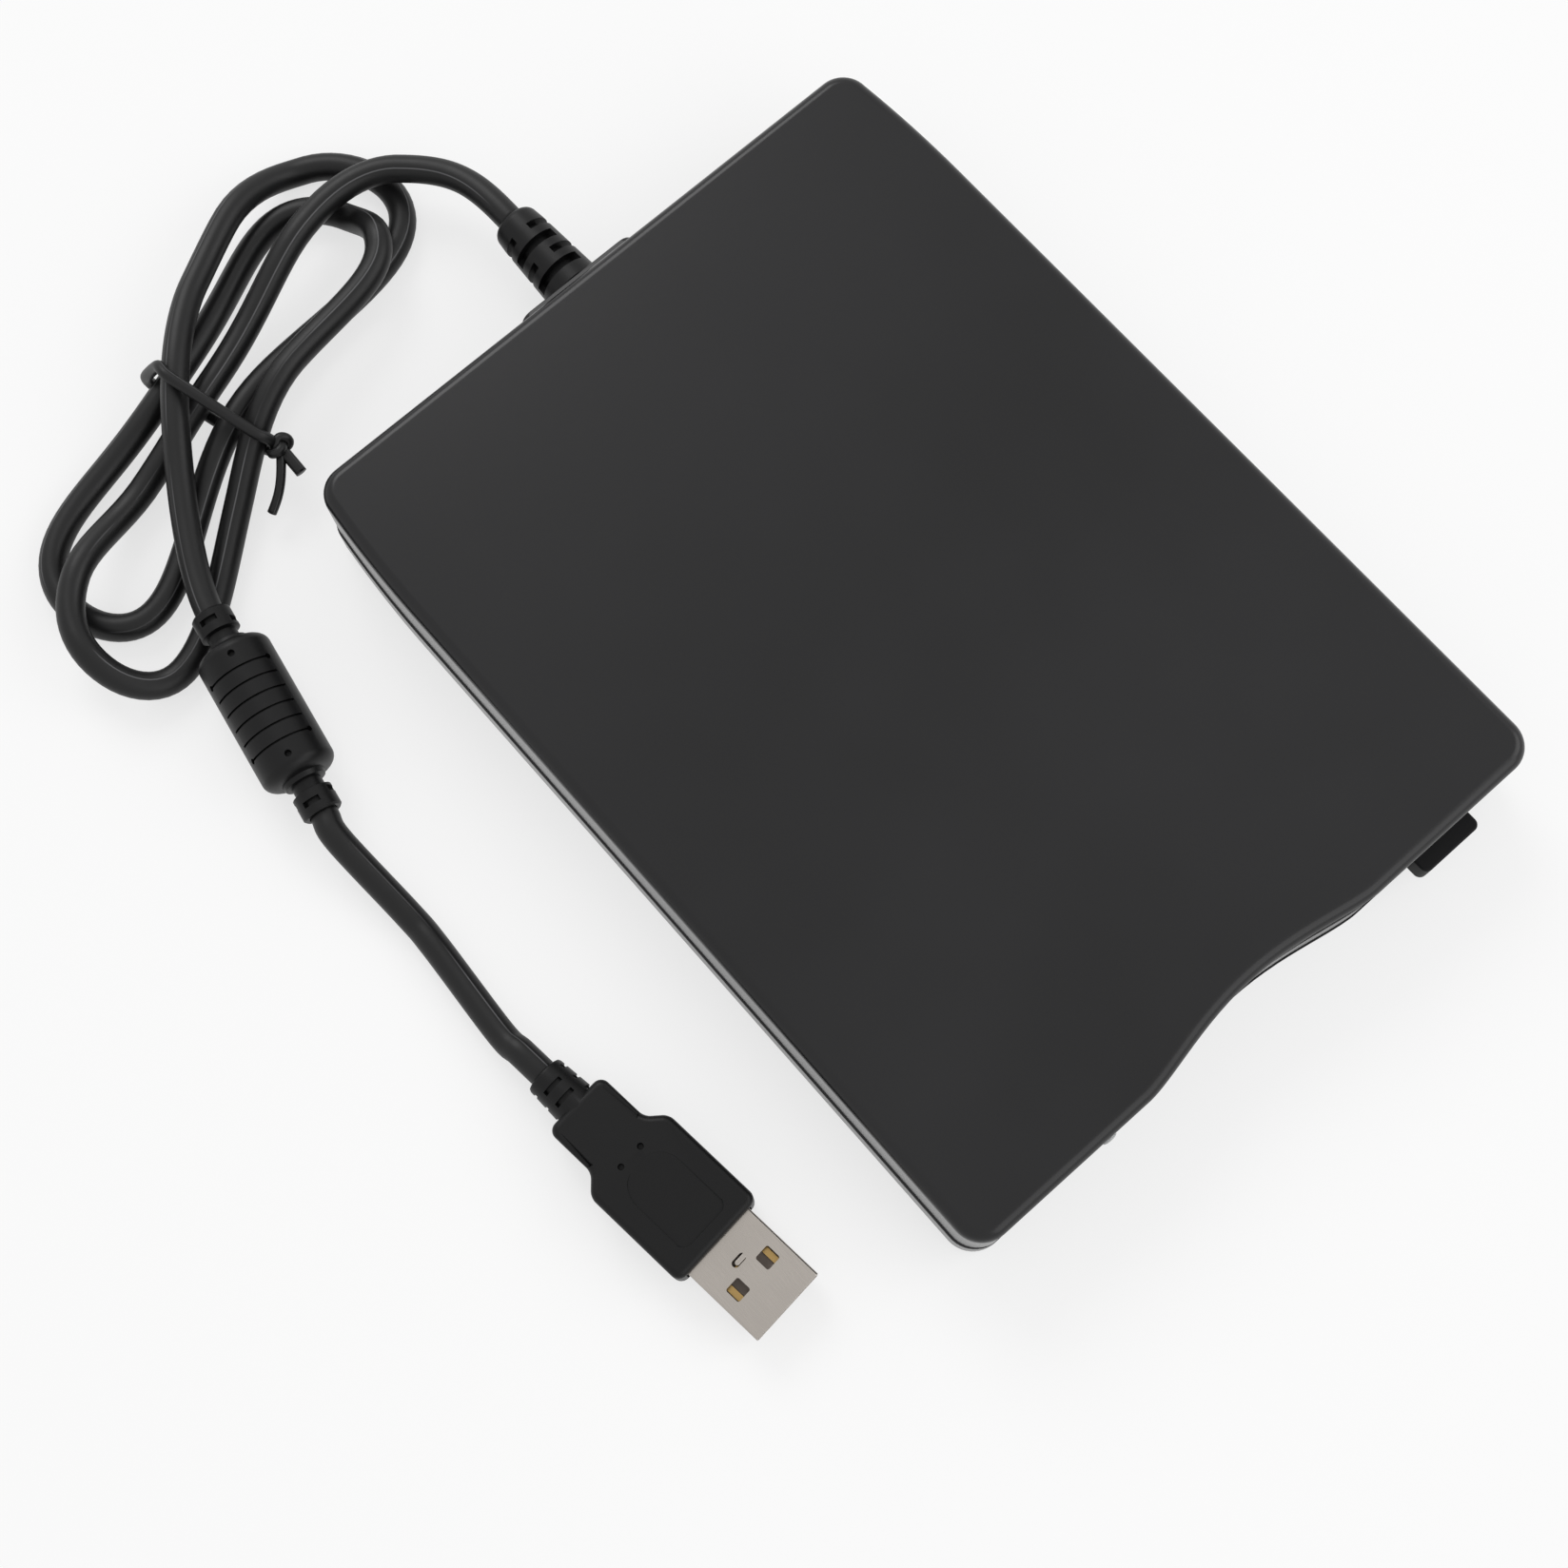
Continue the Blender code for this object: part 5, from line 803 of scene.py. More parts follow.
def jacket(name, colour):
    """The lead's soft jacket: drawn lines along it, a dull bloom, and a painted highlight along the mould line
    each side.
    """
    board = new_finish(name)
    along = board.add("UVMap", {"uv_map": "run"})
    drawn = board.add("Mapping", Vector=along, Scale=(60.0, 16.0, 1.0))
    lines = noise(board, drawn, 1.0, 3.0, 0.6)
    turn = board.add("SeparateXYZ", None, "Y", Vector=along)
    off_line = board.add("Math", {"operation": "PINGPONG"}, s0=turn, s1=0.25)
    # Painted highlight: along each mould line the jacket is mixed towards a colour 22 times as bright.
    mould_line_and_painted_highlight = 1 - off_line.between(0.004, 0.010)
    where = place_on(board)
    bloom = noise(board, where, 120.0, detail=3.0).between(0.35, 0.7)
    broken = noise(board, where, 60.0, detail=1.0).between(0.42, 0.56)
    grit = noise(board, where, 5200.0, detail=1.0)
    body = mixed(board, 0.4 * bloom + 0.3 * lines, shade(colour, 0.85), shade(colour, 1.35))
    close(
        board,
        # Painted highlight along the mould lines, in a colour 22 times the jacket's.
        Base_Color=mixed(board, mould_line_and_painted_highlight * broken * 0.8, body, shade(colour, 22.0)),
        Roughness=0.34 + 0.10 * lines + 0.08 * bloom,
        Normal=bumps(board, 0.6 * lines + 0.4 * grit, 0.00003, 0.5),
        Specular_IOR_Level=0.3,
    )


def circuit(name, colour, tin):
    """Green board: solder mask over tracks, with tinned pads in rows."""
    board = new_finish(name)
    where = place_on(board)
    tracks = board.add("TexBrick", {"offset": 0.35}, 1, Vector=where, Scale=900.0, Mortar_Size=0.10)
    ways = board.add("TexVoronoi", {"feature": "DISTANCE_TO_EDGE"}, Vector=where, Scale=420.0)
    copper = 1 - ways.between(0.03, 0.05)
    pads = 1 - board.add("TexVoronoi", Vector=where, Scale=520.0).between(0.16, 0.19)
    mask = mixed(board, copper * 0.8 + tracks * 0.12, shade(colour), shade(colour, 2.1))
    close(
        board,
        Base_Color=mixed(board, pads, mask, shade(tin)),
        Roughness=0.32 + 0.1 * ways,
        Metallic=pads,
        Normal=bumps(board, copper + pads, 0.00004, 0.5),
    )


def film(name, colour):
    """Amber film with copper lines in it."""
    board = new_finish(name)
    settings = {"bands_direction": "Y"}
    wave = board.add("TexWave", settings, 1, Vector=place_on(board), Scale=170.0, Distortion=0.0)
    lines = wave.between(0.55, 0.7)
    close(
        board,
        Base_Color=mixed(board, lines, shade(colour), shade(colour, 1.9)),
        Roughness=0.28 + 0.08 * lines,
        Normal=bumps(board, lines, 0.00003, 0.4),
    )


def lens_plastic(name, colour, clearness):
    """Clear or tinted plastic with a faint haze in it."""
    board = new_finish(name)
    haze = noise(board, place_on(board), 900.0)
    close(
        board,
        Base_Color=mixed(board, haze, shade(colour, 0.9), shade(colour, 1.05)),
        Roughness=0.16 + 0.1 * haze,
        Transmission_Weight=clearness,
        IOR=1.49,
    )


def make_finishes(colours):
    for name, colour, rough, grain, depth, smudge, specular in (
        ("casing", colours.casing, 0.25, 5200.0, 0.000006, 1.0, 0.29),
        ("trim", colours.trim, 0.28, 6000.0, 0.000006, 0.6, 0.29),
        ("key", colours.trim, 0.50, 6000.0, 0.000006, 0.6, 0.10),
        ("moulding", colours.moulding, 0.40, 6500.0, 0.00002, 0.8, 0.22),
        ("rubber", colours.rubber, 0.72, 3800.0, 0.00004, 0.5, 0.25),
        ("chip", colours.chip, 0.55, 7000.0, 0.00002, 0.4, 0.4),
        ("white_plastic", colours.white_plastic, 0.42, 5200.0, 0.00001, 0.3, 0.5),
        # The insulator finish is a darker, warmer copy of white plastic: painted shade for the plug's sleeve.
        ("insulator", colours.insulator, 0.45, 5200.0, 0.00001, 0.3, 0.3),
    ):
        moulded(name, colour, rough, grain, depth, smudge, specular)
    for name, colour, rough, grain, stretch, streak in (
        ("nickel", colours.nickel, 0.24, 5200.0, (1.0, 0.05, 1.0), 0.10),
        # The contact colour is darkened gold: painted shade of the plug's windows.
        ("contact", colours.contact, 0.22, 6000.0, (1.0, 0.1, 1.0), 0.08),
        ("steel", colours.steel, 0.28, 4200.0, (1.0, 1.0, 0.2), 0.12),
        ("sheet_steel", colours.sheet_steel, 0.36, 700.0, (0.08, 1.0, 1.0), 0.14),
    ):
        metal(name, colour, rough, grain, stretch, streak)
    jacket("cord_jacket", colours.jacket)
    circuit("board", colours.board, colours.tin)
    film("film", colours.film)
    lens_plastic("lens", colours.lens, clearness=0.55)
    lens_plastic("led_body", colours.led_body, clearness=0.2)


# Casing


def scoop(x):
    share = abs(x) / SCOOP_HALF_WIDTH
    return SCOOP_DEPTH * (1 - share * share) ** SCOOP_FULLNESS if share < 1 else 0.0


def scoop_cuts():
    """Places across the front, closer together where the scoop begins."""
    turns = [math.pi / 2 * (2 * i / SCOOP_CUTS - 1) for i in range(SCOOP_CUTS + 1)]
    return [SCOOP_HALF_WIDTH * math.sin(turn) for turn in turns]


def plan(name, inset, bottom, top):
    """A solid of the casing's plan drawn in by inset: round corners, a scoop in front, sides that draw in."""
    half = COVER_HIGH.x - inset
    radius = max(CORNER_RADIUS - inset, CORNER_RADIUS / 4)
    front = FRONT_Y + inset
    rear = REAR_Y - inset
    piece = block(name, (-half, front, bottom), (half, rear, top))
    round_off(piece, radius, CORNER_STEPS, upright)
    slice_faces(piece, facing(Y, -1, SQUARE), X, scoop_cuts())
    start = REAR_Y - DRAW_IN_RUN
    run = rear - radius - start
    cuts = [start + run * i / DRAW_IN_CUTS for i in range(DRAW_IN_CUTS)]
    slice_faces(piece, square_to(X), Y, cuts)
    for point in piece.data.vertices:
        if point.co.y < front + TOUCHING:
            point.co.y += scoop(point.co.x)
        elif point.co.y > start and abs(point.co.x) > half - radius - TOUCHING:
            share = min(1.0, (point.co.y - start) / run)
            point.co.x -= math.copysign(REAR_DRAW_IN * share * share, point.co.x)
    return piece


def case_windows(name):
    """Cutters of the openings for the front plate and for the bushing."""
    half = BEZEL_HIGH.x + CLEAR
    deep = SCOOP_DEPTH + BASE_WALL + BEYOND
    front = block(name + "_front", (-half, FRONT_Y - BEYOND, INNER_FLOOR), (half, FRONT_Y + deep, INNER_ROOF))
    neck = NECK_HALF_LENGTH + CLEAR
    low = (LEAD_X - neck, REAR_Y - BASE_WALL - BEYOND, LEAD_Z - NECK_HALF_RISE - CLEAR)
    rear = block(name + "_rear", low, (LEAD_X + neck, REAR_Y + BEYOND, LEAD_Z + NECK_HALF_RISE + CLEAR))
    return front, rear


def case_screws():
    """Where each screw of the casing stands, and how high it reaches: the rear pair, then the front pair."""
    return [place_of(f"case_screw_{i}") for i in range(1, 5)]


def build_cover(sizes):
    split = BASE_HIGH.z
    cover = plan("casing_cover", 0.0, COVER_LOW.z, COVER_HIGH.z)
    round_off(cover, sizes.edge_round, 6, outline_at(COVER_HIGH.z))
    round_off(cover, SEAM_EDGE, 2, outline_at(COVER_LOW.z))
    combine(cover, [plan("cover_hollow", WALL, COVER_LOW.z - BEYOND, INNER_ROOF)])
    for place, top in case_screws()[:2]:
        pillar(cover, "cover_boss", place, split, INNER_ROOF + WALL / 2, BOSS_RADIUS, "UNION")
        pillar(cover, "cover_pilot", place, split - BEYOND, top + CLEAR, PILOT_RADIUS)
    combine(cover, case_windows("cover_window"))
    dress(cover, "casing", ["top_cover"])


def build_base():
    wall_top = COVER_LOW.z - SEAM_HEIGHT
    root = INNER_FLOOR - BOSS_ROOT
    base = plan("casing_base", 0.0, BASE_LOW.z, wall_top)
    shape(base)
    bpy.ops.mesh.select_all(action="SELECT")
    bpy.ops.transform.resize(value=(1 + BASE_PROUD / BASE_HIGH.x, 1, 1), center_override=(0, 0, 0))
    object_mode()
    round_off(base, BASE_ROUND, 4, outline_at(BASE_LOW.z))
    round_off(base, SEAM_SHOULDER, 4, outline_at(wall_top))
    combine(base, [plan("base_lip", LIP_INSET, BASE_LOW.z + LIP_ROOT, BASE_HIGH.z)], "UNION")
    combine(base, [plan("base_hollow", BASE_WALL, INNER_FLOOR, BASE_HIGH.z + BEYOND)])
    combine(base, case_windows("base_window"))
    for place, _ in case_screws()[:2]:
        pillar(base, "base_boss", place, root, BASE_HIGH.z - CLEAR, BOSS_RADIUS, "UNION")
    for i in (1, 2):
        place, _ = place_of(f"chassis_screw_{i}")
        pillar(base, "base_pad", place, root, PAD_TOP, PAD_RADIUS, "UNION")
        pillar(base, "pad_pilot", place, root, PAD_PILOT_TOP, PILOT_RADIUS)
    for place, top in case_screws():
        pillar(base, "base_pilot", place, 0, top, PILOT_RADIUS)
        pillar(base, "base_well", place, 0, BASE_LOW.z + WELL_DEPTH, WELL_RADIUS)
    for i in range(1, 5):
        place, top = place_of(f"foot_{i}")
        pillar(base, "foot_well", place, 0, top + CLEAR, FOOT_WELL_RADIUS, sides=48)
    recess = block("plate_recess", RECESS_LOW, RECESS_HIGH)
    round_off(recess, RECESS_CORNER, 6, upright)
    combine(base, [recess])
    dress(base, "casing", ["bottom_case"])


def build_feet():
    """Rubber feet with a raised rim: one is modelled, and the others are copies of it."""
    places = [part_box(f"foot_{i}") for i in range(1, 5)]
    low, high = places[0]
    middle = (low + high) / 2
    ends = (middle.x, middle.y, low.z), (middle.x, middle.y, high.z)
    foot = cylinder("rubber_foot_1", *ends, (high.x - low.x) / 2, FOOT_SIDES)
    shape(foot)
    pick(foot, "FACE", facing(Z, -1))
    bpy.ops.mesh.inset(thickness=FOOT_RIM)
    bpy.ops.mesh.inset(thickness=FOOT_SLOPE)
    bpy.ops.transform.translate(value=(0, 0, FOOT_DISH))
    object_mode()
    round_off(foot, FOOT_ROUND, 3, turned_by)
    feet = [foot]
    for i, (corner, _) in enumerate(places[1:], 2):
        feet.append(copied(foot, f"rubber_foot_{i}", corner - low))
    for i, piece in enumerate(feet, 1):
        dress(piece, "rubber", [f"foot_{i}"])


def screw(name, radius, length):
    """A pan head with a cross recess, its shank and its thread, from the origin along the X axis."""
    root = SHANK_RADIUS - THREAD_DEPTH
    profile = [(0, 0), *((along, radius * share) for along, share in HEAD_ROUND)]
    profile += [(HEAD_HIGH, radius), (HEAD_HIGH, SHANK_RADIUS)]
    for i in range(int((length - HEAD_HIGH - UNTHREADED) / THREAD_PITCH)):
        start = HEAD_HIGH + THREAD_START + THREAD_PITCH * i
        profile += [(start, root), *((start + THREAD_PITCH * share, SHANK_RADIUS) for share in THREAD_CREST)]
    profile += [(length - POINT_LENGTH, root), (length, SHANK_RADIUS * POINT_SHARE), (length, 0)]
    piece = spun(name, profile, 32)
    for wide, thin in ((CROSS_REACH, CROSS_WIDTH), (CROSS_WIDTH, CROSS_REACH)):
        combine(piece, [block("cross", (-BEYOND, -wide, -thin), (CROSS_DEEP, wide, thin))])
    return piece


def build_screws():
    """Screws of one length are copies of the first. Those of the chassis point down, and the others up."""
    patterns = {}
    for node, name in SCREW_NAMES.items():
        low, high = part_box(node)
        size = ((high.x - low.x) / 2, high.z - low.z)
        kind = tuple(round(value, 5) for value in size)
        if kind not in patterns:
            patterns[kind] = screw("screw_pattern", *size)
        piece = copied(patterns[kind], name)
        down = node.startswith("chassis")
        turn = Vector((1, 0, 0)).rotation_difference(Vector((0, 0, -1 if down else 1)))
        middle = (low + high) / 2
        start = Vector((middle.x, middle.y, high.z if down else low.z))
        piece.data.transform(Matrix.Translation(start) @ turn.to_matrix().to_4x4())
        dress(piece, "steel", [node], 35)
    for pattern in patterns.values():
        bpy.data.objects.remove(pattern)


# Front


def build_front_plate(sizes):
    front = BEZEL_LOW.y
    half = BEZEL_HIGH.x
    bottom, top = BEZEL_LOW.z, BEZEL_HIGH.z
    near, far = FRONT_Y - BEYOND, FRONT_Y + SCOOP_DEPTH + PLATE_CUT
    plate = block("front_plate", (-half, front, bottom), (half, front + PLATE_THICK, top))
    slice_faces(plate, square_to(Y), X, scoop_cuts())
    for point in plate.data.vertices:
        point.co.y += scoop(point.co.x)
    combine(plate, [block("slot", (-SLOT_HALF_WIDTH, near, SLOT_BOTTOM), (SLOT_HALF_WIDTH, far, SLOT_TOP))])
    low = (BUTTON_LOW.x - CLEAR, near, BUTTON_LOW.z - CLEAR)
    key_hole = block("key_hole", low, (BUTTON_HIGH.x + CLEAR, far, BUTTON_HIGH.z + CLEAR))
    round_off(key_hole, KEY_HOLE_CORNER, 4, along_y)
    combine(plate, [key_hole])
    x, z = lens_place()
    combine(plate, [cylinder("lens_hole", (x, near, z), (x, far, z), LENS_HOLE_RADIUS)])

    def front_rim(edge):
        return turned_by(edge, 1.2) and all(
            point.co.y < front + scoop(point.co.x) + PLATE_RIM for point in edge.verts
        )

    round_off(plate, sizes.slot_round, 3, front_rim)
    inner = front + PLATE_THICK / 2
    axis_y, axis_z = hinge_place()
    (screw_x, screw_y), _ = case_screws()[3]
    for side in (-1, 1):
        middle = side * screw_x
        low = (middle - LUG_HALF_WIDTH, inner, bottom)
        combine(plate, [block("lug", low, (middle + LUG_HALF_WIDTH, inner + LUG_DEPTH, LUG_TOP))], "UNION")
        pillar(plate, "lug_pilot", (middle, screw_y), 0, LUG_PILOT_TOP, PILOT_RADIUS)
        ear = side * EAR_PLACE
        low = (ear - EAR_HALF_THICK, inner, axis_z - EAR_REACH)
        combine(plate, [block("ear", low, (ear + EAR_HALF_THICK, axis_y + EAR_REACH, top))], "UNION")
    combine(plate, [along_hinge("pin_hole", half, HINGE_BORE_RADIUS)])
    dress(plate, "trim", ["front_bezel"])


def lens_place():
    return (LENS_LOW.x + LENS_HIGH.x) / 2, (LENS_LOW.z + LENS_HIGH.z) / 2


def hinge_place():
    low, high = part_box("door_pin")
    return (low.y + high.y) / 2, (low.z + high.z) / 2


def along_hinge(name, half, radius):
    """A cylinder on the axis of the flap's hinge, half of it on each side."""
    axis = hinge_place()
    return cylinder(name, (-half, *axis), (half, *axis), radius)


def build_door():
    """The flap behind the slot: a barrel on the pin, a plate with a moulded rib and a soft lower edge."""
    low, high = FLAP_LOW, FLAP_HIGH
    axis_y, axis_z = hinge_place()
    near, far = axis_y - FLAP_HALF_THICK, axis_y + FLAP_HALF_THICK
    barrel = along_hinge("slot_flap", BARREL_HALF_LENGTH, BARREL_RADIUS)
    plate_high = (BARREL_HALF_LENGTH, far, axis_z - FLAP_JOIN)
    combine(barrel, [block("flap_plate", (-BARREL_HALF_LENGTH, near, low.z), plate_high)], "UNION")
    wing = block("flap_wing", (low.x, near, low.z), (high.x, far, axis_z - WING_DROP))
    rib_low = (low.x + RIB_INSET, axis_y - RIB_REACH, RIB_BOTTOM)
    rib = block("flap_rib", rib_low, (high.x - RIB_INSET, axis_y, RIB_TOP))
    for part, width in ((wing, FLAP_ROUND), (rib, RIB_ROUND)):
        round_off(part, width, 2, turned_by)
        combine(barrel, [part], "UNION")
    combine(barrel, [along_hinge("flap_bore", high.x + 2 * BEYOND, HINGE_BORE_RADIUS)])
    dress(barrel, "trim", ["slot_door"])
    rod = along_hinge("flap_pin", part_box("door_pin")[1].x, HINGE_RADIUS)
    round_off(rod, FLAP_ROUND, 2, turned_by)
    dress(rod, "steel", ["door_pin"])


def build_button():
    low, high = BUTTON_LOW, BUTTON_HIGH
    button = block("eject_key", low, (high.x, low.y + KEY_DEPTH, high.z))
    round_off(button, KEY_CORNER, 6, lambda edge: upright(edge) and edge.verts[0].co.y < low.y + NEAR)
    round_off(button, KEY_EDGE, 3, lambda edge: turned_by(edge) and not upright(edge))
    middle = (low.x + high.x) / 2
    stem_low = (middle - STEM_HALF_WIDTH, low.y + KEY_DEPTH / 2, STEM_BOTTOM)
    stem = block("key_stem", stem_low, (middle + STEM_HALF_WIDTH, high.y, STEM_TOP))
    combine(button, [stem], "UNION")
    dress(button, "key", ["eject_button"])


def build_lens():
    """A clear rod with a domed tip."""
    x, z = lens_place()
    radius = (LENS_HIGH.x - LENS_LOW.x) / 2
    length = LENS_HIGH.y - LENS_LOW.y
    profile = [(0, 0)]
    for i in range(1, DOME_STEPS + 1):
        angle = math.pi / 2 * i / DOME_STEPS
        profile.append((LENS_DOME * (1 - math.cos(angle)), radius * math.sin(angle)))
    profile += [(length - LENS_EDGE, radius), (length, radius - LENS_EDGE), (length, 0)]
    lens = spun("status_lens", profile, 40)
    lay_along(lens, Vector((x, LENS_LOW.y, z)), Vector((0, 1, 0)))
    dress(lens, "lens", ["led_lens"])


# Rear


def build_bushing():
    low, high = BUSHING_LOW, BUSHING_HIGH
    near = REAR_Y + CLEAR / 2
    far = high.y + BUSHING_PROUD
    bushing = block("lead_bushing", (low.x, near, low.z), (high.x, far, high.z))
    shape(bushing)
    pick(bushing, "FACE", facing(Y, 1))
    width, height = high.x - low.x, high.z - low.z
    narrow, lower = (width - 2 * BUSHING_TAPER) / width, (height - BUSHING_TAPER / 2) / height
    bpy.ops.transform.resize(value=(narrow, 1, lower))
    object_mode()

    def outwards(edge):
        return abs((edge.verts[1].co - edge.verts[0].co).normalized().y) > STEEP

    def outer(edge):
        return turned_by(edge, 0.8) and edge.verts[0].co.y > near + BEYOND

    round_off(bushing, BUSHING_CORNER, 6, outwards)
    round_off(bushing, BUSHING_EDGE, 4, outer)
    neck_low = (LEAD_X - NECK_HALF_LENGTH, low.y, LEAD_Z - NECK_HALF_RISE)
    neck_high = (LEAD_X + NECK_HALF_LENGTH, near + NECK_JOIN, LEAD_Z + NECK_HALF_RISE)
    combine(bushing, [block("neck", neck_low, neck_high)], "UNION")
    ends = (LEAD_X, low.y - BEYOND, LEAD_Z), (LEAD_X, far + BEYOND, LEAD_Z)
    combine(bushing, [cylinder("bushing_bore", *ends, RELIEF_NECK_RADIUS + CLEAR, 48)])
    dress(bushing, "trim", ["rear_bushing"])


def build_relief():
    """The tapered relief at the drive: rows of slots, each turned a quarter from the last."""
    outside = BUSHING_HIGH.y + BUSHING_PROUD + CLEAR / 2
    length = RELIEF_HIGH.y - RELIEF_SHORT - outside
    root = outside - RELIEF_LOW.y
    wide, tip, neck = RELIEF_ROOT_RADIUS, RELIEF_TIP_RADIUS, RELIEF_NECK_RADIUS

    def radius_at(along):
        return wide + (tip - wide) * min(1.0, along / length)

    flange = RELIEF_FLANGE - root
    profile = [(-root, 0), (-root, wide), (flange, wide), (flange, neck), (0, neck)]
    profile += [(0, wide - RELIEF_EDGE), (RELIEF_EDGE, wide)]
    for i in range(1, RELIEF_SIDE_STEPS):
        along = length * RELIEF_SIDE_SHARE * i / RELIEF_SIDE_STEPS
        profile.append((along, radius_at(along)))
    for i in range(RELIEF_NOSE_STEPS + 1):
        angle = math.pi / 2 * i / RELIEF_NOSE_STEPS
        drop = RELIEF_NOSE * NOSE_SHARE * (1 - math.cos(angle))
        profile.append((length - RELIEF_NOSE * (1 - math.sin(angle)), tip - drop))
    hollow = length - RELIEF_HOLLOW
    profile += [(length, CORD_MOUTH), (hollow, CORD_RADIUS), (hollow, 0)]
    relief = spun("lead_relief", profile, 64)
    for i in range(RELIEF_SLOT_COUNT):
        along = RELIEF_FIRST_SLOT + RELIEF_SLOT_PITCH * i
        turn, half_span, width = RELIEF_SLOT_KINDS[i % 2]
        slots(relief, along, RELIEF_ROLL + turn, half_span, radius_at(along), RELIEF_SLOT_DEPTH, width)
    lay_along(relief, Vector((LEAD_X, outside, LEAD_Z)), Vector((0, 1, 0)))
    dress(relief, "moulding", ["strain_relief"], 28)


# Lead


def ease(share):
    share = max(0.0, min(1.0, share))
    return share * share * (3 - 2 * share)


def bundle_place(along, across, z):
    return BUNDLE + Matrix.Rotation(BUNDLE_TURN, 3, "Z") @ Vector((along, across, z))


def waist_lift(along):
    return WAIST_LIFT * math.exp(-((along / WAIST_LIFT_REACH) ** 2))


def bundle_point(half_turns):
    """Where the lead is after so many half turns of the bundle."""
    fold = min(int(half_turns), len(WAIST_MIDDLE) - 1)
    share = half_turns - fold

    def between(values):
        return values[fold] + (values[fold + 1] - values[fold]) * ease(share)

    middle = between(FOLD_MIDDLE)
    drift = WAIST_MIDDLE[fold] - (FOLD_MIDDLE[fold] + FOLD_MIDDLE[fold + 1]) / 2
    middle += drift * math.sin(math.pi * share) ** 2
    angle = math.pi * half_turns
    along = between(FOLD_REACH) * math.cos(angle)
    across = middle + between(FOLD_HALF_WIDTH) * math.sin(angle) * (1 + PINCH_SHARE * math.cos(2 * angle))
    climb = 0.0
    for start, full, full_end, end in CLIMBS:
        up = ease((half_turns - start) / (full - start))
        down = ease((end - half_turns) / (end - full_end))
        climb = max(climb, STACK * min(up, down))
    return bundle_place(along, across, CORD_REST + climb + waist_lift(along))


def bent(start, first, second, end, count):
    """Points of a bend from start towards first, and to end from second."""
    points = []
    for i in range(1, count + 1):
        t = i / count
        place = start * (1 - t) ** 3 + first * (3 * t * (1 - t) ** 2)
        points.append(place + second * (3 * t * t * (1 - t)) + end * t**3)
    return points


def smooth_route(points, count):
    """Evenly spread points on a smooth curve through the ones given."""
    ends = [2 * points[0] - points[1], *points, 2 * points[-1] - points[-2]]
    fine = []
    for i in range(1, len(ends) - 2):
        before, start, end, after = ends[i - 1 : i + 3]
        for step in range(SMOOTH_STEPS):
            t = step / SMOOTH_STEPS
            bow = (2 * before - 5 * start + 4 * end - after) * (t * t / 2)
            twist = (3 * start - before - 3 * end + after) * (t**3 / 2)
            fine.append(start + (end - before) * (t / 2) + bow + twist)
    fine.append(ends[-2])
    gone = [0.0]
    for a, b in zip(fine, fine[1:]):
        gone.append(gone[-1] + (b - a).length)
    route = []
    at = 0
    for i in range(count):
        goal = gone[-1] * i / (count - 1)
        while at < len(fine) - 2 and gone[at + 1] < goal:
            at += 1
        route.append(fine[at].lerp(fine[at + 1], (goal - gone[at]) / (gone[at + 1] - gone[at])))
    return route


def lead_route():
    """The lead from its relief through the bundle to the ferrite."""
    steps = round((LAST_HALF_TURN - FIRST_HALF_TURN) * STEPS_PER_HALF_TURN)
    span = LAST_HALF_TURN - FIRST_HALF_TURN
    bundle = [bundle_point(FIRST_HALF_TURN + span * i / steps) for i in range(steps + 1)]
    start = Vector((LEAD_X, RELIEF_HIGH.y - CORD_OVERLAP, LEAD_Z))
    heading = (bundle[1] - bundle[0]).normalized()
    pull = (bundle[0] - start).length * LEAD_PULL_SHARE
    first = start + Vector((0, pull, 0))
    route = [start, *bent(start, first, bundle[0] - heading * pull, bundle[0], LEAD_STEPS)]
    route += bundle[1:]
    heading = (bundle[-1] - bundle[-2]).normalized()
    end = FERRITE_START + FERRITE_WAY * CORD_OVERLAP
    first = bundle[-1] + heading * RUN_OUT_PULL
    way_out = bent(bundle[-1], first, end - FERRITE_WAY * RUN_OUT_PULL, end, RUN_OUT_STEPS)
    for i, place in enumerate(way_out, 1):
        t = i / RUN_OUT_STEPS
        away = place - BUNDLE
        along = away.x * math.cos(BUNDLE_TURN) + away.y * math.sin(BUNDLE_TURN)
        lift = CORD_REST + STACK + waist_lift(along)
        place.z = lift + (end.z - lift) * ease(t * t)
        route.append(place)
    return route


def tail_route():
    """The lead from the ferrite down to the floor and on to the plug."""
    start = FERRITE_START + FERRITE_WAY * (FERRITE_REACH + CLEAR)
    end = PLUG_START - PLUG_WAY * CLEAR
    middle = (start + end) / 2
    middle.z = CORD_REST + CLEAR / 2
    points = [
        start,
        start + FERRITE_WAY * 2 * CORD_RADIUS,
        Vector((middle.x, start.y + (middle.y - start.y) * TAIL_SWING, middle.z)),
        middle,
        end - PLUG_WAY * 4 * CORD_RADIUS - Vector((0, 0, (end.z - middle.z) * TAIL_SLOPE)),
        end - PLUG_WAY * 2 * CORD_RADIUS,
        end,
    ]
    route = smooth_route(points, TAIL_STEPS)
    return [start - FERRITE_WAY * TAIL_OVERLAP, *route, end + PLUG_WAY * TAIL_OVERLAP]


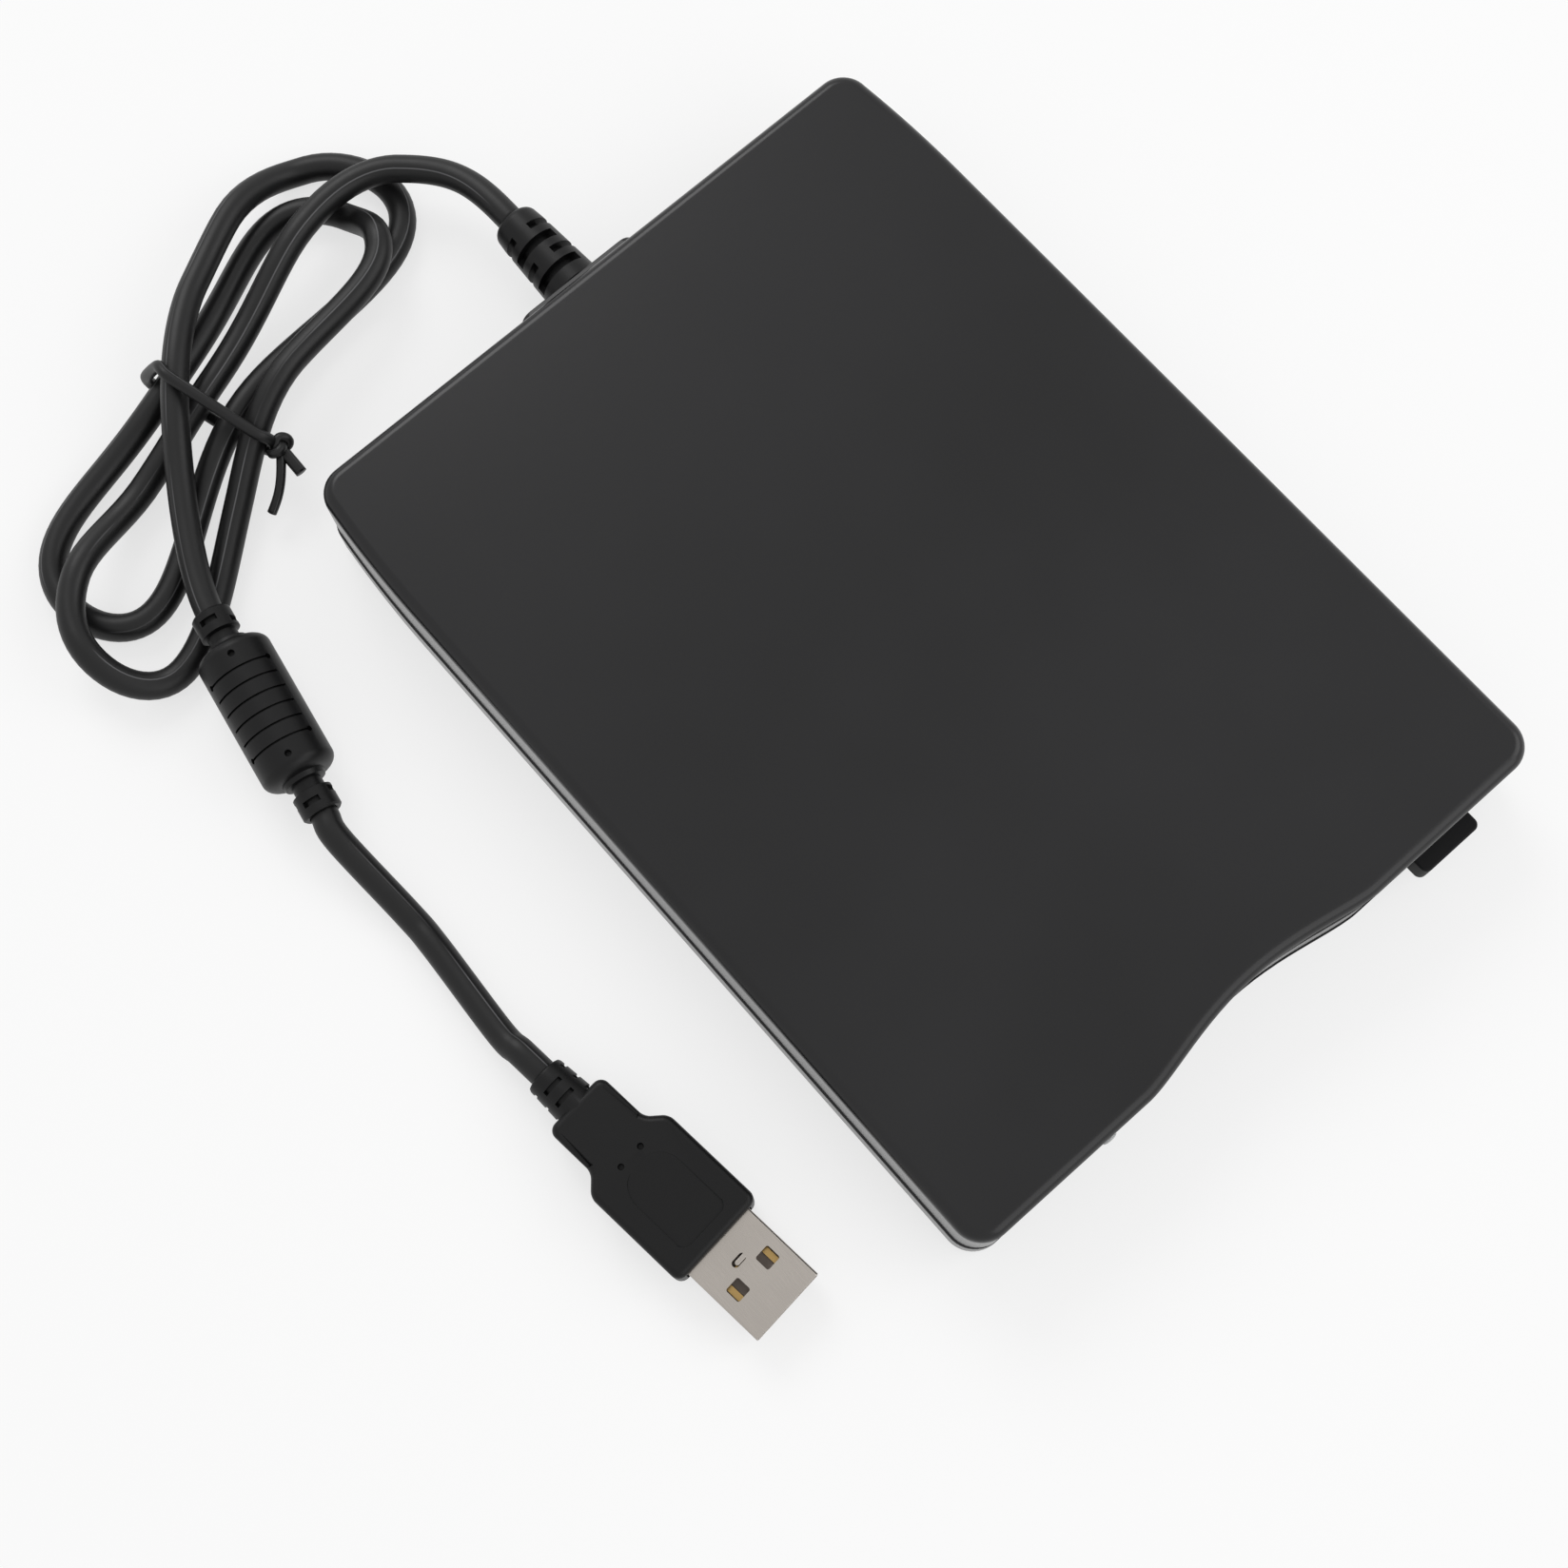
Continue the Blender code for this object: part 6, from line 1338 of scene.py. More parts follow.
def tube(name, route, radius, sides, closed=False, ridge=0.0):
    """A round tube along a route, with its run and its turn in a UV map, and a fine mould line each side."""
    rings = len(route)
    points = []
    normal = None
    gone = 0.0
    runs = []
    for i, place in enumerate(route):
        before = route[i - 1] if closed or i else place
        after = route[(i + 1) % rings] if closed or i < rings - 1 else place
        way = (after - before).normalized()
        if normal is None:
            normal = way.cross(Vector((0, 0, 1)))
            if normal.length < 0.1:
                normal = way.cross(Vector((0, 1, 0)))
        normal = (normal - way * normal.dot(way)).normalized()
        other = way.cross(normal)
        if i:
            gone += (place - route[i - 1]).length
        runs.append(gone)
        for side in range(sides):
            angle = 2 * math.pi * side / sides + LINE_TURN
            reach = radius + (ridge if side % (sides // 2) == 0 else 0.0)
            points.append(place + normal * (reach * math.cos(angle)) + other * (reach * math.sin(angle)))
    faces = []
    places = []
    for i in range(rings if closed else rings - 1):
        low, high = i * sides, ((i + 1) % rings) * sides
        far_run = runs[i + 1] if i + 1 < rings else gone + (route[0] - route[-1]).length
        for side in range(sides):
            far = (side + 1) % sides
            faces.append((low + side, low + far, high + far, high + side))
            turns = (side / sides, (side + 1) / sides)
            places += [(runs[i], turns[0]), (runs[i], turns[1]), (far_run, turns[1]), (far_run, turns[0])]
    if not closed:
        faces += [tuple(range(sides))[::-1], tuple(range(len(points) - sides, len(points)))]
        places += [(0.0, 0.0)] * sides + [(gone, 0.0)] * sides
    piece = mesh_piece(name, points, faces)
    layer = piece.data.uv_layers.new(name="run")
    for corner, (run, turn) in zip(layer.data, places):
        corner.uv = (run * RUN_SCALE, turn)
    shape(piece)
    turn_out()
    bpy.ops.mesh.faces_shade_smooth()
    object_mode()
    return piece


def tie_strands(route):
    """Where the strands pass under the tie, across and up."""
    turn = Matrix.Rotation(-BUNDLE_TURN, 3, "Z")
    strands = []
    for a, b in zip(route, route[1:]):
        a, b = (turn @ (point - BUNDLE) for point in (a, b))
        ahead, behind = (point.x - TIE_ALONG - TIE_SLANT * point.y for point in (a, b))
        if ahead * behind < 0:
            strands.append(a.lerp(b, ahead / (ahead - behind)))
    return strands


def build_tie(route):
    """A soft wire tie drawn round the bundle, knotted at one side, with a stub and a thin tail."""
    strands = tie_strands(route)
    reach = CORD_RADIUS + TIE_SLACK + TIE_RADIUS
    turn = Matrix.Rotation(BUNDLE_TURN, 3, "Z")
    line = []
    for i in range(TIE_STEPS):
        angle = 2 * math.pi * i / TIE_STEPS
        way = Vector((0, math.cos(angle), math.sin(angle)))
        outer = max(strands, key=way.dot)
        across, up = outer.y + way.y * reach, outer.z + way.z * reach
        sway = TIE_SWAY * math.sin(across * TIE_SWAY_RATE)
        line.append(Vector((TIE_ALONG + TIE_SLANT * across + sway, across, up)))
    for _ in range(TIE_SMOOTHINGS):
        line = [(line[i - 1] + line[i] * 2 + line[(i + 1) % len(line)]) / 4 for i in range(len(line))]
    knot = min(line, key=lambda point: point.y) + Vector((0, TIE_RADIUS - KNOT_RADIUS, 0))
    loop = []
    for i in range(KNOT_STEPS):
        t = 2 * math.pi * i / KNOT_STEPS
        wide, tall = math.sin(t) + 2 * math.sin(2 * t), math.cos(t) - 2 * math.cos(2 * t)
        loop.append(knot + Vector((wide, -math.sin(3 * t) * KNOT_DEPTH, tall)) * (KNOT_RADIUS * KNOT_SCALE))
    stub = [knot + STUB_WAY * (i / STUB_STEPS) for i in range(STUB_STEPS + 1)]
    tail = []
    for i in range(TIE_TAIL_STEPS + 1):
        t = i / TIE_TAIL_STEPS
        tail.append(knot + TAIL_WAY * t + TAIL_BOW * math.sin(math.pi * t))
    parts = []
    for name, way, share, closed in (
        ("bundle_tie", line, 1.0, True),
        ("tie_knot", loop, KNOT_SHARE, True),
        ("tie_stub", stub, 1.0, False),
        ("tie_tail", tail, TIE_TAIL_SHARE, False),
    ):
        placed = [BUNDLE + turn @ point for point in way]
        parts.append(tube(name, placed, TIE_RADIUS * share, TIE_SIDES, closed))
    tie = join(parts)
    seat_piece(tie, "cord_jacket", ["cable_tie"])
    return tie


def build_ferrite():
    """The moulded ferrite: a round body with six fine grooves, pits, and a slotted relief at each end."""
    nose, neck = FERRITE_NOSE_RADIUS, FERRITE_NECK_RADIUS
    neck_start, neck_full, neck_end, rim = (FERRITE_RELIEF * share for share in FERRITE_NECK_SHARES)
    profile = [(FERRITE_HOLLOW, 0), (FERRITE_HOLLOW, CORD_RADIUS), (0, CORD_MOUTH)]
    profile += [(0, nose - FERRITE_NOSE_EASE), (FERRITE_NOSE_EASE, nose)]
    profile += [(neck_start, nose), (neck_full, neck), (neck_end, neck)]
    profile += [(rim, nose + NEAR), (FERRITE_RELIEF, nose + FERRITE_NOSE_EASE)]
    for i in range(FERRITE_ROUND_STEPS + 1):
        angle = math.pi / 2 * i / FERRITE_ROUND_STEPS
        along = FERRITE_RELIEF + FERRITE_ROUND * (1 - math.cos(angle)) * NOSE_SHARE
        profile.append((along, FERRITE_RADIUS - FERRITE_ROUND * (1 - math.sin(angle))))
    end = FERRITE_RELIEF + FERRITE_LENGTH
    mirrored = [(end + FERRITE_RELIEF - along, radius) for along, radius in profile[::-1]]
    body = spun("ferrite_body", profile + mirrored, 64)
    start = FERRITE_RELIEF + GROOVE_START
    pitch = (FERRITE_LENGTH - 2 * GROOVE_START) / (GROOVE_COUNT - 1)
    for i in range(GROOVE_COUNT):
        low, high = start + pitch * i - GROOVE_HALF_WIDTH, start + pitch * i + GROOVE_HALF_WIDTH
        for turn in GROOVE_TURNS:
            bar = ring_cutter(
                "groove", low, high, GROOVE_FLOOR, GROOVE_REACH, turn, GROOVE_HALF_SPAN, GROOVE_STEPS
            )
            combine(body, [bar])
    for along in (FERRITE_RELIEF + FERRITE_PIT_ALONG, end - FERRITE_PIT_ALONG):
        radial_hole(body, "pit", along, FERRITE_PIT_TURN, FERRITE_PIT_FLOOR, FERRITE_PIT_RADII, PIT_SIDES)
    for along in (start, start + (GROOVE_COUNT - 1) * pitch):
        for turn in GROOVE_END_TURNS:
            radial_hole(body, "groove_end", along, turn, GROOVE_END_FLOOR, [GROOVE_END_RADIUS] * 2, 16)
    first, second = FERRITE_SLOT_TURNS
    for along, step in (
        (FERRITE_SLOT_ALONG, FERRITE_SLOT_STEP),
        (end + FERRITE_RELIEF - FERRITE_SLOT_ALONG, -FERRITE_SLOT_STEP),
    ):
        for place, turn in ((along, first), (along + step, second)):
            slots(body, place, turn, FERRITE_SLOT_HALF_SPAN, nose, FERRITE_SLOT_DEPTH, FERRITE_SLOT_WIDTH)
    lay_along(body, FERRITE_START, FERRITE_WAY)
    dress(body, "moulding", ["ferrite_core"], 28)
    return body


# Plug


def grip_body():
    """The grip's plan, extruded from a narrow strip, raised, with its corners and edges rounded."""
    start = PLUG_RELIEF - PLUG_JOIN
    object_mode()
    bpy.ops.mesh.primitive_plane_add(size=1, location=(start, 0, -GRIP_HALF_HEIGHT))
    grip = settle("plug_grip")
    shape(grip)
    bpy.ops.transform.resize(value=(FIRST_STRIP, 2 * NECK_HALF_WIDTH, 1), center_override=(start, 0, 0))
    for move, wide in (
        (PLUG_SHOULDER - start, 1.0),
        (SHOULDER_RUN, GRIP_HALF_WIDTH / NECK_HALF_WIDTH),
        (PLUG_FACE - PLUG_SHOULDER - SHOULDER_RUN, 1.0),
    ):
        reach = max(point.co.x for point in bmesh.from_edit_mesh(grip.data).verts)
        pick(grip, "EDGE", lambda edge: all(point.co.x > reach - TOUCHING for point in edge.verts))
        bpy.ops.mesh.extrude_region_move(TRANSFORM_OT_translate={"value": (move, 0, 0)})
        bpy.ops.transform.resize(value=(1, wide, 1))
    bpy.ops.mesh.select_all(action="SELECT")
    bpy.ops.mesh.dissolve_limited(angle_limit=math.radians(1))
    bpy.ops.mesh.select_all(action="SELECT")
    bpy.ops.mesh.extrude_region_move(TRANSFORM_OT_translate={"value": (0, 0, 2 * GRIP_HALF_HEIGHT)})
    turn_out()
    object_mode()

    def at_shoulder(edge):
        return upright(edge) and abs(edge.verts[0].co.x - PLUG_SHOULDER - SHOULDER_RUN / 2) < SHOULDER_RUN

    round_off(grip, GRIP_CORNER, 6, lambda edge: upright(edge) and not at_shoulder(edge))
    round_off(grip, SHOULDER_CORNER, 5, at_shoulder)
    for point in grip.data.vertices:
        share = ease((PLUG_SHOULDER + SHOULDER_RUN - point.co.x) / (2 * SHOULDER_RUN))
        point.co.z *= 1 + (NECK_HALF_HEIGHT / GRIP_HALF_HEIGHT - 1) * share
    round_off(grip, GRIP_ROUND, 5, lambda edge: turned_by(edge) and not upright(edge))
    return grip


def sink_panel(grip):
    """The bare panel sunk in the top of the grip, narrower towards the lead, with an eased rim."""
    top = GRIP_HALF_HEIGHT
    low = (PANEL_START, -PANEL_HALF_WIDTH, top - PANEL_DEPTH)
    panel = block("panel", low, (PANEL_END, PANEL_HALF_WIDTH, top * 2))
    shape(panel)
    pick(panel, "FACE", facing(X, -1))
    bpy.ops.mesh.extrude_region_move(TRANSFORM_OT_translate={"value": (-PANEL_TAPER, 0, 0)})
    bpy.ops.transform.resize(value=(1, PANEL_NOSE_SHARE, 1))
    object_mode()
    round_off(panel, PANEL_CORNER, 6, upright)
    shape(panel)
    pick(panel, "FACE", facing(Z, -1))
    bpy.ops.transform.resize(value=(PANEL_FLOOR_SHARE, PANEL_FLOOR_SHARE, 1))
    object_mode()
    combine(grip, [panel])
    start, end = PANEL_START - PANEL_TAPER - CLEAR, PANEL_END + CLEAR

    def on_rim(point):
        across, up = abs(point.co.y), point.co.z
        return start < point.co.x < end and across < PANEL_HALF_WIDTH + CLEAR and up > top - CLEAR / 10

    round_off(grip, PANEL_DEPTH / 3, 2, lambda edge: turned_by(edge, 0.3) and all(map(on_rim, edge.verts)))


def slotted_cuff():
    """The relief at the lead's end of the grip: a cone with rows of slots, each turned a quarter."""
    nose, root, eased = CUFF_NOSE_RADIUS, CUFF_RADIUS, CUFF_NOSE_EASE
    end = PLUG_RELIEF + PLUG_JOIN
    profile = [(eased, 0), (0, CORD_MOUTH), (0, nose - eased), (eased * 0.3, nose - eased * 0.3), (eased, nose)]
    profile += [(PLUG_RELIEF, root), (end, root), (end, 0)]
    cuff = spun("cuff", profile)
    for i in range(CUFF_SLOT_COUNT):
        along = CUFF_FIRST_SLOT + CUFF_SLOT_PITCH * i
        radius = nose + (root - nose) * along / PLUG_RELIEF
        turn = CUFF_ROLL if i % 2 else CUFF_ROLL + 90
        slots(cuff, along, turn, CUFF_SLOT_HALF_SPAN, radius, CUFF_SLOT_DEPTH, CUFF_SLOT_WIDTH)
    return cuff


def build_overmould():
    """The plug's grip: its body with a bare sunk panel, two pits, the metal's socket and a slotted relief."""
    grip = grip_body()
    sink_panel(grip)
    top = GRIP_HALF_HEIGHT
    for side in (-PIT_SIDE, PIT_SIDE):
        ends = (PIT_ALONG, side, top - 2 * PIT_RADIUS), (PIT_ALONG, side, top + PIT_RADIUS)
        floor, mouth = PIT_RADIUS * PIT_FLOOR_SHARE, PIT_RADIUS * PIT_MOUTH_SHARE
        combine(grip, [cylinder("pit", *ends, floor, PIT_SIDES, mouth)])
    half_width, half_height = SLEEVE_HALF_WIDTH + CLEAR, SLEEVE_HALF_HEIGHT + CLEAR
    socket_low = (PLUG_FACE - SLEEVE_TAIL - CLEAR, -half_width, -half_height)
    combine(grip, [block("socket", socket_low, (PLUG_FACE + SLEEVE_TAIL, half_width, half_height))])
    combine(grip, [slotted_cuff()], "UNION")
    lay_along(grip, PLUG_START, PLUG_WAY)
    dress(grip, "moulding", ["plug_overmould"], 28)
    return grip


def press_dimple(sleeve, middle, height):
    """A slot with round ends cut through the top, and the tongue of sheet that stays in it."""
    long, wide = DIMPLE_LENGTH / 2, DIMPLE_WIDTH / 2
    dimple = block("dimple", (middle - wide, -long, height - BEYOND), (middle + wide, long, height + BEYOND))
    round_off(dimple, wide * DIMPLE_FULLNESS, 8, upright)
    combine(sleeve, [dimple])
    wide *= DIMPLE_TONGUE
    middle += DIMPLE_SHIFT
    tongue_low = (middle - wide, -long * DIMPLE_TONGUE, height - SLEEVE_SHEET)
    tongue = block("tongue", tongue_low, (middle + wide, long + SLEEVE_SHEET, height))
    round_off(tongue, wide * TONGUE_FULLNESS, 8, lambda edge: upright(edge) and edge.verts[0].co.y < 0)
    round_off(tongue, SLEEVE_SHEET * 0.4, 3, outline_at(height))
    combine(sleeve, [tongue], "UNION")


def build_sleeve():
    """The folded sheet of the plug: two square windows each way, a pressed dimple and a seam below."""
    back, tip = PLUG_FACE - SLEEVE_TAIL, PLUG_FACE + SLEEVE_REACH
    half, height, sheet = SLEEVE_HALF_WIDTH, SLEEVE_HALF_HEIGHT, SLEEVE_SHEET
    sleeve = block("plug_sleeve", (back, -half, -height), (tip, half, height))
    round_off(sleeve, SLEEVE_CORNER, 4, along_x)
    hollow_low = (back - BEYOND, sheet - half, sheet - height)
    hollow = block("hollow", hollow_low, (tip + BEYOND, half - sheet, height - sheet))
    round_off(hollow, SLEEVE_INNER_CORNER, 3, along_x)
    combine(sleeve, [hollow])
    size = WINDOW_SIZE / 2
    middle = tip - WINDOW_BACK
    for side in (-WINDOW_SIDE, WINDOW_SIDE):
        low, high = (middle - size, side - size, -2 * height), (middle + size, side + size, 2 * height)
        window = block("window", low, high)
        round_off(window, sheet, 3, upright)
        combine(sleeve, [window])
    press_dimple(sleeve, tip - DIMPLE_BACK, height)
    seam_high = (tip - BEYOND, SLEEVE_FOLD, -height + sheet / 2)
    combine(sleeve, [block("seam", (back, -SLEEVE_FOLD, -height - BEYOND), seam_high)])

    def mouth(edge):
        return turned_by(edge) and all(point.co.x > tip - 10 * TOUCHING for point in edge.verts)

    round_off(sleeve, sheet / 3, 2, mouth)
    lay_along(sleeve, PLUG_START, PLUG_WAY)
    dress(sleeve, "nickel", ["plug_shell"])
    return sleeve


def eased_copy(node, name, width=PART_EASE, angle=40):
    """A copy of a part that stays in shape, with its doubles merged and its edges eased."""
    source = frame["nodes"][node]
    mesh = source.data.copy()
    mesh.name = name
    mesh.transform(source.matrix_world)
    piece = bpy.data.objects.new(name, mesh)
    bpy.context.scene.collection.objects.link(piece)
    shape(piece)
    bpy.ops.mesh.select_all(action="SELECT")
    bpy.ops.mesh.remove_doubles(threshold=MERGED)
    bpy.ops.mesh.dissolve_limited(angle_limit=math.radians(1))
    object_mode()
    change = piece.modifiers.new("eased", "BEVEL")
    change.width = width
    change.segments = 2
    change.limit_method = "ANGLE"
    change.angle_limit = math.radians(angle)
    change.use_clamp_overlap = True
    hold(piece)
    bpy.ops.object.modifier_apply(modifier=change.name)
    return piece


def refined(node, name, width=PART_EASE, finish=None):
    """An eased copy of a part, dressed in its place."""
    piece = eased_copy(node, name, width)
    dress(piece, finish or NODE_SLOTS[node], [node])
    return piece


def build_plug_inside():
    tongue = refined("plug_insulator", "plug_tongue", finish="insulator")
    return [tongue, *(refined(f"plug_contact_{i}", f"plug_blade_{i}", BLADE_EASE) for i in range(1, 5))]


def build_lead(sizes):
    route, tail_line = lead_route(), tail_route()
    lead = tube("lead_cord", route, CORD_RADIUS, CORD_SIDES, ridge=sizes.mould_line_and_painted_highlight)
    seat_piece(lead, "cord_jacket", ["cable_lead", "cable_hank"])
    tail = tube("tail_cord", tail_line, CORD_RADIUS, CORD_SIDES, ridge=sizes.mould_line_and_painted_highlight)
    seat_piece(tail, "cord_jacket", ["cable_tail"])
    tie = build_tie(route)
    ferrite = build_ferrite()
    plug = [build_overmould(), build_sleeve(), *build_plug_inside()]
    length = sum((b - a).length for a, b in zip(route, route[1:]))
    tuple(route[0])
    [tuple(point) for point in route]
    length = sum((b - a).length for a, b in zip(tail_line, tail_line[1:]))
    tuple(tail_line[0])
    [tuple(point) for point in tail_line]


# Inside


def build_pins(chip):
    """Rows of bent pins along a chip's longer sides: one is modelled on each side, and copied along it."""
    low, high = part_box(chip)
    size = high - low
    along, across = (0, 1) if size.x > size.y else (1, 0)
    count = int((size[along] - PIN_PITCH) / PIN_PITCH)
    first = (low[along] + high[along] - PIN_PITCH * (count - 1)) / 2
    middle = low.z + size.z / 2
    step = Vector((0, 0, 0))
    step[along] = PIN_PITCH
    pins = []
    for side, edge in ((-1, low[across]), (1, high[across])):
        near, far = Vector((0, 0, middle - PIN_THICK / 2)), Vector((0, 0, middle + PIN_THICK / 2))
        near[along], far[along] = first - PIN_WIDTH / 2, first + PIN_WIDTH / 2
        near[across], far[across] = sorted((edge - side * PIN_ROOT, edge + side * PIN_ROOT))
        pin = block(chip + "_pins", near, far)
        shape(pin)
        pick(pin, "FACE", facing(across, side))
        for reach, drop in ((PIN_ROOT, middle - low.z - PIN_THICK), (PIN_REACH, 0.0)):
            move = Vector((0, 0, -drop))
            move[across] = side * reach
            bpy.ops.mesh.extrude_region_move(TRANSFORM_OT_translate={"value": tuple(move)})
        object_mode()
        pins += [pin, *(copied(pin, chip + "_pin", step * i) for i in range(1, count))]
    row = join(pins)
    bpy.ops.object.shade_smooth_by_angle(angle=math.radians(30))
    row.data.materials.append(FINISHES["steel"])
    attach(row, frame["nodes"][chip]["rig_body"])


def build_flex():
    """The film from the board to the carriage.

    It lies low until it is beside the carriage, so that it passes under the disk holder.
    """
    low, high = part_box("head_flex")
    flex = eased_copy("head_flex", "carriage_film", FILM_EASE)
    foot = min(point.co.z for point in flex.data.vertices if point.co.x < low.x + FILM_EASE)
    for point in flex.data.vertices:
        share = (high.x - point.co.x) / (high.x - low.x)
        rest = low.z + (foot - low.z) * share + FILM_RISE * math.sin(math.pi * share)
        laid = low.z + (foot - low.z) * ease((share - FILM_BEND) / (1 - FILM_BEND))
        point.co.z += laid - rest
    bpy.ops.object.shade_smooth_by_angle(angle=math.radians(30))
    flex.data.materials.clear()
    flex.data.materials.append(FINISHES["film"])
    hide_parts("head_flex")
    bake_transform(flex)


def build_inside():
    """Every inner part in its own shape with its edges eased, but for the springs, which stay as they are."""
    build_flex()
    for name, node in frame["nodes"].items():
        if node.hide_render:
            continue
        if name in SOFT_PARTS:
            for slot in node.material_slots:
                slot.material = FINISHES[NODE_SLOTS[name]]
        else:
            refined(name, name + "_finished", finish=OWN_FINISHES.get(name))
    for chip in PINNED_CHIPS:
        build_pins(chip)


# Stage


def seen_plainly(board):
    """1 for what is seen directly, in a gloss or through glass, and 0 for light that falls on something."""
    seen = board.add("LightPath", None, "Is Camera Ray")
    other = seen.sum("MAXIMUM", seen.beside("Is Glossy Ray"), seen.beside("Is Transmission Ray"))
    return seen.sum("MAXIMUM", seen, other)


def build_floor(stage):
    """A floor of the room's own colour that takes shadows near the drive, and is clear from below."""
    object_mode()
    bpy.ops.mesh.primitive_plane_add(size=stage.floor_size, location=(0, 0, -FLOOR_DROP))
    floor = settle("floor")
    board = new_finish("floor_paper")
    away = board.add("VectorMath", {"operation": "LENGTH"}, "Value", s0=place_on(board))
    share = stage.shadow_share * (1 - away.between(stage.shadow_reach / 3, stage.shadow_reach))
    plain = board.add("BsdfDiffuse", Color=shade(stage.floor_colour))
    glow = board.add("Emission", Color=shade(stage.floor_colour), Strength=1.0)
    both = board.add("MixShader", s0=share, s1=glow, s2=plain)
    top = board.add("MixShader", s0=seen_plainly(board), s1=plain, s2=both)
    under = board.add("NewGeometry", None, "Backfacing")
    surface = board.add("MixShader", s0=under, s1=top, s2=board.add("BsdfTransparent"))
    board.add("OutputMaterial", Surface=surface)
    floor.data.materials.append(board.owner)


def build_room(stage):
    world = bpy.data.worlds.new("studio")
    bpy.context.scene.world = world
    room = Board(world, world.name)
    light = room.add("Background", Color=shade((1.0, 1.0, 1.0)), Strength=stage.world_level)
    back = room.add("Background", Color=shade(stage.floor_colour), Strength=1.0)
    room.add("OutputWorld", Surface=room.add("MixShader", s0=seen_plainly(room), s1=light, s2=back))


def build_lamps(stage):
    for name, place, size, power in LAMPS:
        light = bpy.data.lights.new(name, "AREA")
        light.shape = "DISK"
        light.size = size
        light.energy = getattr(stage, power)
        lamp = bpy.data.objects.new(name, light)
        lamp.location = place
        lamp.rotation_euler = (LAMP_AIM - Vector(place)).to_track_quat("-Z", "Y").to_euler()
        bpy.context.scene.collection.objects.link(lamp)


def build_camera():
    lens = bpy.data.cameras.new("camera")
    lens.lens = CAMERA_LENS
    lens.sensor_width = CAMERA_SENSOR
    lens.clip_start, lens.clip_end = CAMERA_SIGHT
    camera = bpy.data.objects.new("camera", lens)
    camera.location = CAMERA_PLACE
    camera.rotation_euler = [math.radians(turn) for turn in CAMERA_TURN]
    bpy.context.scene.collection.objects.link(camera)
    bpy.context.scene.camera = camera
    bpy.context.scene.view_settings.view_transform = "Standard"


# Properties, operators and panel


def length_property(name, description, default, low, high):
    return bpy.props.FloatProperty(
        name=name, description=description, default=default, min=low, max=high, precision=5,
        subtype="DISTANCE", unit="LENGTH",
    )


def colour_property(name, description, default):
    return bpy.props.FloatVectorProperty(
        name=name, description=description, default=default, min=0.0, max=1.0, size=3, subtype="COLOR"
    )


class DriveSizes(bpy.types.PropertyGroup):
    edge_round: length_property("Edge rounding", "Radius of the cover's upper edge", 0.0019, 0.0002, 0.0025)
    slot_round: length_property("Opening edge", "Rounding of the front openings", 0.00022, 0.0001, 0.0005)
    # How far the mould lines stand out; the jacket's finish also paints a highlight along them.
    mould_line_and_painted_highlight: length_property("Mould line", "How far the lead's mould lines stand out", 0.00004, 0.0, 0.0002)


class DriveColours(bpy.types.PropertyGroup):
    casing: colour_property("Casing", "Cover and base", (0.0100, 0.0099, 0.0106))
    trim: colour_property("Trim", "Front plate, flap, key and bushing", (0.0090, 0.0090, 0.0096))
    jacket: colour_property("Jacket", "The lead's jacket and its tie", (0.0055, 0.0055, 0.0057))
    moulding: colour_property("Moulding", "Ferrite, relief and the plug's grip", (0.0034, 0.0034, 0.0036))
    rubber: colour_property("Rubber", "Feet", (0.012, 0.012, 0.012))
    chip: colour_property("Chip", "Chips and other dark parts on the boards", (0.014, 0.014, 0.015))
    white_plastic: colour_property("White plastic", "Pale moulded parts of the mechanism", (0.62, 0.60, 0.56))
    # Painted shade: the insulator is the white plastic of its slot made darker and warmer, the way it looks in
    # the shade of the sleeve.
    insulator: colour_property("Insulator", "The plug's insulator", (0.36, 0.30, 0.26))
    nickel: colour_property("Nickel", "The plug's metal", (0.44, 0.405, 0.37))
    # Painted shade: the gilt is darkened far below bare gold, the way the contacts look in the shade of the
    # plug's windows.
    contact: colour_property("Contact", "Gilt contacts", (0.42, 0.28, 0.11))
    steel: colour_property("Steel", "Screws, rods and springs", (0.55, 0.56, 0.57))
    sheet_steel: colour_property("Sheet steel", "Plated sheet parts", (0.50, 0.51, 0.53))
    board: colour_property("Board", "Solder mask", (0.010, 0.085, 0.035))
    tin: colour_property("Tin", "Pads on the boards", (0.62, 0.62, 0.60))
    film: colour_property("Film", "Flexible film", (0.42, 0.20, 0.04))
    lens: colour_property("Lens", "Status lens", (0.78, 0.80, 0.80))
    led_body: colour_property("Light", "The small light behind the lens", (0.03, 0.16, 0.05))


class DriveStage(bpy.types.PropertyGroup):
    floor_size: length_property("Floor size", "Side of the floor", 12.0, 1.0, 40.0)
    floor_colour: colour_property("Floor", "Floor and the room round it", (0.985, 0.985, 0.985))
    shadow_share: bpy.props.FloatProperty(
        name="Shadow share", description="Share of the floor's brightness that shadows take away", default=0.30,
        min=0.0, max=1.0, subtype="FACTOR",
    )
    shadow_reach: length_property("Shadow reach", "How far out the floor shows shadows", 1.2, 0.2, 10.0)
    world_level: bpy.props.FloatProperty(
        name="Room light", description="Strength of the light from all round", default=0.55, min=0.0, max=2.0
    )
    key_power: bpy.props.FloatProperty(
        name="Key lamp", description="Power of the lamp behind the drive", default=6.0, min=0.0, unit="POWER"
    )
    fill_power: bpy.props.FloatProperty(
        name="Fill lamp", description="Power of the lamp at the right", default=3.0, min=0.0, unit="POWER"
    )
    rim_power: bpy.props.FloatProperty(
        name="Rim lamp", description="Power of the low lamp in front", default=2.6, min=0.0, unit="POWER"
    )


class DRIVE_OT_finishes(bpy.types.Operator):
    """Makes the materials from the colours"""

    bl_idname = "drive.finishes"
    bl_label = "Make Finishes"
    bl_options = {"REGISTER", "UNDO"}

    def execute(self, context):
        make_finishes(context.scene.drive_colours)
        return {"FINISHED"}


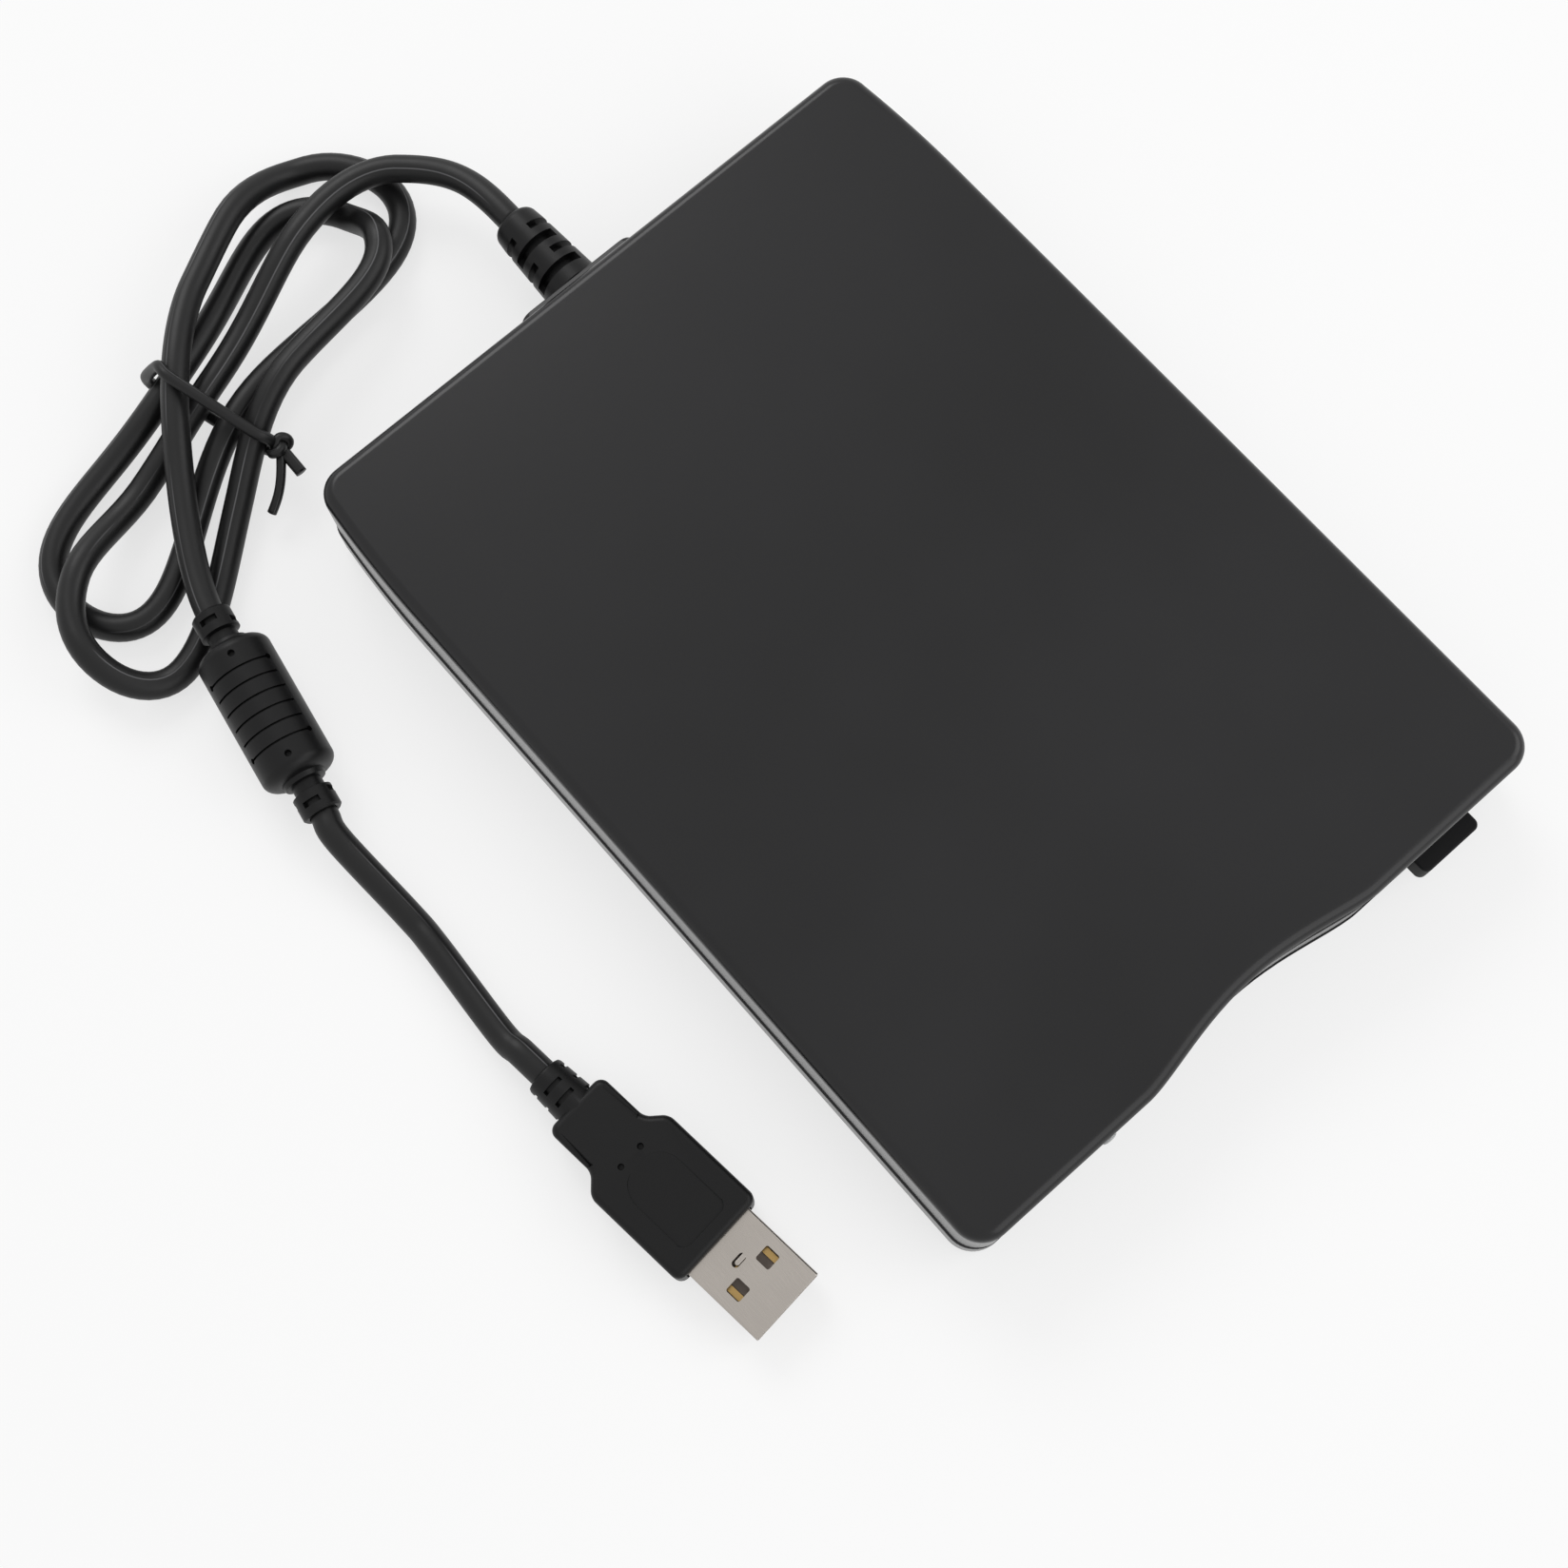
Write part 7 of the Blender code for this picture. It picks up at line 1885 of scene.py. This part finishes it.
class DRIVE_OT_lead(bpy.types.Operator):
    """Makes the bundled lead with its tie, ferrite and plug"""

    bl_idname = "drive.lead"
    bl_label = "Lead and Plug"
    bl_options = {"REGISTER", "UNDO"}

    def execute(self, context):
        build_lead(context.scene.drive_sizes)
        return {"FINISHED"}


class DRIVE_OT_cover(bpy.types.Operator):
    """Models the top cover"""

    bl_idname = "drive.cover"
    bl_label = "Top Cover"
    bl_options = {"REGISTER", "UNDO"}

    def execute(self, context):
        build_cover(context.scene.drive_sizes)
        return {"FINISHED"}


class DRIVE_OT_base(bpy.types.Operator):
    """Models the base with its wells, and the feet and screws in them"""

    bl_idname = "drive.base"
    bl_label = "Base, Feet and Screws"
    bl_options = {"REGISTER", "UNDO"}

    def execute(self, context):
        build_base()
        build_feet()
        build_screws()
        return {"FINISHED"}


class DRIVE_OT_front(bpy.types.Operator):
    """Models the front plate, the flap behind its slot, the eject key and the lens"""

    bl_idname = "drive.front"
    bl_label = "Front Plate and Eject Key"
    bl_options = {"REGISTER", "UNDO"}

    def execute(self, context):
        build_front_plate(context.scene.drive_sizes)
        build_door()
        build_button()
        build_lens()
        return {"FINISHED"}


class DRIVE_OT_rear(bpy.types.Operator):
    """Models the bushing and the relief that the lead leaves through"""

    bl_idname = "drive.rear"
    bl_label = "Bushing and Relief"
    bl_options = {"REGISTER", "UNDO"}

    def execute(self, context):
        build_bushing()
        build_relief()
        return {"FINISHED"}


class DRIVE_OT_inside(bpy.types.Operator):
    """Finishes the inside parts in their own shape, and adds the chips' pins"""

    bl_idname = "drive.inside"
    bl_label = "Inside Parts"
    bl_options = {"REGISTER", "UNDO"}

    def execute(self, context):
        build_inside()
        return {"FINISHED"}


class DRIVE_OT_stage(bpy.types.Operator):
    """Sets the floor, the light and the camera"""

    bl_idname = "drive.stage"
    bl_label = "Stage"
    bl_options = {"REGISTER", "UNDO"}

    def execute(self, context):
        stage = context.scene.drive_stage
        build_floor(stage)
        build_room(stage)
        build_lamps(stage)
        build_camera()
        return {"FINISHED"}


class DRIVE_PT_panel(bpy.types.Panel):
    """Lists the sizes, the colours and the steps"""

    bl_label = "Floppy Drive"
    bl_idname = "DRIVE_PT_panel"
    bl_space_type = "VIEW_3D"
    bl_region_type = "UI"
    bl_category = "Drive"

    def draw(self, context):
        scene = context.scene
        for group in (scene.drive_sizes, scene.drive_colours, scene.drive_stage):
            column = self.layout.column(align=True)
            for name in group.bl_rna.properties.keys():
                if name not in ("rna_type", "name"):
                    column.prop(group, name)
        for step in STEPS:
            self.layout.operator(step.bl_idname)


STEPS = (
    DRIVE_OT_finishes,
    DRIVE_OT_lead,
    DRIVE_OT_cover,
    DRIVE_OT_base,
    DRIVE_OT_front,
    DRIVE_OT_rear,
    DRIVE_OT_inside,
    DRIVE_OT_stage,
)
CLASSES = (DriveSizes, DriveColours, DriveStage, *STEPS, DRIVE_PT_panel)


def register():
    for made in CLASSES:
        bpy.utils.register_class(made)
    bpy.types.Scene.drive_sizes = bpy.props.PointerProperty(type=DriveSizes)
    bpy.types.Scene.drive_colours = bpy.props.PointerProperty(type=DriveColours)
    bpy.types.Scene.drive_stage = bpy.props.PointerProperty(type=DriveStage)


def unregister():
    del bpy.types.Scene.drive_stage
    del bpy.types.Scene.drive_colours
    del bpy.types.Scene.drive_sizes
    for made in reversed(CLASSES):
        bpy.utils.unregister_class(made)


def main():
    register()
    bpy.ops.drive.finishes()
    bpy.ops.drive.lead()
    bpy.ops.drive.cover()
    bpy.ops.drive.base()
    bpy.ops.drive.front()
    bpy.ops.drive.rear()
    bpy.ops.drive.inside()
    bpy.ops.drive.stage()


if __name__ == "__main__":
    main()
